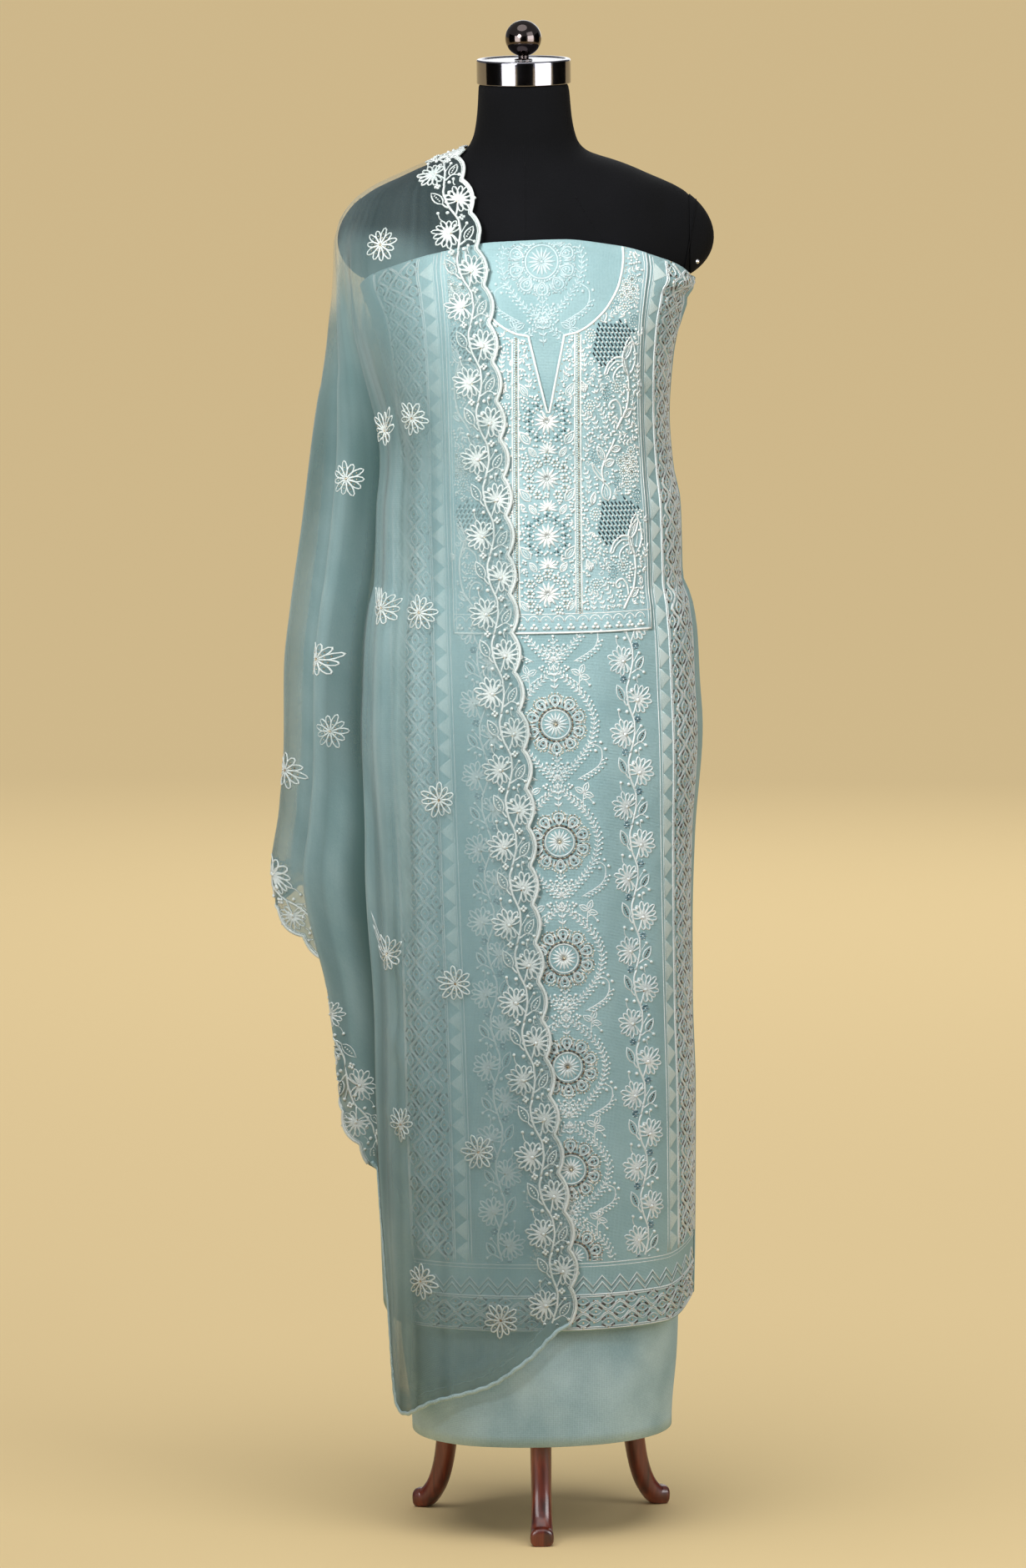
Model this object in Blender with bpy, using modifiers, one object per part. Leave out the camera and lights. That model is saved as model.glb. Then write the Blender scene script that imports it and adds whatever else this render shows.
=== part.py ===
"""Salwar kameez suit, unstitched, shown on a limbless dress form on a tripod stand.

The suit is three lengths of cloth: a plain salwar length wrapped round the hips, an
embroidered kameez length (front panel, back panel and a neck yoke laid on the front), and
a sheer dupatta with scalloped edges that lies over the wearer's right shoulder.

Units are metres, +Z is up, and the wearer faces -Y, so the dupatta hangs on the -X side.
Horizontal sections are superellipses given by their half width and their depths in front
of and behind the form's upright axis. A heading is the angle round that axis in degrees:
0 faces the front (-Y), 90 the dupatta's side (-X) and 180 the back (+Y).
"""

import math
from collections import namedtuple

import bmesh
import bpy
from mathutils import Matrix, Vector

# ---------------------------------------------------------------- driving sizes
SEAM_GAP = 0.0003  # between pieces that are sewn or seated together
ROUNDNESS = 2.25  # superellipse exponent of every body section, 2 is an ellipse

SALWAR_CLOTH = 0.0015
KAMEEZ_CLOTH = 0.0015
YOKE_CLOTH = 0.0012
DUPATTA_CLOTH = 0.0014

# The turned and cast parts of the form.
CAP_RADIUS = 0.0489
CAP_BASE = 1.5178
CAP_HEIGHT = 0.0252
CAP_RIM_WIDTH = 0.0060
CAP_RIM_ROUND = 0.0022  # softening of its outer edge
CAP_DISH = 0.0012  # how far the dish inside the rim lies below it
KNOB_RADIUS = 0.0188
KNOB_CENTRE = 1.5644
KNOB_STEM_RADIUS = 0.0055
KNOB_FLANGE = 0.0094  # radius of the stem's foot
KNOB_FLANGE_HEIGHT = 0.0008
ARM_CENTRE = (0.1086, 0.0, 1.3650)
ARM_RADII = (0.0880, 0.0520, 0.0590)
ARM_TILT = 10.6  # degrees by which the arm stump's middle line drops outwards
ARM_SEAM = 0.1700  # distance of the cap's seam from the form's middle

# The wooden stand.
FORM_BASE = 0.745
POLE_RADIUS = 0.0140
HUB_RADIUS = 0.0310
HUB_BASE = 0.168
HUB_TOP = 0.276
HUB_NECK = 0.0180  # radius of the cove under its top bead
HUB_BUTTON = 0.0120  # radius of its lower tip
HUB_SLOPE = 0.022  # height of the turned stretch above and below its drum
LEG_RADIUS = 0.0110
LEG_STEPS = 16
LEG_TOE = 0.72  # thickness of the foot's blunt end, as a share of the pad's
LEG_HEADINGS = {"leg_front": 0.0, "leg_right": -120.0, "leg_left": 120.0}

# The kameez length.
KAMEEZ_HEM = 0.226
KAMEEZ_TOP = 1.364
PANEL_HALF = 0.185  # half the front panel's width, along the cloth
YOKE_HALF = 0.106
YOKE_HEM = 0.957
SLIT_FOOT = 1.188
YOKE_LIFT = 0.0006  # between the kameez's face and the yoke's underside
TOP_BEND = 1.22  # rows above this height bend towards the upper edge
HEM_BEND = 0.42  # and rows below this one towards the hem
FRONT_COLUMNS = 18
BACK_COLUMNS = 16
YOKE_COLUMNS = 9  # from the opening to each side
SEAM_MARGIN = 0.012  # narrow first and last column, as a share of a panel's width
BACK_PLEAT_DEPTH = 0.0050
BACK_PLEAT_TOP = 1.02
BACK_PLEAT_GROWTH = 0.5  # height over which the pleats reach their depth
BACK_PLEAT_FROM = 100.0  # heading where they begin, on the dupatta's side
BACK_PLEAT_TO = 260.0
BACK_PLEAT_FADE = 40.0
BACK_PLEAT_TURN = 40.0  # degrees from one pleat to the next

# The salwar length.
SALWAR_HEM = 0.102
SALWAR_WAIST = 1.060
SALWAR_LAP = 24.0  # degrees by which the wrap passes over itself at the back
SALWAR_LAP_STEP = 0.0026
SALWAR_ROWS = [0.102, 0.160, 0.250, 0.420, 0.600, 0.760, 0.850, 0.930, 1.000, SALWAR_WAIST]
SALWAR_COLUMNS = 34
HEM_WAVE = 0.0018  # how far the salwar's hem waves in and out
HEM_WAVES = 3
HEM_WAVE_TOP = 0.25  # height where the waves have died away
HEM_WAVE_FADE = 0.15

# The dupatta.
DUPATTA_CLEAR = 0.0046  # its middle surface from the face of the kameez
SHOULDER_CLEAR = 0.0052  # and how far it lies above the shoulder
SCALLOP_PITCH = 0.038
SCALLOP_DEPTH = 0.0050
SCALLOP_POINTS = 3  # points between one cusp and the next
DUPATTA_ROWS = 19
SHOULDER_LEVEL = 0.25  # share of the rows that leave the ridge with growing steps
CLOSE_TOP = 1.33  # below this height the front of the dupatta lies on the kameez
CLOSE_FADE = 0.20
CLOSE_HEADING = 56.0  # and past this heading it stands away again
CLOSE_TURN = 36.0
FOLD_GROWTH = 0.34  # fall over which the folds reach their depth
INNER_REACH = 62.0  # columns in front of this heading follow the inner edge
TURN_AT_ONCE = 6.2  # how quickly the cloth spreads from the arm round the body,
TURN_LATER = 26.0  # close under the ridge and farther down

Section = namedtuple("Section", "height half_width front back")

FORM_SECTIONS = [
    Section(0.745, 0.1540, 0.1090, 0.1090),
    Section(0.800, 0.1600, 0.1140, 0.1140),
    Section(0.850, 0.1620, 0.1150, 0.1150),
    Section(0.900, 0.1590, 0.1130, 0.1120),
    Section(0.950, 0.1510, 0.1090, 0.1050),
    Section(1.000, 0.1410, 0.1040, 0.0960),
    Section(1.040, 0.1340, 0.1000, 0.0890),
    Section(1.080, 0.1300, 0.0990, 0.0850),
    Section(1.120, 0.1300, 0.1040, 0.0860),
    Section(1.160, 0.1330, 0.1130, 0.0910),
    Section(1.200, 0.1370, 0.1220, 0.0970),
    Section(1.240, 0.1420, 0.1250, 0.1020),
    Section(1.280, 0.1500, 0.1200, 0.1050),
    Section(1.320, 0.1590, 0.1080, 0.1040),
    Section(1.360, 0.1610, 0.0950, 0.1000),
    Section(1.390, 0.1600, 0.0850, 0.0930),
    Section(1.4065, 0.1560, 0.0780, 0.0860),
    Section(1.4140, 0.1460, 0.0740, 0.0810),
    Section(1.4210, 0.1300, 0.0700, 0.0760),
    Section(1.4290, 0.1130, 0.0650, 0.0700),
    Section(1.4360, 0.0950, 0.0600, 0.0640),
    Section(1.4410, 0.0780, 0.0560, 0.0590),
    Section(1.4470, 0.0625, 0.0520, 0.0545),
    Section(1.4560, 0.0555, 0.0500, 0.0520),
    Section(1.4700, 0.0515, 0.0485, 0.0495),
    Section(1.4880, 0.0490, 0.0475, 0.0480),
    Section(1.5175, 0.0474, 0.0470, 0.0470),
]

SALWAR_SECTIONS = [
    Section(0.102, 0.1355, 0.1320, 0.1280),
    Section(0.190, 0.1420, 0.1310, 0.1270),
    Section(0.300, 0.1460, 0.1290, 0.1250),
    Section(0.500, 0.1520, 0.1250, 0.1220),
    Section(0.700, 0.1600, 0.1230, 0.1220),
    Section(0.800, 0.1650, 0.1225, 0.1215),
    Section(0.850, 0.1670, 0.1220, 0.1215),
    Section(0.900, 0.1645, 0.1200, 0.1195),
    Section(0.950, 0.1570, 0.1150, 0.1120),
    Section(1.000, 0.1470, 0.1100, 0.1030),
    Section(1.060, 0.1380, 0.1050, 0.0930),
]

KAMEEZ_SECTIONS = [
    Section(0.226, 0.1625, 0.1430, 0.1390),
    Section(0.290, 0.1640, 0.1400, 0.1370),
    Section(0.375, 0.1655, 0.1375, 0.1355),
    Section(0.465, 0.1665, 0.1350, 0.1345),
    Section(0.555, 0.1645, 0.1335, 0.1335),
    Section(0.640, 0.1655, 0.1320, 0.1325),
    Section(0.730, 0.1690, 0.1305, 0.1315),
    Section(0.845, 0.1780, 0.1300, 0.1310),
    Section(0.890, 0.1755, 0.1290, 0.1290),
    Section(0.940, 0.1735, 0.1265, 0.1230),
    Section(0.977, 0.1680, 0.1245, 0.1170),
    Section(1.003, 0.1585, 0.1235, 0.1120),
    Section(1.040, 0.1580, 0.1225, 0.1040),
    Section(1.080, 0.1570, 0.1225, 0.0990),
    Section(1.117, 0.1500, 0.1235, 0.0985),
    Section(1.170, 0.1465, 0.1290, 0.1020),
    Section(1.230, 0.1510, 0.1340, 0.1080),
    Section(1.274, 0.1600, 0.1310, 0.1110),
    Section(1.318, 0.1730, 0.1180, 0.1100),
    Section(1.364, 0.1700, 0.1030, 0.1070),
]

# The dupatta's own outline where it stands away from the body: over the shoulder it is the
# shoulder line, below it the flare of the cloth that falls from the arm.
DUPATTA_SECTIONS = [
    Section(0.130, 0.1700, 0.1500, 0.1950),
    Section(0.380, 0.2250, 0.1450, 0.1950),
    Section(0.560, 0.2450, 0.1420, 0.1950),
    Section(0.690, 0.2740, 0.1400, 0.1950),
    Section(0.750, 0.2650, 0.1400, 0.1950),
    Section(0.820, 0.2570, 0.1390, 0.1940),
    Section(0.906, 0.2540, 0.1370, 0.1900),
    Section(0.968, 0.2460, 0.1340, 0.1820),
    Section(1.064, 0.2310, 0.1310, 0.1720),
    Section(1.187, 0.2170, 0.1380, 0.1580),
    Section(1.257, 0.2080, 0.1390, 0.1460),
    Section(1.318, 0.2050, 0.1260, 0.1310),
    Section(1.3526, 0.2035, 0.1140, 0.1180),
    Section(1.3670, 0.1995, 0.1080, 0.1120),
    Section(1.3840, 0.1900, 0.1000, 0.1050),
    Section(1.4000, 0.1785, 0.0920, 0.0985),
    Section(1.4110, 0.1630, 0.0860, 0.0920),
    Section(1.4185, 0.1480, 0.0810, 0.0860),
    Section(1.4260, 0.1310, 0.0760, 0.0800),
    Section(1.4335, 0.1140, 0.0705, 0.0740),
    Section(1.4405, 0.0960, 0.0650, 0.0685),
    Section(1.4460, 0.0800, 0.0610, 0.0635),
    Section(1.4520, 0.0680, 0.0570, 0.0590),
]

# Sideways place of the front panel's middle line, along the cloth from the form's front.
PanelLine = namedtuple("PanelLine", "height shift")
PANEL_LINE = [PanelLine(0.226, -0.040), PanelLine(0.800, -0.029), PanelLine(1.364, -0.019)]

# How far the kameez's upper edge drops below KAMEEZ_TOP, round the body.
EdgeDrop = namedtuple("EdgeDrop", "heading drop")
TOP_DROP = [
    EdgeDrop(-180.0, 0.040),
    EdgeDrop(-110.0, 0.056),
    EdgeDrop(-88.0, 0.050),
    EdgeDrop(-66.0, 0.026),
    EdgeDrop(-46.0, 0.008),
    EdgeDrop(-20.0, 0.000),
    EdgeDrop(18.0, 0.002),
    EdgeDrop(46.0, 0.014),
    EdgeDrop(66.0, 0.032),
    EdgeDrop(88.0, 0.054),
    EdgeDrop(110.0, 0.058),
    EdgeDrop(180.0, 0.040),
]
HEM_RISE = [
    EdgeDrop(-180.0, 0.004),
    EdgeDrop(-110.0, 0.012),
    EdgeDrop(-84.0, 0.018),
    EdgeDrop(-55.0, 0.000),
    EdgeDrop(60.0, 0.000),
    EdgeDrop(90.0, 0.012),
    EdgeDrop(180.0, 0.004),
]

# Half the width of the neck opening in the yoke at each nominal height.
NeckPoint = namedtuple("NeckPoint", "height half_width")
NECK_OPENING = [
    NeckPoint(SLIT_FOOT, 0.0),
    NeckPoint(1.2670, 0.0170),
    NeckPoint(1.2700, 0.0300),
    NeckPoint(1.2810, 0.0480),
    NeckPoint(1.2990, 0.0640),
    NeckPoint(1.3250, 0.0750),
    NeckPoint(KAMEEZ_TOP, 0.0790),
]

# Crest and valley lines of the dupatta where it hangs, and how far each stands off.
FoldLine = namedtuple("FoldLine", "heading offset columns")
DUPATTA_FOLDS = [
    FoldLine(12.0, 0.0000, 4),
    FoldLine(27.0, 0.0040, 3),
    FoldLine(39.0, -0.0006, 3),
    FoldLine(51.0, 0.0060, 3),
    FoldLine(61.0, 0.0004, 3),
    FoldLine(69.0, 0.0110, 4),
    FoldLine(76.0, -0.0400, 4),
    FoldLine(83.5, -0.0040, 4),
    FoldLine(90.0, -0.0500, 4),
    FoldLine(97.0, 0.0040, 4),
    FoldLine(103.5, -0.0560, 2),
    FoldLine(109.0, 0.0020, 2),
    FoldLine(114.5, -0.0540, 2),
    FoldLine(120.5, 0.0060, 2),
    FoldLine(126.0, -0.0600, 2),
    FoldLine(131.5, 0.0000, 2),
    FoldLine(137.5, -0.0560, 2),
    FoldLine(143.0, 0.0060, 2),
    FoldLine(149.0, -0.0580, 2),
    FoldLine(154.5, 0.0000, 2),
    FoldLine(160.5, -0.0560, 2),
    FoldLine(166.0, 0.0040, 2),
    FoldLine(171.5, -0.0540, 2),
    FoldLine(177.5, 0.0040, 2),
    FoldLine(183.5, -0.0480, 2),
    FoldLine(189.5, 0.0000, 3),
    FoldLine(196.0, -0.0300, 3),
    FoldLine(203.0, -0.0100, 0),
]
SHOULDER_COLUMN = 36  # the column that leaves the ridge at the arm; as many lie either side

# Height of the dupatta's lower edge round the body.
EdgeHeight = namedtuple("EdgeHeight", "heading height")
DUPATTA_EDGE = [
    EdgeHeight(12.0, 0.2330),
    EdgeHeight(24.0, 0.1960),
    EdgeHeight(34.0, 0.1690),
    EdgeHeight(48.0, 0.1500),
    EdgeHeight(60.0, 0.1300),
    EdgeHeight(65.0, 0.1400),
    EdgeHeight(70.0, 0.2300),
    EdgeHeight(77.0, 0.3500),
    EdgeHeight(84.0, 0.4500),
    EdgeHeight(90.0, 0.5600),
    EdgeHeight(98.0, 0.6600),
    EdgeHeight(105.0, 0.6880),
    EdgeHeight(116.0, 0.6700),
    EdgeHeight(128.0, 0.5800),
    EdgeHeight(140.0, 0.4400),
    EdgeHeight(154.0, 0.2600),
    EdgeHeight(166.0, 0.2300),
    EdgeHeight(203.0, 0.2600),
]

# Sideways place of the dupatta's inner edge in front of the form.
EdgePlace = namedtuple("EdgePlace", "height place")
INNER_EDGE = [
    EdgePlace(0.230, 0.0340),
    EdgePlace(0.285, 0.0370),
    EdgePlace(0.400, 0.0245),
    EdgePlace(0.520, 0.0125),
    EdgePlace(0.660, 0.0020),
    EdgePlace(0.840, -0.0060),
    EdgePlace(0.920, -0.0140),
    EdgePlace(1.110, -0.0225),
    EdgePlace(1.250, -0.0295),
]

# Height at which each part of the cloth leaves the shoulder ridge, neck to arm.
RidgePoint = namedtuple("RidgePoint", "share height")
RIDGE = [
    RidgePoint(0.00, 1.4530),
    RidgePoint(0.14, 1.4465),
    RidgePoint(0.28, 1.4390),
    RidgePoint(0.44, 1.4300),
    RidgePoint(0.60, 1.4205),
    RidgePoint(0.72, 1.4125),
    RidgePoint(0.84, 1.3995),
    RidgePoint(1.00, 1.3770),
]

# Centre line of one cabriole leg: distance from the axis, height and thickness.
LegPoint = namedtuple("LegPoint", "reach height swell")
LEG_LINE = [
    LegPoint(0.0318, 0.2260, 1.15),
    LegPoint(0.0600, 0.2250, 1.20),
    LegPoint(0.0860, 0.2060, 1.25),
    LegPoint(0.1020, 0.1680, 1.15),
    LegPoint(0.1100, 0.1200, 1.05),
    LegPoint(0.1140, 0.0800, 1.00),
    LegPoint(0.1195, 0.0480, 0.95),
    LegPoint(0.1290, 0.0230, 1.00),
    LegPoint(0.1420, 0.0090, 1.15),
    LegPoint(0.1535, 0.0080, 1.20),
]


# ---------------------------------------------------------------- shared geometry
def clamped(value, low, high):
    return max(low, min(high, value))


def eased(share):
    """0 to 1 with a level start and end."""
    share = clamped(share, 0.0, 1.0)
    return share * share * (3 - 2 * share)


def read_table(rows, at):
    """The row's other columns at a value of its first column, on a smooth monotone curve."""
    at = clamped(at, rows[0][0], rows[-1][0])
    index = 0
    while index < len(rows) - 2 and rows[index + 1][0] < at:
        index += 1
    low, high = rows[index], rows[index + 1]
    span = high[0] - low[0]
    share = (at - low[0]) / span
    found = []
    for column in range(1, len(low)):
        slopes = []
        for here in (index, index + 1):
            before = rows[max(here - 1, 0)]
            middle = rows[here]
            after = rows[min(here + 1, len(rows) - 1)]
            left = (middle[column] - before[column]) / ((middle[0] - before[0]) or 1.0)
            right = (after[column] - middle[column]) / ((after[0] - middle[0]) or 1.0)
            slopes.append(0.0 if left * right <= 0 else 2 * left * right / (left + right))
        cubed, squared = share**3, share**2
        found.append(
            low[column] * (2 * cubed - 3 * squared + 1)
            + slopes[0] * span * (cubed - 2 * squared + share)
            + high[column] * (3 * squared - 2 * cubed)
            + slopes[1] * span * (cubed - squared)
        )
    return found


def section_radius(sections, heading, height):
    """Distance from the axis to a body section, at a heading in degrees."""
    half_width, front, back = read_table(sections, height)
    across = abs(math.sin(math.radians(heading))) / half_width
    along = math.cos(math.radians(heading))
    along = abs(along) / (front if along > 0 else back)
    return (across**ROUNDNESS + along**ROUNDNESS) ** (-1 / ROUNDNESS)


def at_heading(heading, radius, height):
    angle = math.radians(heading)
    return Vector((-math.sin(angle) * radius, -math.cos(angle) * radius, height))


def heading_along(sections, height, distance):
    """The heading reached by going that far along a section from the front, + to the dupatta's side."""
    step = 1.5 if distance > 0 else -1.5
    heading, gone = 0.0, 0.0
    here = at_heading(0.0, section_radius(sections, 0.0, height), height)
    while True:
        there = at_heading(heading + step, section_radius(sections, heading + step, height), height)
        length = (there - here).length
        if gone + length >= abs(distance):
            return heading + step * (abs(distance) - gone) / length
        heading, gone, here = heading + step, gone + length, there


def kameez_height(nominal, heading):
    """The nominal height bent so that rows follow the upper edge and the hem."""
    heading = (heading + 180.0) % 360.0 - 180.0
    drop = read_table(TOP_DROP, heading)[0]
    rise = read_table(HEM_RISE, heading)[0]
    near_top = eased((nominal - TOP_BEND) / (KAMEEZ_TOP - TOP_BEND))
    near_hem = eased((HEM_BEND - nominal) / (HEM_BEND - KAMEEZ_HEM))
    return nominal - drop * near_top + rise * near_hem


def kameez_point(distance, nominal, out=0.0):
    """A point of the kameez at a distance along the cloth from the panel's middle line."""
    shift = read_table(PANEL_LINE, nominal)[0]
    heading = heading_along(KAMEEZ_SECTIONS, nominal, shift + distance)
    return kameez_at(heading, nominal, out)


def kameez_at(heading, nominal, out=0.0):
    height = kameez_height(nominal, heading)
    radius = section_radius(KAMEEZ_SECTIONS, heading, height)
    return at_heading(heading, radius + out, height)


# ---------------------------------------------------------------- object helpers
def new_collection(name):
    made = bpy.data.collections.new(name)
    bpy.context.scene.collection.children.link(made)
    return made


def finish_of(name, colour, roughness, metallic=0.0):
    """A plain Principled material."""
    made = bpy.data.materials.new(name)
    made.use_nodes = True
    shader = made.node_tree.nodes["Principled BSDF"]
    shader.inputs["Base Color"].default_value = (*colour, 1.0)
    shader.inputs["Roughness"].default_value = roughness
    shader.inputs["Metallic"].default_value = metallic
    return made


def object_of(mesh, name, material, collection):
    made = bpy.data.objects.new(name, mesh)
    collection.objects.link(made)
    made.data.materials.append(material)
    return made


def mesh_of(bm, name):
    """Turns a bmesh into smooth-shaded mesh data with its faces pointing out."""
    bmesh.ops.recalc_face_normals(bm, faces=bm.faces)
    mesh = bpy.data.meshes.new(name)
    bm.to_mesh(mesh)
    bm.free()
    mesh.shade_smooth()
    return mesh


def ring_grid(rows, closed):
    """Faces between rows of points. closed joins each row's end to its start."""
    bm = bmesh.new()
    grid = [[bm.verts.new(point) for point in row] for row in rows]
    count = len(rows[0])
    for lower, upper in zip(grid, grid[1:]):
        for index in range(count if closed else count - 1):
            after = (index + 1) % count
            bm.faces.new((lower[index], lower[after], upper[after], upper[index]))
    return bm, grid


def face_out(mesh):
    """Turns an open wall so that most of its faces look away from the form's axis."""
    outward = sum(
        face.normal.dot(Vector((face.center.x, face.center.y, 0.0))) * face.area
        for face in mesh.polygons
    )
    if outward < 0:
        mesh.flip_normals()


def thicken(obj, thickness, offset):
    """offset -1 grows the wall inwards from its points, 1 outwards, 0 both ways."""
    wall = obj.modifiers.new("Wall", "SOLIDIFY")
    wall.thickness = thickness
    wall.offset = offset
    return obj


def turned(name, profile, steps, material, collection):
    """A solid of revolution: a Screw modifier on a profile of (radius, height) pairs."""
    mesh = bpy.data.meshes.new(name)
    points = [(radius, 0.0, height) for radius, height in profile]
    mesh.from_pydata(points, [(i, i + 1) for i in range(len(points) - 1)], [])
    made = object_of(mesh, name, material, collection)
    screw = made.modifiers.new("Turn", "SCREW")
    screw.steps = screw.render_steps = steps
    screw.use_merge_vertices = True
    screw.merge_threshold = 0.00005
    screw.use_smooth_shade = True
    return made


# ---------------------------------------------------------------- the dress form
def torso_mesh():
    """The neck and torso as a loft of the form's sections."""
    count, rows = 30, []
    for section in FORM_SECTIONS:
        around = [360.0 * step / count for step in range(count)]
        radii = [section_radius(FORM_SECTIONS, a, section.height) for a in around]
        rows.append([at_heading(a, radius, section.height) for a, radius in zip(around, radii)])
    bm, grid = ring_grid(rows, closed=True)
    bm.faces.new(list(reversed(grid[0])))
    bm.faces.new(grid[-1])
    return mesh_of(bm, "dress_form")


def arm_mesh(name, side, outer):
    """An egg-shaped arm stump cut at the seam of its cap: the outer part or the inner one."""
    bm = bmesh.new()
    bmesh.ops.create_uvsphere(bm, u_segments=20, v_segments=14, radius=1.0)
    upright = Matrix.Rotation(math.radians(90.0), 3, "Y")
    tilt = Matrix.Rotation(math.radians(side * ARM_TILT), 3, "Y")
    bmesh.ops.rotate(bm, matrix=upright, verts=bm.verts)
    bmesh.ops.scale(bm, vec=Vector(ARM_RADII), verts=bm.verts)
    bmesh.ops.rotate(bm, matrix=tilt, verts=bm.verts)
    centre = Vector((side * ARM_CENTRE[0], ARM_CENTRE[1], ARM_CENTRE[2]))
    bmesh.ops.translate(bm, vec=centre, verts=bm.verts)
    seam = ARM_SEAM + (SEAM_GAP / 2 if outer else -SEAM_GAP / 2)
    cut = bmesh.ops.bisect_plane(
        bm,
        geom=bm.verts[:] + bm.edges[:] + bm.faces[:],
        plane_co=(side * seam, 0.0, 0.0),
        plane_no=(side, 0.0, 0.0),
        clear_inner=outer,
        clear_outer=not outer,
    )
    rim = [piece for piece in cut["geom_cut"] if isinstance(piece, bmesh.types.BMEdge)]
    bmesh.ops.contextual_create(bm, geom=rim)
    return mesh_of(bm, name)


def build_form(material, collection, helpers):
    """The torso with both arm stumps joined on, and the caps that close the stumps."""
    form = object_of(torso_mesh(), "dress_form", material, collection)
    for name, side in (("right", -1.0), ("left", 1.0)):
        stump = object_of(arm_mesh(f"stump_{name}", side, False), f"stump_{name}", material, helpers)
        stump.hide_render = True
        stump.display_type = "WIRE"
        join = form.modifiers.new(f"Stump {name}", "BOOLEAN")
        join.operation = "UNION"
        join.object = stump
        cap_name = f"arm_cap_{name}"
        object_of(arm_mesh(cap_name, side, True), cap_name, material, collection)


def build_neck_cap(material, collection):
    """The flat chrome cap: a disc with a softened rim."""
    edge, top, dish = CAP_RIM_ROUND, CAP_BASE + CAP_HEIGHT, CAP_BASE + CAP_HEIGHT - CAP_DISH
    foot = edge / 2
    profile = [(0.0, dish), (CAP_RADIUS - CAP_RIM_WIDTH, dish)]
    profile += [(CAP_RADIUS - CAP_RIM_WIDTH + CAP_DISH, top), (CAP_RADIUS - edge, top)]
    profile += [(CAP_RADIUS - edge * 0.3, top - edge * 0.3), (CAP_RADIUS, top - edge)]
    profile += [(CAP_RADIUS, CAP_BASE + foot), (CAP_RADIUS - foot, CAP_BASE), (0.0, CAP_BASE)]
    turned("neck_cap", profile, 32, material, collection)


def build_knob(material, collection):
    """The ball finial on its short stem, seated in the cap's shallow dish."""
    seat = CAP_BASE + CAP_HEIGHT - CAP_DISH + SEAM_GAP
    low = -math.asin(math.sqrt(1 - (KNOB_STEM_RADIUS / KNOB_RADIUS) ** 2))
    ball, steps = [], 9
    for step in range(steps + 1):
        angle = math.pi / 2 + (low - math.pi / 2) * step / steps
        ball.append((KNOB_RADIUS * math.cos(angle), KNOB_CENTRE + KNOB_RADIUS * math.sin(angle)))
    ball[0] = (0.0, KNOB_CENTRE + KNOB_RADIUS)
    foot = [(KNOB_STEM_RADIUS, seat + 2 * KNOB_FLANGE_HEIGHT)]
    foot += [(KNOB_FLANGE, seat + KNOB_FLANGE_HEIGHT), (KNOB_FLANGE, seat), (0.0, seat)]
    turned("neck_knob", ball + foot, 18, material, collection)


# ---------------------------------------------------------------- the stand
def build_pole(material, collection):
    low, high = HUB_TOP + SEAM_GAP, FORM_BASE - SEAM_GAP
    profile = [(0.0, high), (POLE_RADIUS, high), (POLE_RADIUS, low), (0.0, low)]
    turned("stand_pole", profile, 20, material, collection)


def build_hub(material, collection):
    """The turned block that the legs are jointed into."""
    bead, cove = HUB_TOP - HUB_SLOPE * 0.27, HUB_TOP - HUB_SLOPE * 0.55
    profile = [(0.0, HUB_TOP), (HUB_NECK * 0.95, HUB_TOP), (HUB_NECK * 1.1, bead)]
    profile += [(HUB_NECK, cove), (HUB_RADIUS, HUB_TOP - HUB_SLOPE)]
    profile += [(HUB_RADIUS, HUB_BASE + HUB_SLOPE), (HUB_NECK * 1.2, HUB_BASE + HUB_SLOPE / 2)]
    profile += [(HUB_BUTTON, HUB_BASE), (0.0, HUB_BASE)]
    turned("stand_hub", profile, 24, material, collection)


def leg_curve(name):
    """The leg's centre line, smooth and round in section, in the plane X = 0 facing -Y."""
    curve = bpy.data.curves.new(name, "CURVE")
    curve.dimensions = "3D"
    curve.bevel_depth = LEG_RADIUS
    curve.bevel_resolution = 2
    curve.use_fill_caps = True
    line = curve.splines.new("POLY")
    by_share = [
        (index / (len(LEG_LINE) - 1), point.reach, point.height, point.swell)
        for index, point in enumerate(LEG_LINE)
    ]
    line.points.add(LEG_STEPS)
    for index in range(LEG_STEPS + 1):
        reach, height, swell = read_table(by_share, index / LEG_STEPS)
        line.points[index].co = (0.0, -reach, height, 1.0)
        line.points[index].radius = swell
    line.points[LEG_STEPS].radius = LEG_TOE * LEG_LINE[-1].swell
    return curve


def build_legs(material, collection, helpers):
    """Three cabriole legs with their feet planed flat where they stand on the floor."""
    bm = bmesh.new()
    bmesh.ops.create_cube(bm, size=1.0)
    floor = object_of(mesh_of(bm, "floor_cutter"), "floor_cutter", material, helpers)
    floor.location = (0.0, 0.0, -0.5)
    floor.hide_render = True
    floor.display_type = "WIRE"
    curve = leg_curve("leg_line")
    guide = bpy.data.objects.new("leg_guide", curve)
    helpers.objects.link(guide)
    bpy.context.view_layer.update()
    graph = bpy.context.evaluated_depsgraph_get()
    mesh = bpy.data.meshes.new_from_object(guide.evaluated_get(graph))
    bm = bmesh.new()
    bm.from_mesh(mesh)
    bmesh.ops.remove_doubles(bm, verts=bm.verts, dist=0.00002)
    bm.to_mesh(mesh)
    bm.free()
    mesh.shade_smooth()
    bpy.data.objects.remove(guide)
    for name, heading in LEG_HEADINGS.items():
        made = object_of(mesh.copy(), name, material, collection)
        made.data.materials.clear()
        made.data.materials.append(material)
        made.rotation_euler = (0.0, 0.0, math.radians(-heading))
        cut = made.modifiers.new("Sole", "BOOLEAN")
        cut.operation = "DIFFERENCE"
        cut.object = floor


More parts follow.
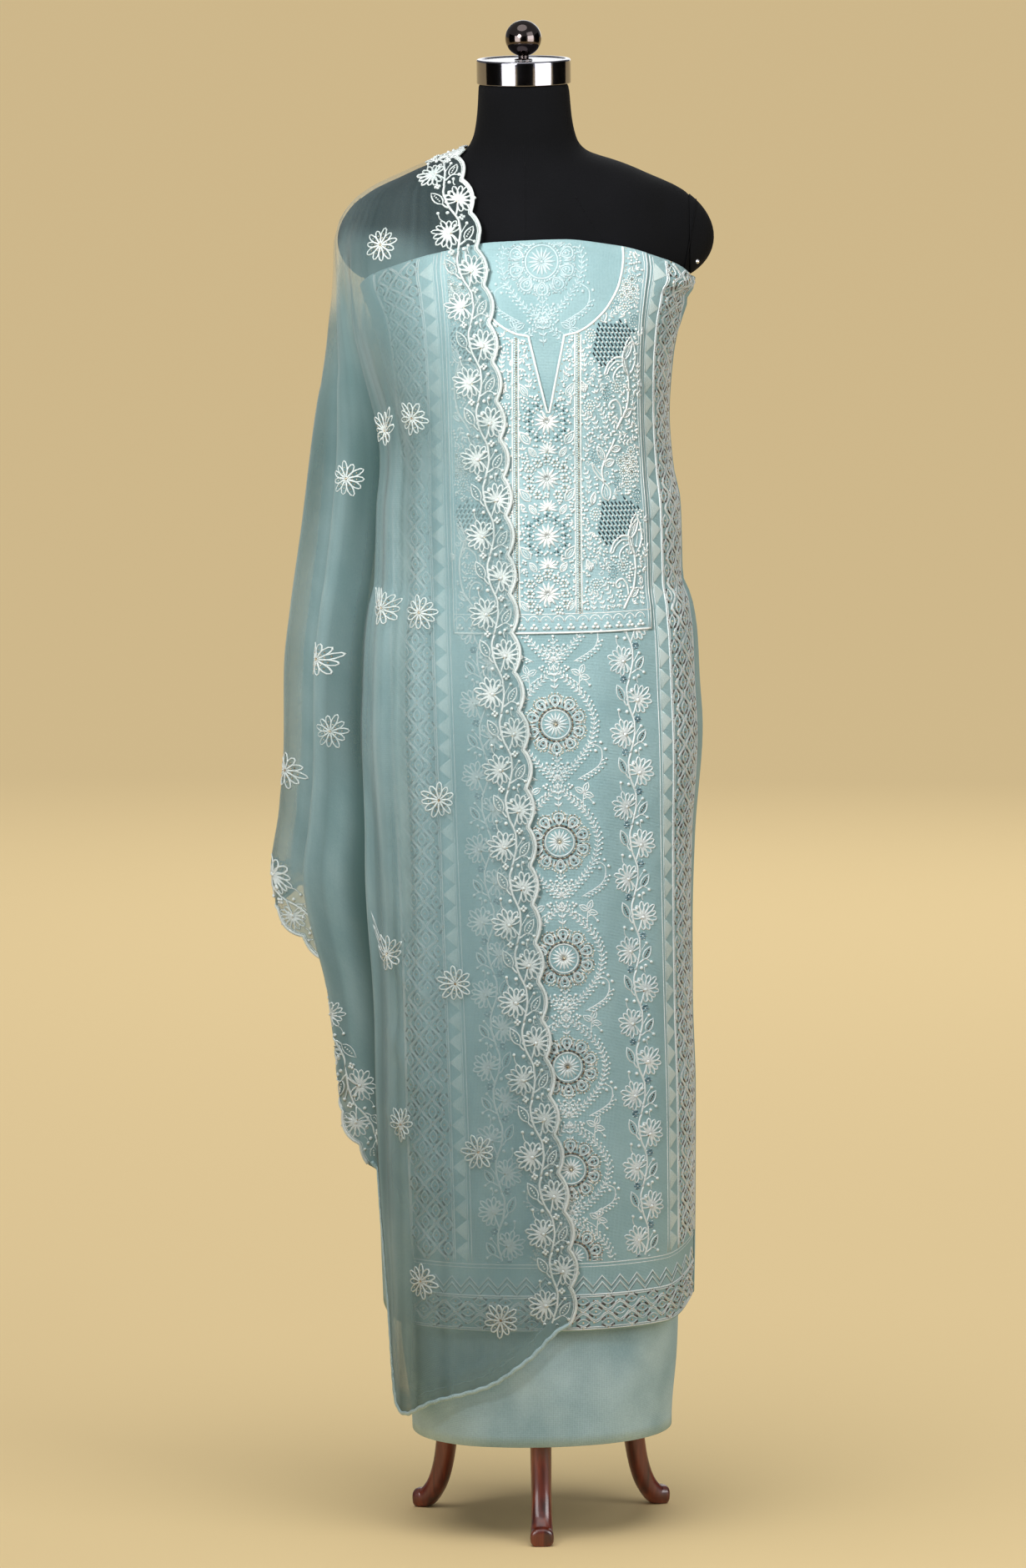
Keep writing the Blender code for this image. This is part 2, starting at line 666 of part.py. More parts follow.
# ---------------------------------------------------------------- the salwar length
def build_salwar(material, collection):
    """Plain cloth wrapped once round the hips, its outer end lapped over at the back."""
    start, turns = 180.0 - SALWAR_LAP / 2, 360.0 + SALWAR_LAP
    rows = []
    for height in SALWAR_ROWS:
        row = []
        waving = HEM_WAVE * eased((HEM_WAVE_TOP - height) / HEM_WAVE_FADE)
        for index in range(SALWAR_COLUMNS + 1):
            gone = turns * index / SALWAR_COLUMNS
            heading = start + gone
            lapped = eased((gone - (360.0 - SALWAR_LAP)) / SALWAR_LAP)
            tucked = 1 - eased(gone / SALWAR_LAP)
            out = SALWAR_LAP_STEP * (lapped - tucked) * 0.5
            radius = section_radius(SALWAR_SECTIONS, heading, height) + out
            wave = waving * math.sin(math.radians(HEM_WAVES * heading))
            row.append(at_heading(heading, radius + wave, height))
        rows.append(row)
    bm, _ = ring_grid(rows, closed=False)
    mesh = mesh_of(bm, "salwar_wrap")
    face_out(mesh)
    made = object_of(mesh, "salwar_wrap", material, collection)
    thicken(made, SALWAR_CLOTH, -1.0)


# ---------------------------------------------------------------- the kameez length
def kameez_rows():
    """Nominal heights of the kameez's rows, the yoke's own rows among them."""
    rows = [KAMEEZ_HEM, 0.250, 0.290, 0.350, 0.420, 0.500, 0.590, 0.680, 0.770, 0.845]
    rows += [0.900, YOKE_HEM, 0.990, 1.020, 1.060, 1.100, 1.145, SLIT_FOOT, 1.230]
    rows += [point.height for point in NECK_OPENING[1:]]
    return rows


def seam_spacing(count):
    """Shares from 0 to 1 with a narrow first and last step, so that sewn edges lie flush."""
    inner = 1 - 2 * SEAM_MARGIN
    between = [SEAM_MARGIN + inner * index / (count - 2) for index in range(count - 1)]
    return [0.0] + between + [1.0]


def build_kameez_front(material, collection):
    rows = []
    for nominal in kameez_rows():
        rows.append(
            [
                kameez_point(PANEL_HALF * (2 * share - 1), nominal)
                for share in seam_spacing(FRONT_COLUMNS)
            ]
        )
    bm, _ = ring_grid(rows, closed=False)
    mesh = mesh_of(bm, "kameez_front")
    face_out(mesh)
    made = object_of(mesh, "kameez_front", material, collection)
    thicken(made, KAMEEZ_CLOTH, -1.0)


def build_kameez_back(material, collection):
    """The plain back panel, from one side seam round the back to the other."""
    rows = []
    for nominal in kameez_rows():
        shift = read_table(PANEL_LINE, nominal)[0]
        side = PANEL_HALF + SEAM_GAP
        begin = heading_along(KAMEEZ_SECTIONS, nominal, shift + side)
        end = heading_along(KAMEEZ_SECTIONS, nominal, shift - side) + 360.0
        around = [begin + (end - begin) * share for share in seam_spacing(BACK_COLUMNS)]
        rows.append([kameez_at(a, nominal, back_pleat(a, nominal)) for a in around])
    bm, _ = ring_grid(rows, closed=False)
    mesh = mesh_of(bm, "kameez_back")
    face_out(mesh)
    made = object_of(mesh, "kameez_back", material, collection)
    thicken(made, KAMEEZ_CLOTH, -1.0)


def back_pleat(heading, nominal):
    """Soft upright troughs in the back panel where the slack below the waist is taken in."""
    grown = eased((BACK_PLEAT_TOP - nominal) / BACK_PLEAT_GROWTH)
    entering = eased((heading - BACK_PLEAT_FROM) / BACK_PLEAT_FADE)
    leaving = eased((BACK_PLEAT_TO - heading) / BACK_PLEAT_FADE)
    wave = (1 + math.cos(2 * math.pi * heading / BACK_PLEAT_TURN)) / 2
    return -BACK_PLEAT_DEPTH * grown * entering * leaving * wave


def neck_half_width(nominal):
    if nominal <= SLIT_FOOT:
        return 0.0
    for low, high in zip(NECK_OPENING, NECK_OPENING[1:]):
        if nominal <= high.height:
            share = (nominal - low.height) / (high.height - low.height)
            return low.half_width + (high.half_width - low.half_width) * share
    return NECK_OPENING[-1].half_width


def build_yoke(material, collection):
    """The neck yoke: one flat piece with a round neck and a slit, laid on the front panel."""
    top_rows = [nominal for nominal in kameez_rows() if nominal >= YOKE_HEM]
    out = YOKE_LIFT + YOKE_CLOTH / 2
    bm = bmesh.new()
    for side in (-1.0, 1.0):
        grid = []
        for nominal in top_rows:
            inner = neck_half_width(nominal)
            row = []
            for index in range(YOKE_COLUMNS + 1):
                place = inner + (YOKE_HALF - inner) * index / YOKE_COLUMNS
                row.append(bm.verts.new(kameez_point(side * place, nominal, out)))
            grid.append(row)
        for lower, upper in zip(grid, grid[1:]):
            for index in range(YOKE_COLUMNS):
                bm.faces.new((lower[index], lower[index + 1], upper[index + 1], upper[index]))
    bmesh.ops.remove_doubles(bm, verts=bm.verts, dist=0.00002)
    mesh = mesh_of(bm, "kameez_yoke")
    face_out(mesh)
    made = object_of(mesh, "kameez_yoke", material, collection)
    thicken(made, YOKE_CLOTH, 0.0)


# ---------------------------------------------------------------- the dupatta
def dupatta_headings():
    """The heading of each column where it hangs, a few between one fold line and the next."""
    found = []
    for line, after in zip(DUPATTA_FOLDS, DUPATTA_FOLDS[1:]):
        for step in range(line.columns):
            found.append(line.heading + (after.heading - line.heading) * step / line.columns)
    return found + [DUPATTA_FOLDS[-1].heading]


def fold_offset(heading):
    """How far the hanging cloth stands off its plain outline, in soft waves."""
    for line, after in zip(DUPATTA_FOLDS, DUPATTA_FOLDS[1:]):
        if heading <= after.heading:
            share = (heading - line.heading) / (after.heading - line.heading)
            wave = (1 - math.cos(math.pi * share)) / 2
            return line.offset + (after.offset - line.offset) * wave
    return DUPATTA_FOLDS[-1].offset


def arm_radius(heading, height):
    """Distance at which a level line from the axis leaves the draped arm stump, 0 if it misses."""
    upright = Matrix.Rotation(math.radians(ARM_TILT), 3, "Y")
    radii = Vector(ARM_RADII)
    centre = Vector((-ARM_CENTRE[0], ARM_CENTRE[1], ARM_CENTRE[2]))
    way = upright @ at_heading(heading, 1.0, 0.0)
    start = upright @ (Vector((0.0, 0.0, height)) - centre)
    way = Vector(w / r for w, r in zip(way, radii))
    start = Vector(s / r for s, r in zip(start, radii))
    half, rest = way.dot(start), start.dot(start) - 1
    under_root = half * half - way.dot(way) * rest
    return 0.0 if under_root < 0 else (math.sqrt(under_root) - half) / way.dot(way)


def body_radius(heading, height):
    """Distance from the axis to whatever the dupatta lies on: the kameez, torso or arm."""
    if height < KAMEEZ_TOP:
        body = section_radius(KAMEEZ_SECTIONS, heading, max(height, KAMEEZ_HEM))
    else:
        body = section_radius(FORM_SECTIONS, heading, height)
    return max(body, arm_radius(heading, height))


def dupatta_radius(column_heading, heading, height, drop):
    """Distance of the cloth's middle from the axis."""
    body = body_radius(heading, height - SHOULDER_CLEAR) + DUPATTA_CLEAR
    outline = section_radius(DUPATTA_SECTIONS, heading, height)
    close = eased((CLOSE_TOP - height) / CLOSE_FADE)
    close *= 1 - eased((heading - CLOSE_HEADING) / CLOSE_TURN)
    plain = outline + (body - outline) * close
    grown = eased(drop / FOLD_GROWTH)
    return max(body, plain + fold_offset(column_heading) * grown)


def dupatta_point(column_heading, ridge_height, share, edge_height):
    """A point of the cloth: share 0 is on the shoulder ridge and 1 at the lower edge."""
    level = SHOULDER_LEVEL
    scale = level * (2 - level)
    if share < level:
        fallen = share * share / scale
    else:
        fallen = (2 * level * share - level * level) / scale
    drop = (ridge_height - edge_height) * fallen
    height = ridge_height - drop
    hang, first = column_heading, DUPATTA_FOLDS[0].heading
    if column_heading < INNER_REACH:
        place = read_table(INNER_EDGE, height)[0]
        depth = section_radius(KAMEEZ_SECTIONS, 0.0, max(height, KAMEEZ_HEM)) + DUPATTA_CLEAR
        inner = math.degrees(math.atan2(-place, depth))
        hang += (inner - first) * (INNER_REACH - column_heading) / (INNER_REACH - first)
    turn = 1 - math.exp(-(TURN_AT_ONCE * math.sqrt(drop) + TURN_LATER * drop * drop))
    heading = 90.0 + (hang - 90.0) * turn
    return at_heading(heading, dupatta_radius(column_heading, heading, height, drop), height)


def scalloped(start, end, inward, count):
    """Points between two edge points that bulge out in scallops, cusps on the straight line."""
    made = []
    steps = count * (SCALLOP_POINTS + 1)
    for step in range(1, steps):
        share = step / steps
        bulge = abs(math.sin(math.pi * share * count))
        made.append(start.lerp(end, share) - inward * SCALLOP_DEPTH * bulge)
    return made


def edge_fan(bm, first, last, middles, inner_last, inner_first):
    """Fills one edge cell whose outer side has extra points."""
    outer = [first] + middles + [last]
    half = len(outer) // 2
    for a, b in zip(outer[:half], outer[1 : half + 1]):
        bm.faces.new((a, b, inner_first))
    bm.faces.new((outer[half], inner_last, inner_first))
    for a, b in zip(outer[half:], outer[half + 1 :]):
        bm.faces.new((a, b, inner_last))


def build_dupatta(material, collection):
    """One sheet over the shoulder, pleated at the side, with scallops along its free edges."""
    headings = dupatta_headings()
    last = len(headings) - 1
    bm = bmesh.new()
    grid = []
    for row in range(DUPATTA_ROWS + 1):
        line = []
        for column, heading in enumerate(headings):
            mirrored = last - column
            if row == 0 and column > SHOULDER_COLUMN:
                line.append(line[mirrored])
                continue
            across = min(column, mirrored) / SHOULDER_COLUMN
            ridge = read_table(RIDGE, across)[0]
            edge = read_table(DUPATTA_EDGE, heading)[0]
            place = dupatta_point(heading, ridge, row / DUPATTA_ROWS, edge)
            line.append(bm.verts.new(place))
        grid.append(line)
    for row in range(DUPATTA_ROWS):
        for column in range(last):
            cell = (
                grid[row][column],
                grid[row + 1][column],
                grid[row + 1][column + 1],
                grid[row][column + 1],
            )
            if column in (0, last - 1) and row < DUPATTA_ROWS - 1:
                scalloped_cell(bm, cell, column == 0)
            elif row == 0 and column == SHOULDER_COLUMN - 1:
                bm.faces.new((cell[0], cell[1], cell[3]))
                bm.faces.new((cell[1], cell[2], cell[3]))
            elif row == 0 and column == SHOULDER_COLUMN:
                bm.faces.new((cell[0], cell[1], cell[2]))
                bm.faces.new((cell[0], cell[2], cell[3]))
            else:
                bm.faces.new(cell)
    mesh = mesh_of(bm, "dupatta")
    face_out(mesh)
    made = object_of(mesh, "dupatta", material, collection)
    thicken(made, DUPATTA_CLOTH, 0.0)


def scalloped_cell(bm, cell, on_first_column):
    """The edge cell of one row, with the scallops that fit its height."""
    upper, lower, lower_next, upper_next = cell
    if on_first_column:
        first, end, inner_end, inner_first = upper, lower, lower_next, upper_next
    else:
        first, end, inner_end, inner_first = upper_next, lower_next, lower, upper
    count = max(1, round((first.co - end.co).length / SCALLOP_PITCH))
    inward = ((inner_first.co + inner_end.co) - (first.co + end.co)).normalized()
    middles = [bm.verts.new(p) for p in scalloped(first.co, end.co, inward, count)]
    edge_fan(bm, first, end, middles, inner_end, inner_first)


# ---------------------------------------------------------------- putting it together
def centre_on_footprint(collection, helpers):
    """Parents everything to one empty, moved so that the origin is under the box's middle."""
    root = bpy.data.objects.new("suit_on_form", None)
    collection.objects.link(root)
    bpy.context.view_layer.update()
    graph = bpy.context.evaluated_depsgraph_get()
    low, high = Vector((9.0, 9.0, 9.0)), Vector((-9.0, -9.0, -9.0))
    pieces = [obj for obj in collection.objects if obj.type == "MESH"]
    for obj in pieces:
        evaluated = obj.evaluated_get(graph)
        for corner in evaluated.bound_box:
            place = evaluated.matrix_world @ Vector(corner)
            low = Vector(map(min, low, place))
            high = Vector(map(max, high, place))
    for obj in pieces + list(helpers.objects):
        obj.parent = root
    root.location = (-(low.x + high.x) / 2, -(low.y + high.y) / 2, 0.0)


def main():
    for obj in list(bpy.data.objects):
        bpy.data.objects.remove(obj)
    suit = new_collection("salwar_kameez_suit")
    helpers = new_collection("cutters")
    black_jersey = finish_of("black_jersey", (0.012, 0.012, 0.014), 0.85)
    chrome = finish_of("chrome", (0.75, 0.75, 0.77), 0.12, 1.0)
    dark_ball = finish_of("smoked_chrome", (0.16, 0.15, 0.15), 0.10, 1.0)
    mahogany = finish_of("mahogany", (0.24, 0.055, 0.030), 0.35)
    salwar_cotton = finish_of("salwar_cotton", (0.36, 0.52, 0.54), 0.80)
    georgette = finish_of("kameez_georgette", (0.34, 0.53, 0.57), 0.75)
    embroidered = finish_of("yoke_embroidery", (0.46, 0.62, 0.64), 0.75)
    chiffon = finish_of("dupatta_chiffon", (0.33, 0.50, 0.51), 0.70)
    build_form(black_jersey, suit, helpers)
    build_neck_cap(chrome, suit)
    build_knob(dark_ball, suit)
    build_pole(mahogany, suit)
    build_hub(mahogany, suit)
    build_legs(mahogany, suit, helpers)
    build_salwar(salwar_cotton, suit)
    build_kameez_front(georgette, suit)
    build_kameez_back(georgette, suit)
    build_yoke(embroidered, suit)
    build_dupatta(chiffon, suit)
    centre_on_footprint(suit, helpers)


main()
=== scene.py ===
"""Looks of an unstitched salwar kameez suit shown on a limbless dress form.

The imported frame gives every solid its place. This script dresses it: a jersey form with a
chrome cap, a mahogany stand, and three lengths of cloth with their raised embroidery.
All sizes are metres, +Z is up and the wearer faces -Y. A heading is the angle round the
form's axis in degrees: 0 faces the front, 90 the dupatta's side (-X) and 180 the back.
"""

import logging
import math
import random
from dataclasses import dataclass, field
from enum import Enum
from typing import Callable

import bmesh
import bpy
import numpy as np
from mathutils import Matrix, Vector
from mathutils.kdtree import KDTree


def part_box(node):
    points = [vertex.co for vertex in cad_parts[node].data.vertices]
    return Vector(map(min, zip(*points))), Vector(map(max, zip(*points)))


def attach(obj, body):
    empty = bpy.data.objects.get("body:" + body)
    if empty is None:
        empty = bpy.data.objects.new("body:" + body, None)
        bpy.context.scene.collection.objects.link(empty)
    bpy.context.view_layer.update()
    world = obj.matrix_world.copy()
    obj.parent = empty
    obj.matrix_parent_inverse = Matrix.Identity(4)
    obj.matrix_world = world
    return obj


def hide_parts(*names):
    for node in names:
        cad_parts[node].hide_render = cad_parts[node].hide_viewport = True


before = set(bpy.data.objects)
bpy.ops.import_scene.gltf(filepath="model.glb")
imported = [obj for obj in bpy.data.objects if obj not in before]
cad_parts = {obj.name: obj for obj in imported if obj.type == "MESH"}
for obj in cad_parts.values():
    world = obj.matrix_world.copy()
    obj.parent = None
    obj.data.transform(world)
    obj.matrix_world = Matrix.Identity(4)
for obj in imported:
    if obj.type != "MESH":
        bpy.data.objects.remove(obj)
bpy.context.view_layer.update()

log = logging.getLogger("suit")

BODY = "root"
CAP_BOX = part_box("neck_cap")
AXIS = np.array([(CAP_BOX[0][0] + CAP_BOX[1][0]) / 2, (CAP_BOX[0][1] + CAP_BOX[1][1]) / 2, 0.0])
ROUNDNESS = 2.25  # superellipse exponent of every body section
MM = 0.001

# Body sections: height, half width, depth in front of the axis, depth behind it.
FORM_SECTIONS = np.array([
    (0.745, 0.1540, 0.1090, 0.1090), (0.800, 0.1600, 0.1140, 0.1140),
    (0.850, 0.1620, 0.1150, 0.1150), (0.900, 0.1590, 0.1130, 0.1120),
    (0.950, 0.1510, 0.1090, 0.1050), (1.000, 0.1410, 0.1040, 0.0960),
    (1.040, 0.1340, 0.1000, 0.0890), (1.080, 0.1300, 0.0990, 0.0850),
    (1.120, 0.1300, 0.1040, 0.0860), (1.160, 0.1330, 0.1130, 0.0910),
    (1.200, 0.1370, 0.1220, 0.0970), (1.240, 0.1420, 0.1250, 0.1020),
    (1.280, 0.1500, 0.1200, 0.1050), (1.320, 0.1590, 0.1080, 0.1040),
    (1.360, 0.1610, 0.0950, 0.1000), (1.390, 0.1600, 0.0850, 0.0930),
    (1.4065, 0.1560, 0.0780, 0.0860), (1.4140, 0.1460, 0.0740, 0.0810),
    (1.4210, 0.1300, 0.0700, 0.0760), (1.4290, 0.1130, 0.0650, 0.0700),
    (1.4360, 0.0950, 0.0600, 0.0640), (1.4410, 0.0780, 0.0560, 0.0590),
    (1.4470, 0.0625, 0.0520, 0.0545), (1.4560, 0.0555, 0.0500, 0.0520),
    (1.4700, 0.0515, 0.0485, 0.0495), (1.4880, 0.0490, 0.0475, 0.0480),
    (1.5175, 0.0474, 0.0470, 0.0470),
])
SALWAR_SECTIONS = np.array([
    (0.102, 0.1355, 0.1320, 0.1280), (0.190, 0.1420, 0.1310, 0.1270),
    (0.300, 0.1460, 0.1290, 0.1250), (0.500, 0.1520, 0.1250, 0.1220),
    (0.700, 0.1600, 0.1230, 0.1220), (0.800, 0.1650, 0.1225, 0.1215),
    (0.850, 0.1670, 0.1220, 0.1215), (0.900, 0.1645, 0.1200, 0.1195),
    (0.950, 0.1570, 0.1150, 0.1120), (1.000, 0.1470, 0.1100, 0.1030),
    (1.060, 0.1380, 0.1050, 0.0930),
])
KAMEEZ_SECTIONS = np.array([
    (0.226, 0.1625, 0.1430, 0.1390), (0.290, 0.1640, 0.1400, 0.1370),
    (0.375, 0.1655, 0.1375, 0.1355), (0.465, 0.1665, 0.1350, 0.1345),
    (0.555, 0.1645, 0.1335, 0.1335), (0.640, 0.1655, 0.1320, 0.1325),
    (0.730, 0.1690, 0.1305, 0.1315), (0.845, 0.1780, 0.1300, 0.1310),
    (0.890, 0.1755, 0.1290, 0.1290), (0.940, 0.1735, 0.1265, 0.1230),
    (0.977, 0.1680, 0.1245, 0.1170), (1.003, 0.1585, 0.1235, 0.1120),
    (1.040, 0.1580, 0.1225, 0.1040), (1.080, 0.1570, 0.1225, 0.0990),
    (1.117, 0.1500, 0.1235, 0.0985), (1.170, 0.1465, 0.1290, 0.1020),
    (1.230, 0.1510, 0.1340, 0.1080), (1.274, 0.1600, 0.1310, 0.1110),
    (1.318, 0.1730, 0.1180, 0.1100), (1.364, 0.1700, 0.1030, 0.1070),
])
DUPATTA_SECTIONS = np.array([
    (0.130, 0.1700, 0.1500, 0.1950), (0.380, 0.2250, 0.1450, 0.1950),
    (0.560, 0.2450, 0.1420, 0.1950), (0.690, 0.2740, 0.1400, 0.1950),
    (0.750, 0.2650, 0.1400, 0.1950), (0.820, 0.2570, 0.1390, 0.1940),
    (0.906, 0.2540, 0.1370, 0.1900), (0.968, 0.2460, 0.1340, 0.1820),
    (1.064, 0.2310, 0.1310, 0.1720), (1.187, 0.2170, 0.1380, 0.1580),
    (1.257, 0.2080, 0.1390, 0.1460), (1.318, 0.2050, 0.1260, 0.1310),
    (1.3526, 0.2035, 0.1140, 0.1180), (1.3670, 0.1995, 0.1080, 0.1120),
    (1.3840, 0.1900, 0.1000, 0.1050), (1.4000, 0.1785, 0.0920, 0.0985),
    (1.4110, 0.1630, 0.0860, 0.0920), (1.4185, 0.1480, 0.0810, 0.0860),
    (1.4260, 0.1310, 0.0760, 0.0800), (1.4335, 0.1140, 0.0705, 0.0740),
    (1.4405, 0.0960, 0.0650, 0.0685), (1.4460, 0.0800, 0.0610, 0.0635),
    (1.4520, 0.0680, 0.0570, 0.0590),
])
# The kameez: height and sideways place of the front panel's middle line.
PANEL_LINE = np.array([(0.226, -0.040), (0.800, -0.029), (1.364, -0.019)])
# Heading and drop of its upper edge, then heading and rise of its hem.
TOP_DROP = np.array([
    (-180.0, 0.040), (-110.0, 0.056), (-88.0, 0.050), (-66.0, 0.026), (-46.0, 0.008),
    (-20.0, 0.000), (18.0, 0.002), (46.0, 0.014), (66.0, 0.032), (88.0, 0.054),
    (110.0, 0.058), (180.0, 0.040),
])
HEM_RISE = np.array([
    (-180.0, 0.004), (-110.0, 0.012), (-84.0, 0.018), (-55.0, 0.000), (60.0, 0.000),
    (90.0, 0.012), (180.0, 0.004),
])
# Height and half width of the yoke's round neck, above its slit.
NECK_ROUND = np.array([
    (1.2670, 0.0170), (1.2700, 0.0300), (1.2810, 0.0480), (1.2990, 0.0640),
    (1.3250, 0.0750), (1.3640, 0.0790),
])
# The dupatta's folds where it hangs: heading, stand-off, and columns up to the next one.
DUPATTA_FOLDS = np.array([
    (12.0, 0.0000, 4), (27.0, 0.0040, 3), (39.0, -0.0006, 3), (51.0, 0.0060, 3),
    (61.0, 0.0004, 3), (69.0, -0.0070, 4), (76.0, -0.0480, 4), (83.5, -0.0170, 4),
    (90.0, -0.0500, 4), (97.0, 0.0040, 4), (103.5, -0.0560, 2), (109.0, 0.0020, 2),
    (114.5, -0.0540, 2), (120.5, 0.0060, 2), (126.0, -0.0600, 2), (131.5, 0.0000, 2),
    (137.5, -0.0560, 2), (143.0, 0.0060, 2), (149.0, -0.0580, 2), (154.5, 0.0000, 2),
    (160.5, -0.0560, 2), (166.0, 0.0040, 2), (171.5, -0.0540, 2), (177.5, 0.0040, 2),
    (183.5, -0.0480, 2), (189.5, 0.0000, 3), (196.0, -0.0300, 3), (203.0, -0.0100, 0),
])
# Heading and height of its lower edge.
DUPATTA_EDGE = np.array([
    (12.0, 0.2330), (24.0, 0.1960), (34.0, 0.1690), (48.0, 0.1500), (60.0, 0.1300),
    (65.0, 0.1400), (70.0, 0.2300), (77.0, 0.3500), (84.0, 0.4500), (90.0, 0.5600),
    (98.0, 0.6600), (105.0, 0.6880), (116.0, 0.6700), (128.0, 0.5800), (140.0, 0.4400),
    (154.0, 0.2600), (166.0, 0.2300), (203.0, 0.2600),
])
# Height and sideways place of its inner edge in front.
INNER_EDGE = np.array([
    (0.230, 0.0340), (0.285, 0.0370), (0.400, 0.0245), (0.520, 0.0125), (0.660, 0.0020),
    (0.840, -0.0060), (0.920, -0.0140), (1.110, -0.0225), (1.250, -0.0295),
])
# Share of the way from neck to arm, and height, of the ridge where it leaves the shoulder.
RIDGE = np.array([
    (0.00, 1.4530), (0.14, 1.4465), (0.28, 1.4390), (0.44, 1.4300), (0.60, 1.4205),
    (0.72, 1.4125), (0.84, 1.3995), (1.00, 1.3770),
])
# One cabriole leg's middle line: distance from the axis, height, half width, half depth.
LEG_LINE = np.array([
    (0.0318, 0.2260, 0.0126, 0.0128), (0.0600, 0.2250, 0.0132, 0.0132),
    (0.0860, 0.2060, 0.0137, 0.0134), (0.1020, 0.1680, 0.0126, 0.0124),
    (0.1100, 0.1200, 0.0115, 0.0112), (0.1140, 0.0800, 0.0110, 0.0104),
    (0.1195, 0.0480, 0.0106, 0.0100), (0.1290, 0.0230, 0.0110, 0.0100),
    (0.1420, 0.0095, 0.0122, 0.0108), (0.1530, 0.0085, 0.0126, 0.0104),
])

# ---------------------------------------------------------------- shared geometry
def eased(share: np.ndarray | float) -> np.ndarray:
    """Returns 0 to 1 with a level start and end."""
    share = np.clip(share, 0.0, 1.0)
    return share * share * (3 - 2 * share)


def ramped(value: np.ndarray, start: np.ndarray | float, end: np.ndarray | float) -> np.ndarray:
    """Returns 0 to 1, eased, as a value goes from start to end."""
    return eased((value - start) / (end - start))


def window(value: np.ndarray, start: float, full: float, fade: float, end: float) -> np.ndarray:
    """Returns 1 while a value is between full and fade, eased to 0 at start and at end."""
    return ramped(value, start, full) * ramped(value, end, fade)


def unit(ways: np.ndarray) -> np.ndarray:
    """Returns directions scaled to a length of 1 along the last axis."""
    return ways / (np.linalg.norm(ways, axis=-1)[..., None] + 1e-12)


def read_table(rows: np.ndarray, at: np.ndarray | float) -> np.ndarray:
    """Reads a table on a smooth monotone curve.

    Args:
        rows: the table, sorted by its first column.
        at: values of the first column.

    Returns:
        The other columns at those values, along a new last axis.
    """
    key, other = rows[:, 0], rows[:, 1:]
    at = np.clip(np.asarray(at, float), key[0], key[-1])
    steps = np.diff(key)[:, None]
    secant = np.diff(other, axis=0) / steps
    slope = np.zeros_like(other)
    product = secant[:-1] * secant[1:]
    total = np.where(product > 0, secant[:-1] + secant[1:], 1.0)
    slope[1:-1] = np.where(product > 0, 2 * product / total, 0.0)
    index = np.clip(np.searchsorted(key, at, side="left") - 1, 0, len(key) - 2)
    span = steps[index]
    share = ((at - key[index]) / steps[index, 0])[..., None]
    squared, cubed = share**2, share**3
    return (
        other[index] * (2 * cubed - 3 * squared + 1)
        + slope[index] * span * (cubed - 2 * squared + share)
        + other[index + 1] * (3 * squared - 2 * cubed)
        + slope[index + 1] * span * (cubed - squared)
    )


def read_one(rows: np.ndarray, at: np.ndarray | float) -> np.ndarray:
    """Returns the first of read_table's columns."""
    return read_table(rows, at)[..., 0]


def read_grid(
    grid: np.ndarray, across: np.ndarray, up: np.ndarray, x: np.ndarray, y: np.ndarray
) -> np.ndarray:
    """Reads a grid of values or points between its crossings.

    Args:
        grid: the values, as rows of columns.
        across: the rising coordinates of its columns.
        up: the rising coordinates of its rows.
        x: where to read, across.
        y: where to read, up.

    Returns:
        The values there.
    """
    column = np.interp(x, across, np.arange(len(across)))
    row = np.interp(y, up, np.arange(len(up)))
    left = np.minimum(column.astype(int), len(across) - 2)
    low = np.minimum(row.astype(int), len(up) - 2)
    right, top = column - left, row - low
    if grid.ndim == 3:
        right, top = right[..., None], top[..., None]
    lower = grid[low, left] * (1 - right) + grid[low, left + 1] * right
    upper = grid[low + 1, left] * (1 - right) + grid[low + 1, left + 1] * right
    return lower * (1 - top) + upper * top


def section_radius(sections: np.ndarray, heading: np.ndarray, height: np.ndarray) -> np.ndarray:
    """Returns the distance from the axis to a body section at a heading in degrees."""
    found = read_table(sections, height)
    turn = np.radians(heading)
    across = np.abs(np.sin(turn)) / found[..., 0]
    along = np.cos(turn)
    along = np.abs(along) / np.where(along > 0, found[..., 1], found[..., 2])
    return (across**ROUNDNESS + along**ROUNDNESS) ** (-1 / ROUNDNESS)


def wrapped(heading: np.ndarray) -> np.ndarray:
    """Returns headings as -180 to 180 degrees."""
    return (heading + 180.0) % 360.0 - 180.0


def at_heading(heading: np.ndarray, radius: np.ndarray, height: np.ndarray) -> np.ndarray:
    """Returns points round the form's axis, in the frame."""
    turn = np.radians(heading)
    flat = (-np.sin(turn) * radius, -np.cos(turn) * radius, height)
    return np.stack(np.broadcast_arrays(*flat), axis=-1) + AXIS


def from_axis(x: float, y: float, z: float) -> Vector:
    """Returns a point that is given from the foot of the form's axis."""
    return Vector(AXIS) + Vector((x, y, z))


def lengths_along(points: np.ndarray, axis: int) -> np.ndarray:
    """Returns the running length of the lines of a grid of points, from 0, along one axis."""
    steps = np.linalg.norm(np.diff(points, axis=axis), axis=-1)
    zero = np.zeros_like(np.take(steps, [0], axis=axis))
    return np.concatenate([zero, np.cumsum(steps, axis=axis)], axis=axis)


@dataclass(frozen=True)
class Crease:
    """A soft ridge in a cloth, or a trough where its depth is negative.

    start and end are (heading, height) pairs; it dies away towards both.
    """

    start: tuple[float, float]
    end: tuple[float, float]
    depth: float
    width: float


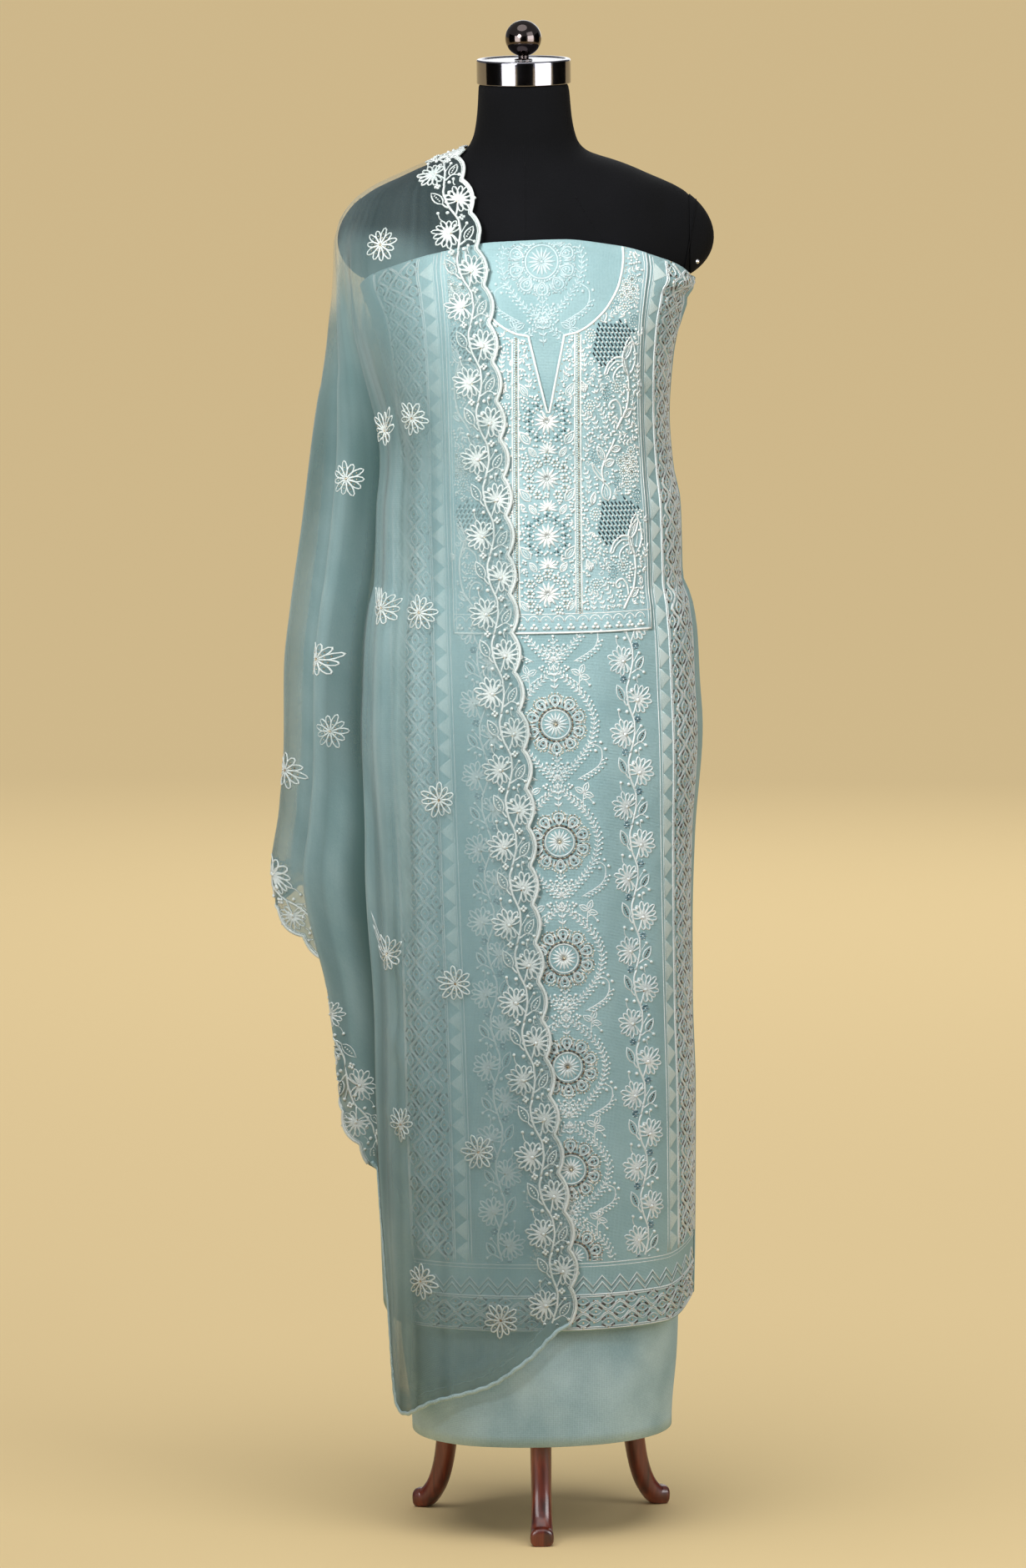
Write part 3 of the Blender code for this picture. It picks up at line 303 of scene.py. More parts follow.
def creases(*rows: tuple[float, ...], unit_depth: float = MM) -> list[Crease]:
    """Makes creases from rows of plain numbers.

    Args:
        rows: heading and height of the start, then of the end, then depth, and width in
            millimetres.
        unit_depth: what a depth of 1 stands for.

    Returns:
        The creases.
    """
    return [Crease((a, b), (c, d), depth * unit_depth, width * MM) for a, b, c, d, depth, width in rows]


GIRTH_RADIUS = 0.17  # turns a heading into a distance along the cloth, for creases


def crease_relief(heading: np.ndarray, height: np.ndarray, lines: list[Crease]) -> np.ndarray:
    """Returns how far all creases together lift the cloth at each point."""
    relief = np.zeros(np.broadcast(heading, height).shape)
    across = np.radians(heading) * GIRTH_RADIUS
    for crease in lines:
        start = np.array([math.radians(crease.start[0]) * GIRTH_RADIUS, crease.start[1]])
        end = np.array([math.radians(crease.end[0]) * GIRTH_RADIUS, crease.end[1]])
        way = end - start
        share = ((across - start[0]) * way[0] + (height - start[1]) * way[1]) / way.dot(way)
        near = np.clip(share, 0.0, 1.0)
        off = np.hypot(across - start[0] - near * way[0], height - start[1] - near * way[1])
        fade = np.sqrt(np.clip(4 * near * (1 - near), 0.0, 1.0))
        relief += crease.depth * fade * np.exp(-((off / crease.width) ** 2))
    return relief


# ---------------------------------------------------------------- finishes
class Slot(Enum):
    """The record's material slots."""

    JERSEY = "jersey"
    CHROME = "chrome"
    SMOKED_CHROME = "smoked_chrome"
    MAHOGANY = "mahogany"
    SALWAR = "salwar_cotton"
    KAMEEZ = "kameez_georgette"
    YOKE = "yoke_embroidery"
    DUPATTA = "dupatta_chiffon"


def linear(colour: str) -> tuple[float, float, float, float]:
    """Turns an sRGB hex colour such as '#8fb3b6' to linear RGBA."""
    parts = [int(colour[i : i + 2], 16) / 255 for i in (1, 3, 5)]
    made = [p / 12.92 if p <= 0.04045 else ((p + 0.055) / 1.055) ** 2.4 for p in parts]
    return (*made, 1.0)


def fill(tree: bpy.types.NodeTree, node: bpy.types.Node, inputs: dict) -> None:
    """Sets a node's inputs, by name or number, to constants or links them to other outputs."""
    for name, value in inputs.items():
        if isinstance(value, bpy.types.NodeSocket):
            tree.links.new(value, node.inputs[name])
        else:
            node.inputs[name].default_value = value


def add(
    tree: bpy.types.NodeTree, kind: str, output: str | int, inputs: dict | None = None,
    stops: tuple[tuple[float, str], ...] = (), **settings: str,
) -> bpy.types.NodeSocket:
    """Adds a node with its settings and links.

    Args:
        tree: the material's node tree.
        kind: the node's type, less the word ShaderNode before it.
        output: the name or number of the output to return.
        inputs: by input name or number, a constant or another node's output to link.
        stops: the (place, hex colour) pairs of a colour ramp.
        settings: the node's own properties.

    Returns:
        The output.
    """
    made = tree.nodes.new(f"ShaderNode{kind}")
    for name, value in settings.items():
        setattr(made, name, value)
    fill(tree, made, inputs or {})
    if stops:
        line = made.color_ramp
        while len(line.elements) < len(stops):
            line.elements.new(1.0)
        for element, (place, colour) in zip(line.elements, stops):
            element.position = place
            element.color = linear(colour)
    return made.outputs[output]


def fresh_material(name: str) -> tuple[bpy.types.Material, bpy.types.NodeTree]:
    """Returns a new material and its node tree."""
    made = bpy.data.materials.new(name)
    made.use_nodes = True
    return made, made.node_tree


def finished(made: bpy.types.Material, inputs: dict) -> bpy.types.Material:
    """Fills the inputs of a material's Principled shader and returns the material."""
    fill(made.node_tree, made.node_tree.nodes["Principled BSDF"], inputs)
    return made


def wave_scale(period: float) -> float:
    """Returns the Wave Texture scale whose bands repeat every so many metres."""
    return math.pi / 10 / period


@dataclass(frozen=True)
class Jersey:
    """Matt black cotton jersey stretched over a foam torso: dark, fuzzy, no gloss."""

    name: str = "black_jersey"
    colour: str = "#08080a"
    worn: str = "#0f0f12"
    wale: float = 1.6 * MM  # knit columns, drawn twice as coarse as the real ones to show
    course: float = 1.28 * MM

    def material(self) -> bpy.types.Material:
        """Returns the finish as a material."""
        made, tree = fresh_material(self.name)
        place = add(tree, "TexCoord", "Object")
        patch = add(tree, "TexNoise", "Fac", {"Vector": place, "Scale": 9.0, "Detail": 4.0})
        tones = (0.35, self.colour), (0.75, self.worn)
        wales = {"Vector": place, "Scale": wave_scale(self.wale)}
        courses = {"Vector": place, "Scale": wave_scale(self.course)}
        columns = add(tree, "TexWave", "Fac", wales)
        rows = add(tree, "TexWave", "Fac", courses, bands_direction="Z")
        knit = add(tree, "Math", 0, {0: columns, 1: rows}, operation="MULTIPLY")
        relief = {"Height": knit, "Strength": 0.25, "Distance": 0.4 * MM}
        return finished(made, {
            "Base Color": add(tree, "ValToRGB", "Color", {"Fac": patch}, tones),
            "Normal": add(tree, "Bump", "Normal", relief),
            "Roughness": 0.92, "Specular IOR Level": 0.10,
            "Sheen Weight": 0.02, "Sheen Roughness": 0.5,
        })


@dataclass(frozen=True)
class PolishedMetal:
    """Plated steel polished to a mirror, with faint rubbing marks in its gloss."""

    name: str
    colour: str
    roughness: float
    rubbed: float = 2.2  # how many times rougher the dullest marks are

    def material(self) -> bpy.types.Material:
        """Returns the finish as a material."""
        made, tree = fresh_material(self.name)
        place = add(tree, "TexCoord", "Object")
        smear = add(tree, "TexNoise", "Fac", {"Vector": place, "Scale": 60.0, "Detail": 3.0})
        span = {"Value": smear, "To Min": self.roughness, "To Max": self.roughness * self.rubbed}
        return finished(made, {
            "Base Color": linear(self.colour), "Metallic": 1.0,
            "Roughness": add(tree, "MapRange", "Result", span),
        })


@dataclass(frozen=True)
class VarnishedMahogany:
    """Straight-grained mahogany under a glossy red-brown varnish, paler and darker at random in its
    figure.
    """

    name: str = "varnished_mahogany"
    dark: str = "#3c0f06"
    middle: str = "#702410"
    light: str = "#96401e"
    grain: float = 5.0 * MM
    stretch: float = 0.12  # the grain runs up the wood, so its pattern is drawn out along Z

    def material(self) -> bpy.types.Material:
        """Returns the finish as a material."""
        made, tree = fresh_material(self.name)
        place = add(tree, "TexCoord", "Object")
        along = add(tree, "Mapping", 0, {"Vector": place, "Scale": (1.0, 1.0, self.stretch)})
        broad = {"Vector": along, "Scale": 1 / (2 * self.grain), "Detail": 6.0, "Distortion": 0.6}
        figure = add(tree, "TexNoise", "Fac", broad)
        pores = add(tree, "TexNoise", "Fac", {"Vector": along, "Scale": 8 / self.grain, "Detail": 2.0})
        tones = (0.30, self.dark), (0.50, self.middle), (0.72, self.light)
        relief = {"Height": pores, "Strength": 0.15, "Distance": 0.2 * MM}
        return finished(made, {
            "Base Color": add(tree, "ValToRGB", "Color", {"Fac": figure}, tones),
            "Normal": add(tree, "Bump", "Normal", relief),
            "Roughness": 0.38, "Coat Weight": 0.7, "Coat Roughness": 0.15,
        })


@dataclass(frozen=True)
class WovenCloth:
    """A plain-woven cloth whose threads follow its own UV map, laid out in metres.

    thread is the spacing drawn, coarser than the real one so that it shows; crinkle is the
    height of the crepe's grain. A sheer cloth reads two attributes of its mesh: cover, how
    much of what is behind it hides, and shade, which mixes in its darker tone: painted shade
    in its folds and gathers and towards its foot, partly the deeper tone of stacked layers.
    """

    name: str
    colour: str
    shade: str
    thread: float = 1.2 * MM
    crinkle: float = 0.5 * MM
    roughness: float = 0.8
    sheen: float = 0.15
    pile_and_shade_tone: str | None = None  # given for a sheer cloth only: the darker tone of its painted shade and stacked layers
    clouds: tuple[float, float] = (0.48, 0.88)  # the span over which the two tones mix

    def material(self) -> bpy.types.Material:
        """Returns the finish as a material."""
        made, tree = fresh_material(self.name)
        flat = add(tree, "UVMap", "UV", uv_map="cloth")
        threads = {"Vector": flat, "Scale": wave_scale(self.thread), "Distortion": 0.4}
        warp = add(tree, "TexWave", "Fac", threads)
        weft = add(tree, "TexWave", "Fac", threads, bands_direction="Y")
        weave = add(tree, "Math", 0, {0: warp, 1: weft}, operation="ADD")
        grain = add(tree, "TexNoise", "Fac", {"Vector": flat, "Scale": 420.0, "Detail": 3.0})
        crepe = add(tree, "Math", 0, {0: grain, 1: 1.6, 2: weave}, operation="MULTIPLY_ADD")
        cloud = add(tree, "TexNoise", "Fac", {"Vector": flat, "Scale": 14.0, "Detail": 5.0})
        slub = add(tree, "Math", 0, {0: grain, 1: 0.35, 2: cloud}, operation="MULTIPLY_ADD")
        tones = (self.clouds[0], self.shade), (self.clouds[1], self.colour)
        colour = add(tree, "ValToRGB", "Color", {"Fac": slub}, tones)
        relief = {"Height": crepe, "Strength": 0.5, "Distance": self.crinkle}
        sheer = {}
        if self.pile_and_shade_tone:
            sheer["Alpha"] = add(tree, "Attribute", "Fac", attribute_name="cover")
            # painted shade: the shade attribute darkens the cloth towards its darker tone in folds,
            # gathers and towards the foot, partly for stacked layers
            shade = add(tree, "Attribute", "Fac", attribute_name="shade")
            mixed = {0: shade, 6: colour, 7: linear(self.pile_and_shade_tone)}
            colour = add(tree, "Mix", 2, mixed, data_type="RGBA")
        return finished(made, sheer | {
            "Base Color": colour, "Normal": add(tree, "Bump", "Normal", relief),
            "Roughness": self.roughness, "Specular IOR Level": 0.3,
            "Sheen Weight": self.sheen, "Sheen Roughness": 0.4,
        })


@dataclass(frozen=True)
class Thread:
    """Twisted rayon floss with a soft lustre, laid in raised stitches."""

    name: str
    colour: str
    shade: str

    def material(self) -> bpy.types.Material:
        """Returns the finish as a material."""
        made, tree = fresh_material(self.name)
        place = add(tree, "TexCoord", "Object")
        strand = add(tree, "TexNoise", "Fac", {"Vector": place, "Scale": 900.0, "Detail": 2.0})
        batch = add(tree, "TexNoise", "Fac", {"Vector": place, "Scale": 25.0, "Detail": 2.0})
        both = add(tree, "Math", 0, {0: strand, 1: batch}, operation="ADD")
        tones = (0.80, self.shade), (1.05, self.colour)
        relief = {"Height": strand, "Strength": 0.4, "Distance": 0.4 * MM}
        return finished(made, {
            "Base Color": add(tree, "ValToRGB", "Color", {"Fac": both}, tones),
            "Normal": add(tree, "Bump", "Normal", relief),
            "Roughness": 0.55, "Sheen Weight": 0.25,
        })


@dataclass(frozen=True)
class BeadGloss:
    """Small drilled beads: antique plated brass, or glass and foil sequins."""

    name: str
    colour: str
    shade: str
    metallic: float
    roughness: float

    def material(self) -> bpy.types.Material:
        """Returns the finish as a material."""
        made, tree = fresh_material(self.name)
        place = add(tree, "TexCoord", "Object")
        each = add(tree, "TexVoronoi", "Color", {"Vector": place, "Scale": 350.0})
        tone = add(tree, "SeparateColor", 0, {"Color": each})
        tones = (0.15, self.shade), (0.8, self.colour)
        return finished(made, {
            "Base Color": add(tree, "ValToRGB", "Color", {"Fac": tone}, tones),
            "Metallic": self.metallic, "Roughness": self.roughness,
        })


@dataclass(frozen=True)
class StudioPaint:
    """Matt paint of one tone on what stands round the part; it may glow a little."""

    name: str
    colour: str
    roughness: float = 1.0
    specular: float = 0.5
    glow: str = "#000000"
    strength: float = 0.0

    def material(self) -> bpy.types.Material:
        """Returns the finish as a material."""
        return finished(fresh_material(self.name)[0], {
            "Base Color": linear(self.colour), "Roughness": self.roughness,
            "Specular IOR Level": self.specular,
            "Emission Color": linear(self.glow), "Emission Strength": self.strength,
        })


# ---------------------------------------------------------------- making pieces
def linked(name: str, data: bpy.types.ID) -> bpy.types.Object:
    """Puts data into the scene as an object at the origin."""
    made = bpy.data.objects.new(name, data)
    bpy.context.scene.collection.objects.link(made)
    return made


def finish_piece(
    mesh: bpy.types.Mesh, material: bpy.types.Material, slot: Slot, *nodes: str
) -> bpy.types.Object:
    """Turns a mesh into a piece of the part.

    Args:
        mesh: the finished mesh, in the frame; the piece takes its name.
        material: its finish.
        slot: the record's slot that the finish belongs to; not used.
        nodes: the CAD nodes that the piece stands for.

    Returns:
        The piece, riding on the part's one body.
    """
    made = linked(mesh.name, mesh)
    mesh.materials.clear()
    mesh.materials.append(material)
    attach(made, BODY)
    if nodes:
        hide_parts(*nodes)
    log.info("%s: %d faces", made.name, len(mesh.polygons))
    return made


def mesh_of(bm: bmesh.types.BMesh, name: str) -> bpy.types.Mesh:
    """Turns a bmesh into smooth mesh data and frees it."""
    mesh = bpy.data.meshes.new(name)
    bm.to_mesh(mesh)
    bm.free()
    mesh.shade_smooth()
    return mesh


def face_outwards(bm: bmesh.types.BMesh) -> None:
    """Merges an open sheet's doubles and turns most of its faces away from the form's axis."""
    bmesh.ops.remove_doubles(bm, verts=bm.verts, dist=0.02 * MM)
    bmesh.ops.recalc_face_normals(bm, faces=bm.faces)
    outward = 0.0
    for face in bm.faces:
        away = face.calc_center_median() - Vector(AXIS)
        away.z = 0.0
        outward += face.normal.dot(away) * face.calc_area()
    if outward < 0:
        bmesh.ops.reverse_faces(bm, faces=bm.faces)


def close_up(bm: bmesh.types.BMesh, gap: float) -> None:
    """Merges a tube's doubles within a gap, closes its open ends and turns it outwards."""
    bmesh.ops.remove_doubles(bm, verts=bm.verts, dist=gap)
    rims = [edge for edge in bm.edges if edge.is_boundary]
    bmesh.ops.holes_fill(bm, edges=rims, sides=0)
    bmesh.ops.recalc_face_normals(bm, faces=bm.faces)


Place = Callable[[np.ndarray, np.ndarray], tuple[np.ndarray, np.ndarray]]


def laid_sheet(columns: int, rows: int, place: Place) -> bmesh.types.BMesh:
    """Lays an even grid of faces on a surface.

    Args:
        columns: faces across.
        rows: faces up.
        place: gives, for shares across and up from 0 to 1, the points in the frame and the
            same points on the flat cloth in metres.

    Returns:
        The sheet with the flat points in its UV map.
    """
    bm = bmesh.new()
    bmesh.ops.create_grid(bm, x_segments=columns, y_segments=rows, size=0.5)
    shares = np.array([vert.co[:2] for vert in bm.verts]) + 0.5
    places, flat = place(shares[:, 0], shares[:, 1])
    layer = bm.loops.layers.uv.new("cloth")
    for vert, point in zip(bm.verts, places.tolist()):
        vert.co = point
    flat = flat.tolist()
    for face in bm.faces:
        for loop in face.loops:
            loop[layer].uv = flat[loop.vert.index]
    bm.normal_update()
    return bm


def thicken(piece: bpy.types.Object, thickness: float, offset: float = -1.0) -> None:
    """Gives a sheet its wall: offset -1 grows it inwards from its points, 0 both ways."""
    wall = piece.modifiers.new("Wall", "SOLIDIFY")
    wall.thickness = thickness
    wall.offset = offset


def baked_mesh(draft: bpy.types.Object, name: str) -> bpy.types.Mesh:
    """Returns an object's mesh with its modifiers applied, and removes the object."""
    bpy.context.view_layer.update()
    graph = bpy.context.evaluated_depsgraph_get()
    mesh = bpy.data.meshes.new_from_object(draft.evaluated_get(graph))
    mesh.name = name
    mesh.shade_smooth()
    bpy.data.objects.remove(draft)
    return mesh


def turned(name: str, profile: list[tuple[float, float]], steps: int) -> bpy.types.Mesh:
    """Spins a profile of (radius, height) pairs round the form's axis, from top to bottom."""
    bm = bmesh.new()
    line = [bm.verts.new(from_axis(radius, 0.0, height)) for radius, height in profile]
    edges = [bm.edges.new(pair) for pair in zip(line, line[1:])]
    bmesh.ops.spin(
        bm, geom=line + edges, cent=Vector(AXIS), axis=(0.0, 0.0, 1.0), angle=2 * math.pi,
        steps=steps, use_merge=True,
    )
    bmesh.ops.remove_doubles(bm, verts=bm.verts, dist=0.01 * MM)
    bmesh.ops.recalc_face_normals(bm, faces=bm.faces)
    mesh = mesh_of(bm, name)
    mesh.set_sharp_from_angle(angle=math.radians(50.0))
    return mesh


def rounded(profile: list[tuple[float, float, float]], steps: int = 5) -> list[tuple[float, float]]:
    """Rounds the corners of a profile.

    Args:
        profile: (radius from the axis, height, corner radius) rows.
        steps: points in each rounded corner.

    Returns:
        The profile's (radius, height) points.
    """
    made = []
    for index, (across, height, corner) in enumerate(profile):
        here = Vector((across, height))
        if corner <= 0 or index in (0, len(profile) - 1):
            made.append(tuple(here))
            continue
        before = (Vector(profile[index - 1][:2]) - here).normalized() * corner
        after = (Vector(profile[index + 1][:2]) - here).normalized() * corner
        for step in range(steps + 1):
            share = step / steps
            made.append(tuple(here + before * (1 - share) ** 2 + after * share**2))
    return made


# ---------------------------------------------------------------- the studio
@dataclass(frozen=True)
class Panel:
    """A panel that stands round the part and faces it, as a soft light or a black flag."""

    azimuth: float  # degrees from the front, + to the wearer's left
    distance: float
    height: float
    width: float
    tall: float
    radiance: float = 0.0


LAMP_TINT = (0.97, 0.99, 1.0)  # a little cooler than white


@dataclass
class Studio:
    """The pale warm floor, the lights with what shades them, and the camera."""

    camera_place: tuple[float, float, float] = (0.0200, -12.0230, 2.4760)
    camera_tilt: float = 81.97
    camera_roll: float = -0.72
    lens: float = 265.75
    floor_side: float = 400.0
    key: Panel = Panel(-26.0, 2.1, 2.2, 0.7, 0.7)
    key_watts: float = 232.0
    cone: float = 47.0  # whole angle of the key's beam, which fades towards the hem
    boxes: tuple[Panel, ...] = (
        Panel(48.0, 3.0, 2.5, 2.2, 2.4, 1.7), Panel(172.0, 5.0, 2.4, 3.0, 2.4, 1.2),
    )
    flags: tuple[Panel, ...] = (
        Panel(3.0, 5.0, 1.5, 3.6, 3.0), Panel(-80.0, 4.5, 1.5, 4.2, 3.0),
        Panel(100.0, 4.5, 1.5, 4.2, 3.0),
    )
    strips: tuple[Panel, ...] = (
        Panel(-38.0, 3.0, 1.5, 1.8, 1.8, 5.0), Panel(49.0, 3.0, 1.5, 2.3, 1.8, 5.0),
    )
    aim: float = 1.25
    mat: tuple[float, float, float] = (9.0, 8.0, -4.55)  # width, depth, middle along Y
    mat_rise: float = 1.0 * MM
    mat_wall: float = 0.5 * MM
    sun: float = 1.7
    sun_width: float = 50.0
    sun_turn: tuple[float, float] = (14.0, -6.0)
    sky: float = 0.24
    sky_tone: str = "#eef0f2"

    def build(self) -> None:
        """Makes everything round the part."""
        self.add_camera()
        ground = [self.add_floor(), self.add_mat()]
        key = self.lamp(
            "key", "SPOT", self.key_watts, shadow_soft_size=self.key.width / 2,
            spot_size=math.radians(self.cone), spot_blend=1.0, color=LAMP_TINT,
        )
        key.matrix_world = self.stand(self.key)
        self.receive(key, ground, "EXCLUDE")
        for name, share, state in (("sun_part", 0.5, "EXCLUDE"), ("sun_floor", 1.0, "INCLUDE")):
            sun = self.lamp(name, "SUN", self.sun * share, angle=math.radians(self.sun_width))
            sun.rotation_euler = (*map(math.radians, self.sun_turn), 0.0)
            self.receive(sun, ground, state)
        for number, box in enumerate(self.boxes):
            self.add_soft(f"soft_{number}", box)
        for number, box in enumerate(self.strips):
            strip = self.add_soft(f"strip_{number}", box)
            self.hide(strip, "camera", "diffuse", "transmission")
            self.receive(strip, ground, "EXCLUDE")
        for number, box in enumerate(self.flags):
            self.add_flag(f"flag_{number}", box)
        self.add_sky()

    def add_camera(self) -> None:
        """Adds the camera, at the suit's usual viewing angle."""
        data = bpy.data.cameras.new("view")
        data.lens = self.lens
        data.sensor_width = 36.0
        data.clip_end = 600.0
        camera = linked("view", data)
        camera.location = self.camera_place
        tilt = Matrix.Rotation(math.radians(self.camera_tilt), 3, "X")
        roll = Matrix.Rotation(math.radians(self.camera_roll), 3, "Z")
        camera.rotation_euler = (tilt @ roll).to_euler()
        bpy.context.scene.camera = camera

    def lamp(
        self, name: str, kind: str, energy: float, **settings: float | str | tuple
    ) -> bpy.types.Object:
        """Adds a light at the origin.

        Args:
            name: its name.
            kind: its type.
            energy: its strength.
            settings: the light's other properties.

        Returns:
            The light.
        """
        data = bpy.data.lights.new(name, kind)
        data.energy = energy
        for key, value in settings.items():
            setattr(data, key, value)
        return linked(name, data)

    def stand(self, box: Panel) -> Matrix:
        """Returns the matrix of a panel that faces the part."""
        turn = math.radians(box.azimuth)
        place = from_axis(
            math.sin(turn) * box.distance, -math.cos(turn) * box.distance, box.height
        )
        aim = from_axis(0.0, 0.0, self.aim) - place
        return Matrix.Translation(place) @ aim.to_track_quat("-Z", "Y").to_matrix().to_4x4()

    def add_soft(self, name: str, box: Panel) -> bpy.types.Object:
        """Adds a rectangular soft light of an even radiance and returns it."""
        light = self.lamp(
            name, "AREA", box.radiance * math.pi * box.width * box.tall, shape="RECTANGLE",
            size=box.width, size_y=box.tall, color=LAMP_TINT,
        )
        light.matrix_world = self.stand(box)
        return light

    def receive(self, light: bpy.types.Object, ground: list[bpy.types.Object], state: str) -> None:
        """Keeps a light off the ground, or on the ground alone, so that the floor stays even.

        Args:
            light: the light.
            ground: the floor and what lies on it.
            state: "EXCLUDE" or "INCLUDE".
        """
        lit = bpy.data.collections.new(f"{light.name}_ground")
        for thing in ground:
            lit.objects.link(thing)
        for entry in lit.collection_objects:
            entry.light_linking.link_state = state
        light.light_linking.receiver_collection = lit

    def hide(self, thing: bpy.types.Object, *rays: str) -> None:
        """Hides an object from kinds of rays."""
        for ray in rays:
            setattr(thing, f"visible_{ray}", False)

    def staged(
        self, name: str, bm: bmesh.types.BMesh, *paints: StudioPaint
    ) -> bpy.types.Object:
        """Turns a bmesh into a painted object that is no piece of the part, and returns it."""
        made = linked(name, mesh_of(bm, name))
        for paint in paints:
            made.data.materials.append(paint.material())
        return made

    def add_floor(self) -> bpy.types.Object:
        """Adds a floor so large that its edge is out of sight, and returns it."""
        bm = bmesh.new()
        bmesh.ops.create_grid(bm, x_segments=4, y_segments=4, size=self.floor_side / 2)
        return self.staged("floor", bm, StudioPaint("studio_floor", "#efd49f", 0.95, 0.1))

    def add_flag(self, name: str, box: Panel) -> None:
        """Adds a black panel that only reflections see, which gives chrome its dark bands."""
        bm = bmesh.new()
        bmesh.ops.create_grid(bm, x_segments=1, y_segments=1, size=0.5)
        bmesh.ops.scale(bm, vec=(box.width, box.tall, 1.0), verts=bm.verts)
        bmesh.ops.transform(bm, matrix=self.stand(box), verts=bm.verts)
        flag = self.staged(name, bm, StudioPaint(name, "#0d0d0d"))
        self.hide(flag, "camera", "diffuse", "shadow")

    def add_mat(self) -> bpy.types.Object:
        """Adds a grey mat before the part that only takes the warm glow off the floor.

        Its underside glows like the sky that it hides, so the floor below stays even.

        Returns:
            The mat.
        """
        width, depth, middle = self.mat
        bm = bmesh.new()
        bmesh.ops.create_grid(bm, x_segments=1, y_segments=1, size=0.5)
        under = bmesh.ops.duplicate(bm, geom=bm.faces[:])["geom"]
        lower = [piece for piece in under if isinstance(piece, bmesh.types.BMVert)]
        bmesh.ops.translate(bm, vec=(0.0, 0.0, -self.mat_wall), verts=lower)
        for face in [piece for piece in under if isinstance(piece, bmesh.types.BMFace)]:
            face.material_index = 1
            face.normal_flip()
        bmesh.ops.scale(bm, vec=(width, depth, 1.0), verts=bm.verts)
        bmesh.ops.translate(bm, vec=(0.0, middle, self.mat_rise), verts=bm.verts)
        underside = StudioPaint("mat_underside", "#000000", 0.5, 0.5, self.sky_tone, self.sky)
        mat = self.staged("mat", bm, StudioPaint("mat_grey", "#4f5d66"), underside)
        mat.data.materials[1].cycles.emission_sampling = "NONE"
        self.hide(mat, "camera", "glossy", "shadow")
        return mat

    def add_sky(self) -> None:
        """Adds an even pale sky."""
        scene = bpy.context.scene
        scene.world = bpy.data.worlds.new("sky")
        scene.world.use_nodes = True
        tree = scene.world.node_tree
        tones = {"Color": linear(self.sky_tone), "Strength": self.sky}
        fill(tree, tree.nodes["Background"], tones)
        scene.view_settings.view_transform = "Standard"
        scene.cycles.transparent_max_bounces = 48


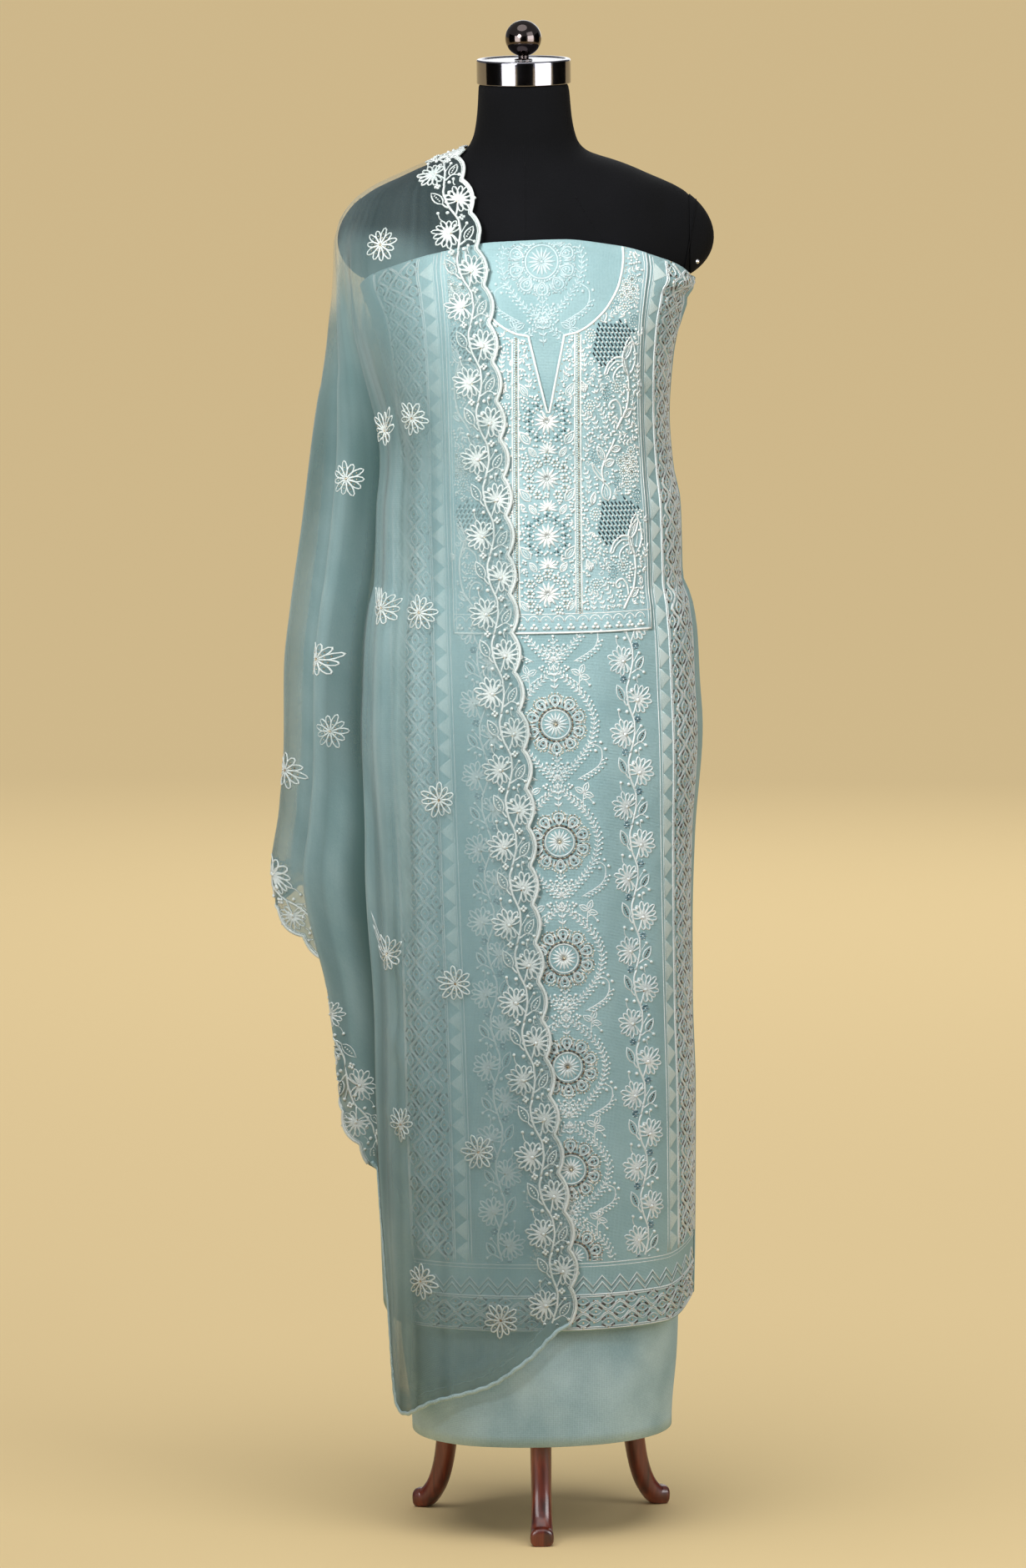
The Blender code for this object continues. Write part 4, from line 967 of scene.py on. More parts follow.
# ---------------------------------------------------------------- the form and its stand
@dataclass
class DressForm:
    """The jersey torso with its arm caps, seams, chrome cap and ball knob."""

    arm_centre: tuple[float, float, float] = (0.1086, 0.0, 1.3650)
    arm_radii: tuple[float, float, float] = (0.0880, 0.0520, 0.0590)
    arm_tilt: float = 10.6
    arm_seam: float = 0.1700
    seam_gap: float = 0.3 * MM
    seam_tuck: float = 3.5 * MM  # how far the soft torso reaches into its arm caps
    cap_round: float = 1.2 * MM
    voxel: float = 6.0 * MM
    neck_inside: float = 1.5195  # the jersey runs up into the cap
    cap_radius: float = 0.0489
    cap_base: float = 1.5178
    cap_height: float = 0.0252
    rim: float = 6.0 * MM
    dish: float = 1.2 * MM
    knob_radius: float = 0.0188
    knob_centre: float = 1.5644
    stem_radius: float = 0.0055
    foot_radius: float = 9.4 * MM
    rivet_place: tuple[float, float, float] = (0.1775, -0.0395, 1.3335)
    rivet_radius: float = 2.4 * MM

    def build(self) -> None:
        """Makes all its pieces."""
        jersey = Jersey().material()
        self.build_torso(jersey)
        for name, side in (("right", -1.0), ("left", 1.0)):
            self.build_arm_cap(name, side, jersey)
        self.build_seams(jersey)
        self.build_rivet()
        self.build_cap()
        self.build_knob()

    def torso_place(self, across: np.ndarray, up: np.ndarray) -> tuple[np.ndarray, np.ndarray]:
        """Returns points of the torso for shares round it and up it."""
        low, high = FORM_SECTIONS[0, 0], self.neck_inside
        height = low + (high - low) * up
        return form_line(across * 360.0, height), np.stack([across, up], axis=-1)

    def arm_turn(self, side: float) -> Matrix:
        """Returns how one arm stump leans."""
        return Matrix.Rotation(math.radians(side * self.arm_tilt), 3, "Y")

    def arm_middle(self, side: float) -> Vector:
        """Returns the middle of one arm stump's egg shape."""
        return from_axis(side * self.arm_centre[0], 0.0, self.arm_centre[2])

    def add_arm(self, bm: bmesh.types.BMesh, side: float, outer: bool) -> None:
        """Adds an egg-shaped arm stump, cut at the seam of its cap.

        Args:
            bm: the bmesh that takes it.
            side: -1 for the wearer's right arm, 1 for the left.
            outer: whether to keep the cap, and not the stump inside the seam.
        """
        made = bmesh.ops.create_uvsphere(bm, u_segments=48, v_segments=32, radius=1.0)["verts"]
        bmesh.ops.rotate(bm, matrix=Matrix.Rotation(math.radians(90.0), 3, "Y"), verts=made)
        bmesh.ops.scale(bm, vec=self.arm_radii, verts=made)
        bmesh.ops.rotate(bm, matrix=self.arm_turn(side), verts=made)
        bmesh.ops.translate(bm, vec=self.arm_middle(side), verts=made)
        seam = self.arm_seam + (self.seam_gap / 2 if outer else self.seam_tuck)
        own = set(made)
        geom = made + [edge for edge in bm.edges if edge.verts[0] in own]
        geom += [face for face in bm.faces if face.verts[0] in own]
        cut = bmesh.ops.bisect_plane(
            bm, geom=geom, plane_co=(AXIS[0] + side * seam, 0.0, 0.0), plane_no=(side, 0.0, 0.0),
            clear_inner=outer, clear_outer=not outer,
        )
        rim = [piece for piece in cut["geom_cut"] if isinstance(piece, bmesh.types.BMEdge)]
        bmesh.ops.contextual_create(bm, geom=rim)

    def build_torso(self, jersey: bpy.types.Material) -> None:
        """Makes torso, neck and both stumps one smooth padded skin."""
        bm = laid_sheet(96, 150, self.torso_place)
        close_up(bm, 0.05 * MM)
        for side in (-1.0, 1.0):
            self.add_arm(bm, side, outer=False)
        bmesh.ops.recalc_face_normals(bm, faces=bm.faces)
        draft = linked("torso_draft", mesh_of(bm, "torso_draft"))
        skin = draft.modifiers.new("Skin", "REMESH")
        skin.mode = "VOXEL"
        skin.voxel_size = self.voxel
        smooth = draft.modifiers.new("Soft", "SMOOTH")
        smooth.factor = 0.5
        smooth.iterations = 6
        finish_piece(baked_mesh(draft, "form_torso"), jersey, Slot.JERSEY, "dress_form")

    def build_arm_cap(self, name: str, side: float, jersey: bpy.types.Material) -> None:
        """Makes the padded jersey cap that closes one arm stump."""
        bm = bmesh.new()
        self.add_arm(bm, side, outer=True)
        bmesh.ops.recalc_face_normals(bm, faces=bm.faces)
        rim = [
            edge for edge in bm.edges
            if len(edge.link_faces) == 2 and edge.calc_face_angle() > math.radians(50.0)
        ]
        bmesh.ops.bevel(
            bm, geom=rim, offset=self.cap_round, segments=3, profile=0.5, material=-1,
            affect="EDGES",
        )
        mesh = mesh_of(bm, f"arm_cap_cover_{name}")
        mesh.set_sharp_from_angle(angle=math.radians(60.0))
        finish_piece(mesh, jersey, Slot.JERSEY, f"arm_cap_{name}")

    def build_seams(self, jersey: bpy.types.Material) -> None:
        """Adds the felled seams: centre front and back, princess lines, neck and armholes."""
        seams = Stitching()
        heights = np.linspace(1.30, 1.440, 30)
        for heading in (0.0, 180.0):
            seams.cord_in_space(form_line(np.full(30, heading), heights), 1.4 * MM)
        for side in (-1.0, 1.0):
            princess = side * (34.0 + 14.0 * ramped(heights, 1.42, 1.32))
            seams.cord_in_space(form_line(princess, np.minimum(heights, 1.405)), 1.1 * MM)
        around = np.linspace(0.0, 360.0, 73)
        neck = 1.4475 + 0.008 * (1 - np.cos(2 * np.radians(around))) / 2
        seams.cord_in_space(form_line(around, neck), 1.5 * MM)
        for side in (-1.0, 1.0):
            seams.cord_in_space(self.arm_ring(side), 1.6 * MM)
        finish_piece(seams.mesh("form_seams"), jersey, Slot.JERSEY)

    def build_rivet(self) -> None:
        """Makes the small domed rivet on the left arm cap."""
        bm = bmesh.new()
        bmesh.ops.create_uvsphere(bm, u_segments=20, v_segments=12, radius=self.rivet_radius)
        bmesh.ops.translate(bm, vec=from_axis(*self.rivet_place), verts=bm.verts)
        plated = PolishedMetal("plated_rivet", "#c9c9cb", 0.15).material()
        finish_piece(mesh_of(bm, "arm_cap_rivet"), plated, Slot.CHROME)

    def arm_ring(self, side: float) -> np.ndarray:
        """Returns points round one arm stump at its cap's seam."""
        out = (self.arm_seam - self.arm_centre[0]) / math.cos(math.radians(self.arm_tilt))
        room = math.sqrt(max(0.0, 1 - (out / self.arm_radii[0]) ** 2))
        made = []
        for angle in np.linspace(0.0, 2 * math.pi, 49):
            forward = math.cos(angle) * self.arm_radii[1] * room
            rise = math.sin(angle) * self.arm_radii[2] * room
            leaning = self.arm_turn(side) @ Vector((side * out, forward, rise))
            made.append(self.arm_middle(side) + leaning)
        return np.array(made)

    def build_cap(self) -> None:
        """Makes the flat chrome neck cap with its raised rim."""
        top = self.cap_base + self.cap_height
        floor = top - self.dish
        inner = self.cap_radius - self.rim
        profile = [
            (0.0, floor, 0.0), (inner, floor, 0.8 * MM), (inner + self.dish, top, 0.8 * MM),
            (self.cap_radius, top, 2.0 * MM), (self.cap_radius, self.cap_base, 1.0 * MM),
            (0.0, self.cap_base, 0.0),
        ]
        mesh = turned("neck_cap_chrome", rounded(profile), 128)
        chrome = PolishedMetal("polished_chrome", "#918f97", 0.06)
        finish_piece(mesh, chrome.material(), Slot.CHROME, "neck_cap")

    def build_knob(self) -> None:
        """Makes the dark chrome ball on its short stem."""
        seat = self.cap_base + self.cap_height - self.dish + self.seam_gap
        low = -math.asin(math.sqrt(1 - (self.stem_radius / self.knob_radius) ** 2))
        profile = []
        for angle in np.linspace(math.pi / 2, low, 33).tolist():
            rise = self.knob_radius * math.sin(angle)
            profile.append((self.knob_radius * math.cos(angle), self.knob_centre + rise))
        profile[0] = (0.0, self.knob_centre + self.knob_radius)
        profile += [
            (self.stem_radius, seat + 1.6 * MM), (self.foot_radius - 0.5 * MM, seat + 0.8 * MM),
            (self.foot_radius, seat + 0.4 * MM), (self.foot_radius, seat), (0.0, seat),
        ]
        ball = turned("neck_knob_ball", profile, 64)
        smoked = PolishedMetal("smoked_chrome", "#5d5452", 0.07).material()
        finish_piece(ball, smoked, Slot.SMOKED_CHROME, "neck_knob")


def form_line(heading: np.ndarray, height: np.ndarray) -> np.ndarray:
    """Returns points on the form's torso."""
    return at_heading(heading, section_radius(FORM_SECTIONS, heading, height), height)


@dataclass
class Stand:
    """The mahogany pole, turned hub and three cabriole legs."""

    headings: dict[str, float] = field(
        default_factory=lambda: {"leg_front": 0.0, "leg_right": -120.0, "leg_left": 120.0}
    )
    pole_radius: float = 0.0140
    hub_top: float = 0.276
    hub_base: float = 0.168
    hub_radius: float = 0.0310
    hub_neck: float = 0.0180
    hub_foot: float = 0.0120
    hub_slope: float = 0.0220
    form_base: float = 0.745
    gap: float = 0.3 * MM
    squareness: float = 2.6  # superellipse exponent of a leg's section
    tip: float = 0.06  # share of a leg's length that its foot rounds off over
    root: float = 0.03

    def build(self) -> None:
        """Makes all its pieces."""
        wood = VarnishedMahogany().material()
        low, high = self.hub_top + self.gap, self.form_base - self.gap
        pole = [
            (0.0, high, 0.0), (self.pole_radius, high, 1.0 * MM),
            (self.pole_radius, low, 1.0 * MM), (0.0, low, 0.0),
        ]
        finish_piece(turned("stand_pole_wood", rounded(pole), 48), wood, Slot.MAHOGANY, "stand_pole")
        finish_piece(self.hub_mesh(), wood, Slot.MAHOGANY, "stand_hub")
        for name, heading in self.headings.items():
            finish_piece(self.leg_mesh(name, heading), wood, Slot.MAHOGANY, name)

    def hub_mesh(self) -> bpy.types.Mesh:
        """Returns the turned block that the legs are jointed into."""
        top, base, slope = self.hub_top, self.hub_base, self.hub_slope
        profile = [
            (0.0, top, 0.0), (self.hub_neck * 0.95, top, 1.0 * MM),
            (self.hub_neck * 1.1, top - slope * 0.27, 3.0 * MM),
            (self.hub_neck, top - slope * 0.55, 2.0 * MM), (self.hub_radius, top - slope, 3.0 * MM),
            (self.hub_radius, base + slope, 4.0 * MM),
            (self.hub_neck * 1.2, base + slope / 2, 3.0 * MM),
            (self.hub_foot, base, 2.0 * MM), (0.0, base, 0.0),
        ]
        return turned("stand_hub_wood", rounded(profile), 64)

    def squared(self, wave: np.ndarray) -> np.ndarray:
        """Returns a sine or cosine swollen to a rounded square's."""
        return np.sign(wave) * np.abs(wave) ** (2 / self.squareness)

    def leg_mesh(self, name: str, heading: float) -> bpy.types.Mesh:
        """Returns one leg: a rounded square section swept down to a pad foot."""
        by_share = np.column_stack([np.linspace(0.0, 1.0, len(LEG_LINE)), LEG_LINE])
        turn = math.radians(heading)
        way = np.array([-math.sin(turn), -math.cos(turn), 0.0])
        side = np.array([-way[1], way[0], 0.0])
        step = 0.004

        def place(across: np.ndarray, up: np.ndarray) -> tuple[np.ndarray, np.ndarray]:
            """Returns the points for shares round the leg and along it."""
            tip = np.clip((up - 1 + self.tip) / self.tip, 0.0, 1.0)
            root = np.clip((self.root - up) / self.root, 0.0, 1.0)
            row = read_table(by_share, up)
            ahead = read_table(by_share, np.minimum(up + step, 1.0))[:, :2]
            ahead = ahead - read_table(by_share, np.maximum(up - step, 0.0))[:, :2]
            tangent = ahead / np.hypot(ahead[:, 0], ahead[:, 1])[:, None]
            angle = across * 2 * math.pi
            closing = np.sqrt(np.clip(1 - tip**2, 0.0, 1.0)) * np.sqrt(np.clip(1 - root**2, 0.0, 1.0))
            wide = row[:, 2] * closing * self.squared(np.cos(angle))
            deep = row[:, 3] * closing * self.squared(np.sin(angle))
            reach = row[:, 0] - tangent[:, 1] * deep
            points = AXIS + way * reach[:, None] + side * wide[:, None]
            points[:, 2] = np.maximum(row[:, 1] + tangent[:, 0] * deep, 0.0)
            return points, np.stack([across, up], axis=-1)

        bm = laid_sheet(28, 90, place)
        close_up(bm, 0.03 * MM)
        return mesh_of(bm, f"{name}_wood")


# ---------------------------------------------------------------- stitches
def template(bm: bmesh.types.BMesh) -> tuple[np.ndarray, np.ndarray]:
    """Returns a small bmesh as arrays of points and triangles, and frees it."""
    bmesh.ops.triangulate(bm, faces=bm.faces)
    bmesh.ops.recalc_face_normals(bm, faces=bm.faces)
    points = np.array([vert.co[:] for vert in bm.verts])
    faces = np.array([[vert.index for vert in face.verts] for face in bm.faces])
    bm.free()
    return points, faces


def ball_template(around: int, rings: int) -> tuple[np.ndarray, np.ndarray]:
    """Returns a slightly flattened ball of radius 1 that sits a little into the cloth."""
    bm = bmesh.new()
    bmesh.ops.create_uvsphere(bm, u_segments=around, v_segments=rings, radius=1.0)
    bmesh.ops.scale(bm, vec=(1.0, 1.0, 0.8), verts=bm.verts)
    bmesh.ops.translate(bm, vec=(0.0, 0.0, 0.35), verts=bm.verts)
    return template(bm)


def disc_template(around: int) -> tuple[np.ndarray, np.ndarray]:
    """Returns a thin round sequin of radius 1, tilted a little."""
    bm = bmesh.new()
    bmesh.ops.create_cone(
        bm, cap_ends=True, segments=around, radius1=1.0, radius2=0.8, depth=0.3
    )
    bmesh.ops.rotate(bm, matrix=Matrix.Rotation(math.radians(14.0), 3, "X"), verts=bm.verts)
    bmesh.ops.translate(bm, vec=(0.0, 0.0, 0.35), verts=bm.verts)
    return template(bm)


class Layer(Enum):
    """What a stitch is made of."""

    THREAD = "thread"
    GOLD = "gold"
    GLASS = "glass"
    ANTIQUE = "antique"


BALL = ball_template(7, 4)
KNOT = ball_template(6, 3)
SEED = ball_template(5, 2)
SEQUIN = disc_template(7)
SINK = 0.25 * MM  # how far a stitch's underside lies below the face of its cloth
LOFT = 0.72  # share of a thread's nominal height that it keeps once it is pulled tight


def way_of(turn: float) -> np.ndarray:
    """Returns the flat step of length 1 along turn, in degrees anticlockwise from +X."""
    return np.array([math.cos(math.radians(turn)), math.sin(math.radians(turn))])


def turned_points(points: np.ndarray, turn: float) -> np.ndarray:
    """Turns flat points anticlockwise about the origin by degrees."""
    cos, sin = way_of(turn)
    made = points.copy()
    made[:, 0] = points[:, 0] * cos - points[:, 1] * sin
    made[:, 1] = points[:, 0] * sin + points[:, 1] * cos
    return made


class Stitching:
    """Raised stitches as closed bodies of triangles, drawn flat before they are laid."""

    def __init__(self) -> None:
        """Starts empty."""
        self.parts: dict[Layer, list[tuple[np.ndarray, np.ndarray]]] = {layer: [] for layer in Layer}

    def take(self, layer: Layer, points: np.ndarray, faces: np.ndarray) -> None:
        """Adds a body of points and triangles."""
        self.parts[layer].append((points, faces))

    def merged(self, layer: Layer) -> tuple[np.ndarray, np.ndarray] | None:
        """Joins a layer's bodies into one pair of arrays, or returns None if it is empty."""
        bodies = self.parts[layer]
        if not bodies:
            return None
        if len(bodies) > 1:
            starts = np.cumsum([0] + [len(points) for points, _ in bodies[:-1]])
            points = np.concatenate([points for points, _ in bodies])
            faces = np.concatenate([faces + start for (_, faces), start in zip(bodies, starts)])
            self.parts[layer] = [(points, faces)]
        return self.parts[layer][0]

    def bodies(self) -> list[tuple[Layer, np.ndarray, np.ndarray]]:
        """Returns each layer that holds anything, with its points and faces."""
        found = [(layer, self.merged(layer)) for layer in Layer]
        return [(layer, *body) for layer, body in found if body is not None]

    def sweep(
        self, layer: Layer, path: np.ndarray, aside: np.ndarray, off: np.ndarray,
        width: np.ndarray | float, height: np.ndarray | float, closed: bool, sides: int,
        whole: bool = False,
    ) -> None:
        """Sweeps a half-round section along a path.

        Args:
            layer: what it is made of.
            path: its points, flat or in space.
            aside: the direction to the left of the path at each point.
            off: the direction off the cloth at each point.
            width: how wide it is at each point.
            height: how high it stands.
            closed: whether the path's end joins its start.
            sides: points across the section.
            whole: whether the section is fully round, as of a cord bound over an edge.
        """
        count = len(path)
        arc = np.linspace(math.pi, 0.0, sides)
        sink = SINK
        if whole:
            arc = np.linspace(math.pi, -math.pi, sides, endpoint=False)
            sink = 0.0
        half = np.broadcast_to(np.asarray(width, float) / 2, (count,))
        tall = np.broadcast_to(np.asarray(height, float), (count,))
        rings = (
            path[:, None, :]
            - aside[:, None, :] * half[:, None, None] * np.cos(arc)[None, :, None]
            + off[:, None, :] * (tall[:, None] * np.sin(arc)[None, :] - sink)[..., None]
        )
        here = np.arange(count if closed else count - 1)
        there = (here + 1) % count
        quads = []
        for k in range(sides):
            after = (k + 1) % sides
            a, b = here * sides + k, here * sides + after
            c, d = there * sides + after, there * sides + k
            quads += [np.stack([a, b, c], axis=1), np.stack([a, c, d], axis=1)]
        faces = np.concatenate(quads)
        if not closed:
            fan = np.arange(1, sides - 1)
            start = np.stack([np.zeros_like(fan), fan + 1, fan], axis=1)
            end = np.stack([np.zeros_like(fan), fan, fan + 1], axis=1) + (count - 1) * sides
            faces = np.concatenate([faces, start, end])
        self.take(layer, rings.reshape(-1, 3), faces)

    def stroke(
        self, path: np.ndarray | list, width: np.ndarray | float, height: float | None = None,
        closed: bool = False, layer: Layer = Layer.THREAD, sides: int = 3, whole: bool = False,
    ) -> None:
        """Lays a thread or cord along a flat path.

        Args:
            path: its points.
            width: how wide it is, at each point or throughout.
            height: how high it would stand untwisted; left out, a share of the width.
            closed: whether the path's end joins its start.
            layer: what it is made of.
            sides: points across the section.
            whole: whether it is fully round and keeps its whole height.
        """
        path = np.asarray(path, float)
        if closed:
            ahead = np.roll(path, -1, axis=0) - np.roll(path, 1, axis=0)
        else:
            ahead = np.gradient(path, axis=0)
        ahead = unit(ahead)
        level = np.zeros(len(path))
        flat = np.column_stack([path, level])
        aside = np.column_stack([-ahead[:, 1], ahead[:, 0], level])
        off = np.column_stack([level, level, level + 1])
        tall = height if height is not None else np.asarray(width, float) * 0.6 + SINK
        tall = tall if whole else tall * LOFT
        self.sweep(layer, flat, aside, off, width, tall, closed, sides, whole)

    def patch(self, outline: np.ndarray | list, height: float) -> None:
        """Fills a flat outline, given anticlockwise, with a low even pad of satin stitches."""
        outline = np.asarray(outline, float)
        count = len(outline)
        middle = outline.mean(axis=0)
        rings = []
        for share, level in ((0.88, height), (0.96, height * 0.9), (1.0, -SINK)):
            ring = middle + (outline - middle) * share
            rings.append(np.column_stack([ring, np.full(count, level)]))
        fan = np.arange(1, count - 1)
        here = np.arange(count)
        there = (here + 1) % count
        faces = [
            np.stack([np.zeros_like(fan), fan, fan + 1], axis=1),
            np.stack([np.zeros_like(fan), fan + 1, fan], axis=1) + 2 * count,
        ]
        for start in (0, count):
            a, b = here + start, there + start
            faces.append(np.stack([a, a + count, b + count], axis=1))
            faces.append(np.stack([a, b + count, b], axis=1))
        self.take(Layer.THREAD, np.concatenate(rings), np.concatenate(faces))

    def cord_in_space(self, points: np.ndarray, width: float) -> None:
        """Lays a cord along points on the form, half sunk in it."""
        ahead = unit(np.gradient(points, axis=0))
        off = points - AXIS
        off[:, 2] = 0.0
        off = unit(off)
        off = unit(off - ahead * (off * ahead).sum(axis=1)[:, None])
        aside = np.cross(off, ahead)
        self.sweep(Layer.THREAD, points, aside, off, width, width * 0.35 + SINK, False, 5)

    def dots(
        self, centres: np.ndarray | list, radius: float, layer: Layer = Layer.THREAD,
        body: tuple[np.ndarray, np.ndarray] | None = None,
    ) -> None:
        """Sets a knot, bead or sequin at each flat point.

        Args:
            centres: the points.
            radius: its radius.
            layer: what it is made of.
            body: its shape, if it is no ball.
        """
        ball = BALL if radius > 2.05 * MM else KNOT if radius > 1.2 * MM else SEED
        points, faces = body or ball
        centres = np.asarray(centres, float).reshape(-1, 2)
        count = len(centres)
        made = np.tile(points * radius, (count, 1, 1))
        made[:, :, :2] += centres[:, None, :]
        indices = faces[None] + (np.arange(count) * len(points))[:, None, None]
        self.take(layer, made.reshape(-1, 3), indices.reshape(-1, 3))

    def leaf(self, x: float, y: float, turn: float, length: float, width: float) -> None:
        """Lays a satin-stitched leaf from a point, pointing along turn in degrees."""
        small = length < 7.0 * MM
        shares = np.array([0.0, 0.45, 1.0] if small else [0.0, 0.3, 0.7, 1.0])
        fullness = np.array([0.35, 1.05, 0.15] if small else [0.3, 1.0, 0.85, 0.15])
        path = np.array([x, y]) + np.outer(shares * length, way_of(turn))
        self.stroke(path, width * fullness, 0.5 * width + SINK)

    def place(
        self, other: "Stitching", x: float = 0.0, y: float = 0.0, turn: float = 0.0,
        size: float = 1.0, mirror: bool = False,
    ) -> None:
        """Repeats another figure.

        Args:
            other: the figure.
            x: where its origin goes.
            y: where its origin goes.
            turn: its turn in degrees.
            size: its scale.
            mirror: whether it is mirrored left to right first.
        """
        for layer, points, faces in other.bodies():
            points = points * size
            if mirror:
                points = points * np.array([-1.0, 1.0, 1.0])
                faces = faces[:, ::-1]
            self.take(layer, turned_points(points, turn) + np.array([x, y, 0.0]), faces)

    def keep(self, inside: Callable[[np.ndarray], np.ndarray]) -> None:
        """Leaves out every face with a corner for which inside is false."""
        for layer, points, faces in self.bodies():
            faces = faces[inside(points)[faces].all(axis=1)]
            used = np.unique(faces)
            again = np.full(len(points), -1)
            again[used] = np.arange(len(used))
            self.parts[layer] = [(points[used], again[faces])] if len(used) else []

    def laid(self, cloth: "ClothMap") -> "Stitching":
        """Returns the figure laid on a cloth, in the frame."""
        made = Stitching()
        for layer, points, faces in self.bodies():
            made.take(layer, cloth.at(*points.T), faces if cloth.hand > 0 else faces[:, ::-1])
        return made

    def squashed(
        self, across: float = 1.0, rise: float = 1.0, layer: Layer | None = None
    ) -> "Stitching":
        """Returns the figure narrowed or lowered.

        Args:
            across: scale of its width.
            rise: scale of its height off the cloth.
            layer: what all of it is made of, if that changes.
        """
        made = Stitching()
        for own, points, faces in self.bodies():
            made.take(layer or own, points * np.array([across, 1.0, rise]), faces)
        return made

    def join(self, other: "Stitching") -> None:
        """Adds another figure as it lies."""
        for layer in Layer:
            self.parts[layer] += other.parts[layer]

    def mesh(self, name: str, layer: Layer = Layer.THREAD) -> bpy.types.Mesh | None:
        """Returns one layer as smooth mesh data."""
        body = self.merged(layer)
        if body is None:
            return None
        mesh = bpy.data.meshes.new(name)
        mesh.from_pydata(body[0], [], body[1])
        mesh.shade_smooth()
        return mesh


class ClothMap:
    """Carries flat points of a cloth to their place in the frame."""

    def __init__(self, across: np.ndarray, up: np.ndarray, points: np.ndarray) -> None:
        """Takes the flat cloth's grid.

        Args:
            across: the rising flat coordinates of its columns.
            up: the rising flat coordinates of its rows.
            points: the place of each crossing, as rows of columns.
        """
        self.across, self.up, self.points = across, up, points
        along = np.gradient(points, across, axis=1)
        rising = np.gradient(points, up, axis=0)
        normal = unit(np.cross(along, rising))
        away = points - AXIS
        self.hand = 1.0 if (normal[..., :2] * away[..., :2]).sum(axis=2).mean() > 0 else -1.0
        self.normals = normal * self.hand

    def at(self, x: np.ndarray, y: np.ndarray, lift: np.ndarray | float = 0.0) -> np.ndarray:
        """Returns points of the cloth, raised off it by lift."""
        lift = np.broadcast_to(np.asarray(lift, float), x.shape)
        point, normal = (
            read_grid(grid, self.across, self.up, x, y) for grid in (self.points, self.normals)
        )
        return point + normal * lift[:, None]


# ---------------------------------------------------------------- embroidered figures
def loop(length: float, width: float, points: int = 10, blunt: float = 0.4) -> np.ndarray:
    """Returns the closed outline of a looped petal that points up from the origin."""
    turn = np.linspace(0.0, 2 * math.pi, points, endpoint=False)
    rise = (1 - np.cos(turn)) / 2
    across = width / 2 * np.sin(turn) * (1 - blunt / 2 + blunt * rise)
    return np.stack([across, length * rise], axis=1)


def almond(length: float, width: float, points: int = 10) -> np.ndarray:
    """Returns the closed outline of a pointed leaf that points up from the origin."""
    half = points // 2
    rise = np.linspace(0.0, 1.0, half + 1)
    bulge = width / 2 * np.sin(math.pi * rise**0.85) ** 0.9
    right = np.stack([bulge, rise * length], axis=1)
    left = np.stack([-bulge, rise * length], axis=1)[::-1]
    return np.concatenate([right, left[1:-1]])


def moved(path: np.ndarray, turn: float, x: float = 0.0, y: float = 0.0) -> np.ndarray:
    """Turns a flat path by degrees and moves it."""
    return turned_points(path, turn) + np.array([x, y])


def smooth_path(points: np.ndarray | list, steps: int = 6) -> np.ndarray:
    """Returns a smooth curve through flat points."""
    rows = np.array(points, float)
    ends = [2 * rows[0] - rows[1], 2 * rows[-1] - rows[-2]]
    padded = np.concatenate([ends[:1], rows, ends[1:]])
    share = np.linspace(0.0, 1.0, steps, endpoint=False)[:, None]
    made = []
    for a, b, c, d in zip(padded, padded[1:], padded[2:], padded[3:]):
        made.append(
            0.5 * (2 * b + (c - a) * share + (2 * a - 5 * b + 4 * c - d) * share**2
                   + (3 * b - a - 3 * c + d) * share**3)
        )
    return np.concatenate(made + [rows[-1:]])


def fan_flower(
    facing: float, petals: int = 11, spread: float = 262.0, length: float = 19.0 * MM,
    width: float = 5.0 * MM,
) -> Stitching:
    """Returns a daisy seen half from the side: looped petals fanned round its bead eye."""
    made = Stitching()
    for index in range(petals):
        share = index / (petals - 1) - 0.5
        turn = facing - 90.0 + share * spread
        reach = length * (1 - 0.18 * abs(2 * share)) * (1.0 if index % 2 else 0.9)
        start = 1.6 * MM
        petal = moved(loop(reach - start, width), turn, *way_of(turn + 90.0) * start)
        made.stroke(petal, 2.1 * MM, 1.9 * MM, closed=True)
    made.dots([(0.0, 0.0)], 2.2 * MM)
    along = way_of(facing)
    made.dots([along * 2.2 * MM, -along * 2.4 * MM], 1.2 * MM, Layer.GOLD)
    return made


def round_flower(petals: int = 11, length: float = 17.0 * MM, width: float = 5.4 * MM) -> Stitching:
    """Returns an open daisy of looped petals with a beaded eye."""
    made = Stitching()
    for index in range(petals):
        turn = 360.0 * index / petals
        reach = length * (1.0 if index % 2 else 0.86)
        way = way_of(turn + 90.0)
        petal = moved(loop(reach, width), turn, *way * 2.0 * MM)
        made.stroke(petal, 1.8 * MM, 1.5 * MM, closed=True)
        made.dots([way * reach * 0.45, way * reach * 0.7], 0.8 * MM, Layer.GOLD)
    made.dots(way_of(126.0) * 1.9 * MM, 1.0 * MM, Layer.GOLD)
    made.dots(moved(ring_path(2.1 * MM, 6), 90.0), 1.0 * MM)
    made.dots([(0.0, 0.0)], 1.3 * MM, Layer.GOLD)
    return made


def dotted_leaf(length: float, width: float, eye: Layer = Layer.THREAD) -> Stitching:
    """Returns an outlined leaf with a row of knots for its vein, pointing up."""
    made = Stitching()
    made.stroke(almond(length, width), 1.9 * MM, 1.5 * MM, closed=True)
    rises = np.linspace(0.26, 0.70, 4) * length
    made.dots(np.stack([np.zeros(4), rises], axis=1), 1.1 * MM, eye)
    return made


def stalked_dot(points: list[tuple[float, float]], radius: float = 2.0 * MM) -> Stitching:
    """Returns a knot on a curved stalk; the last point is the knot's."""
    made = Stitching()
    made.stroke(smooth_path(points, 3), 1.4 * MM, 1.2 * MM)
    made.dots([points[-1]], radius)
    return made


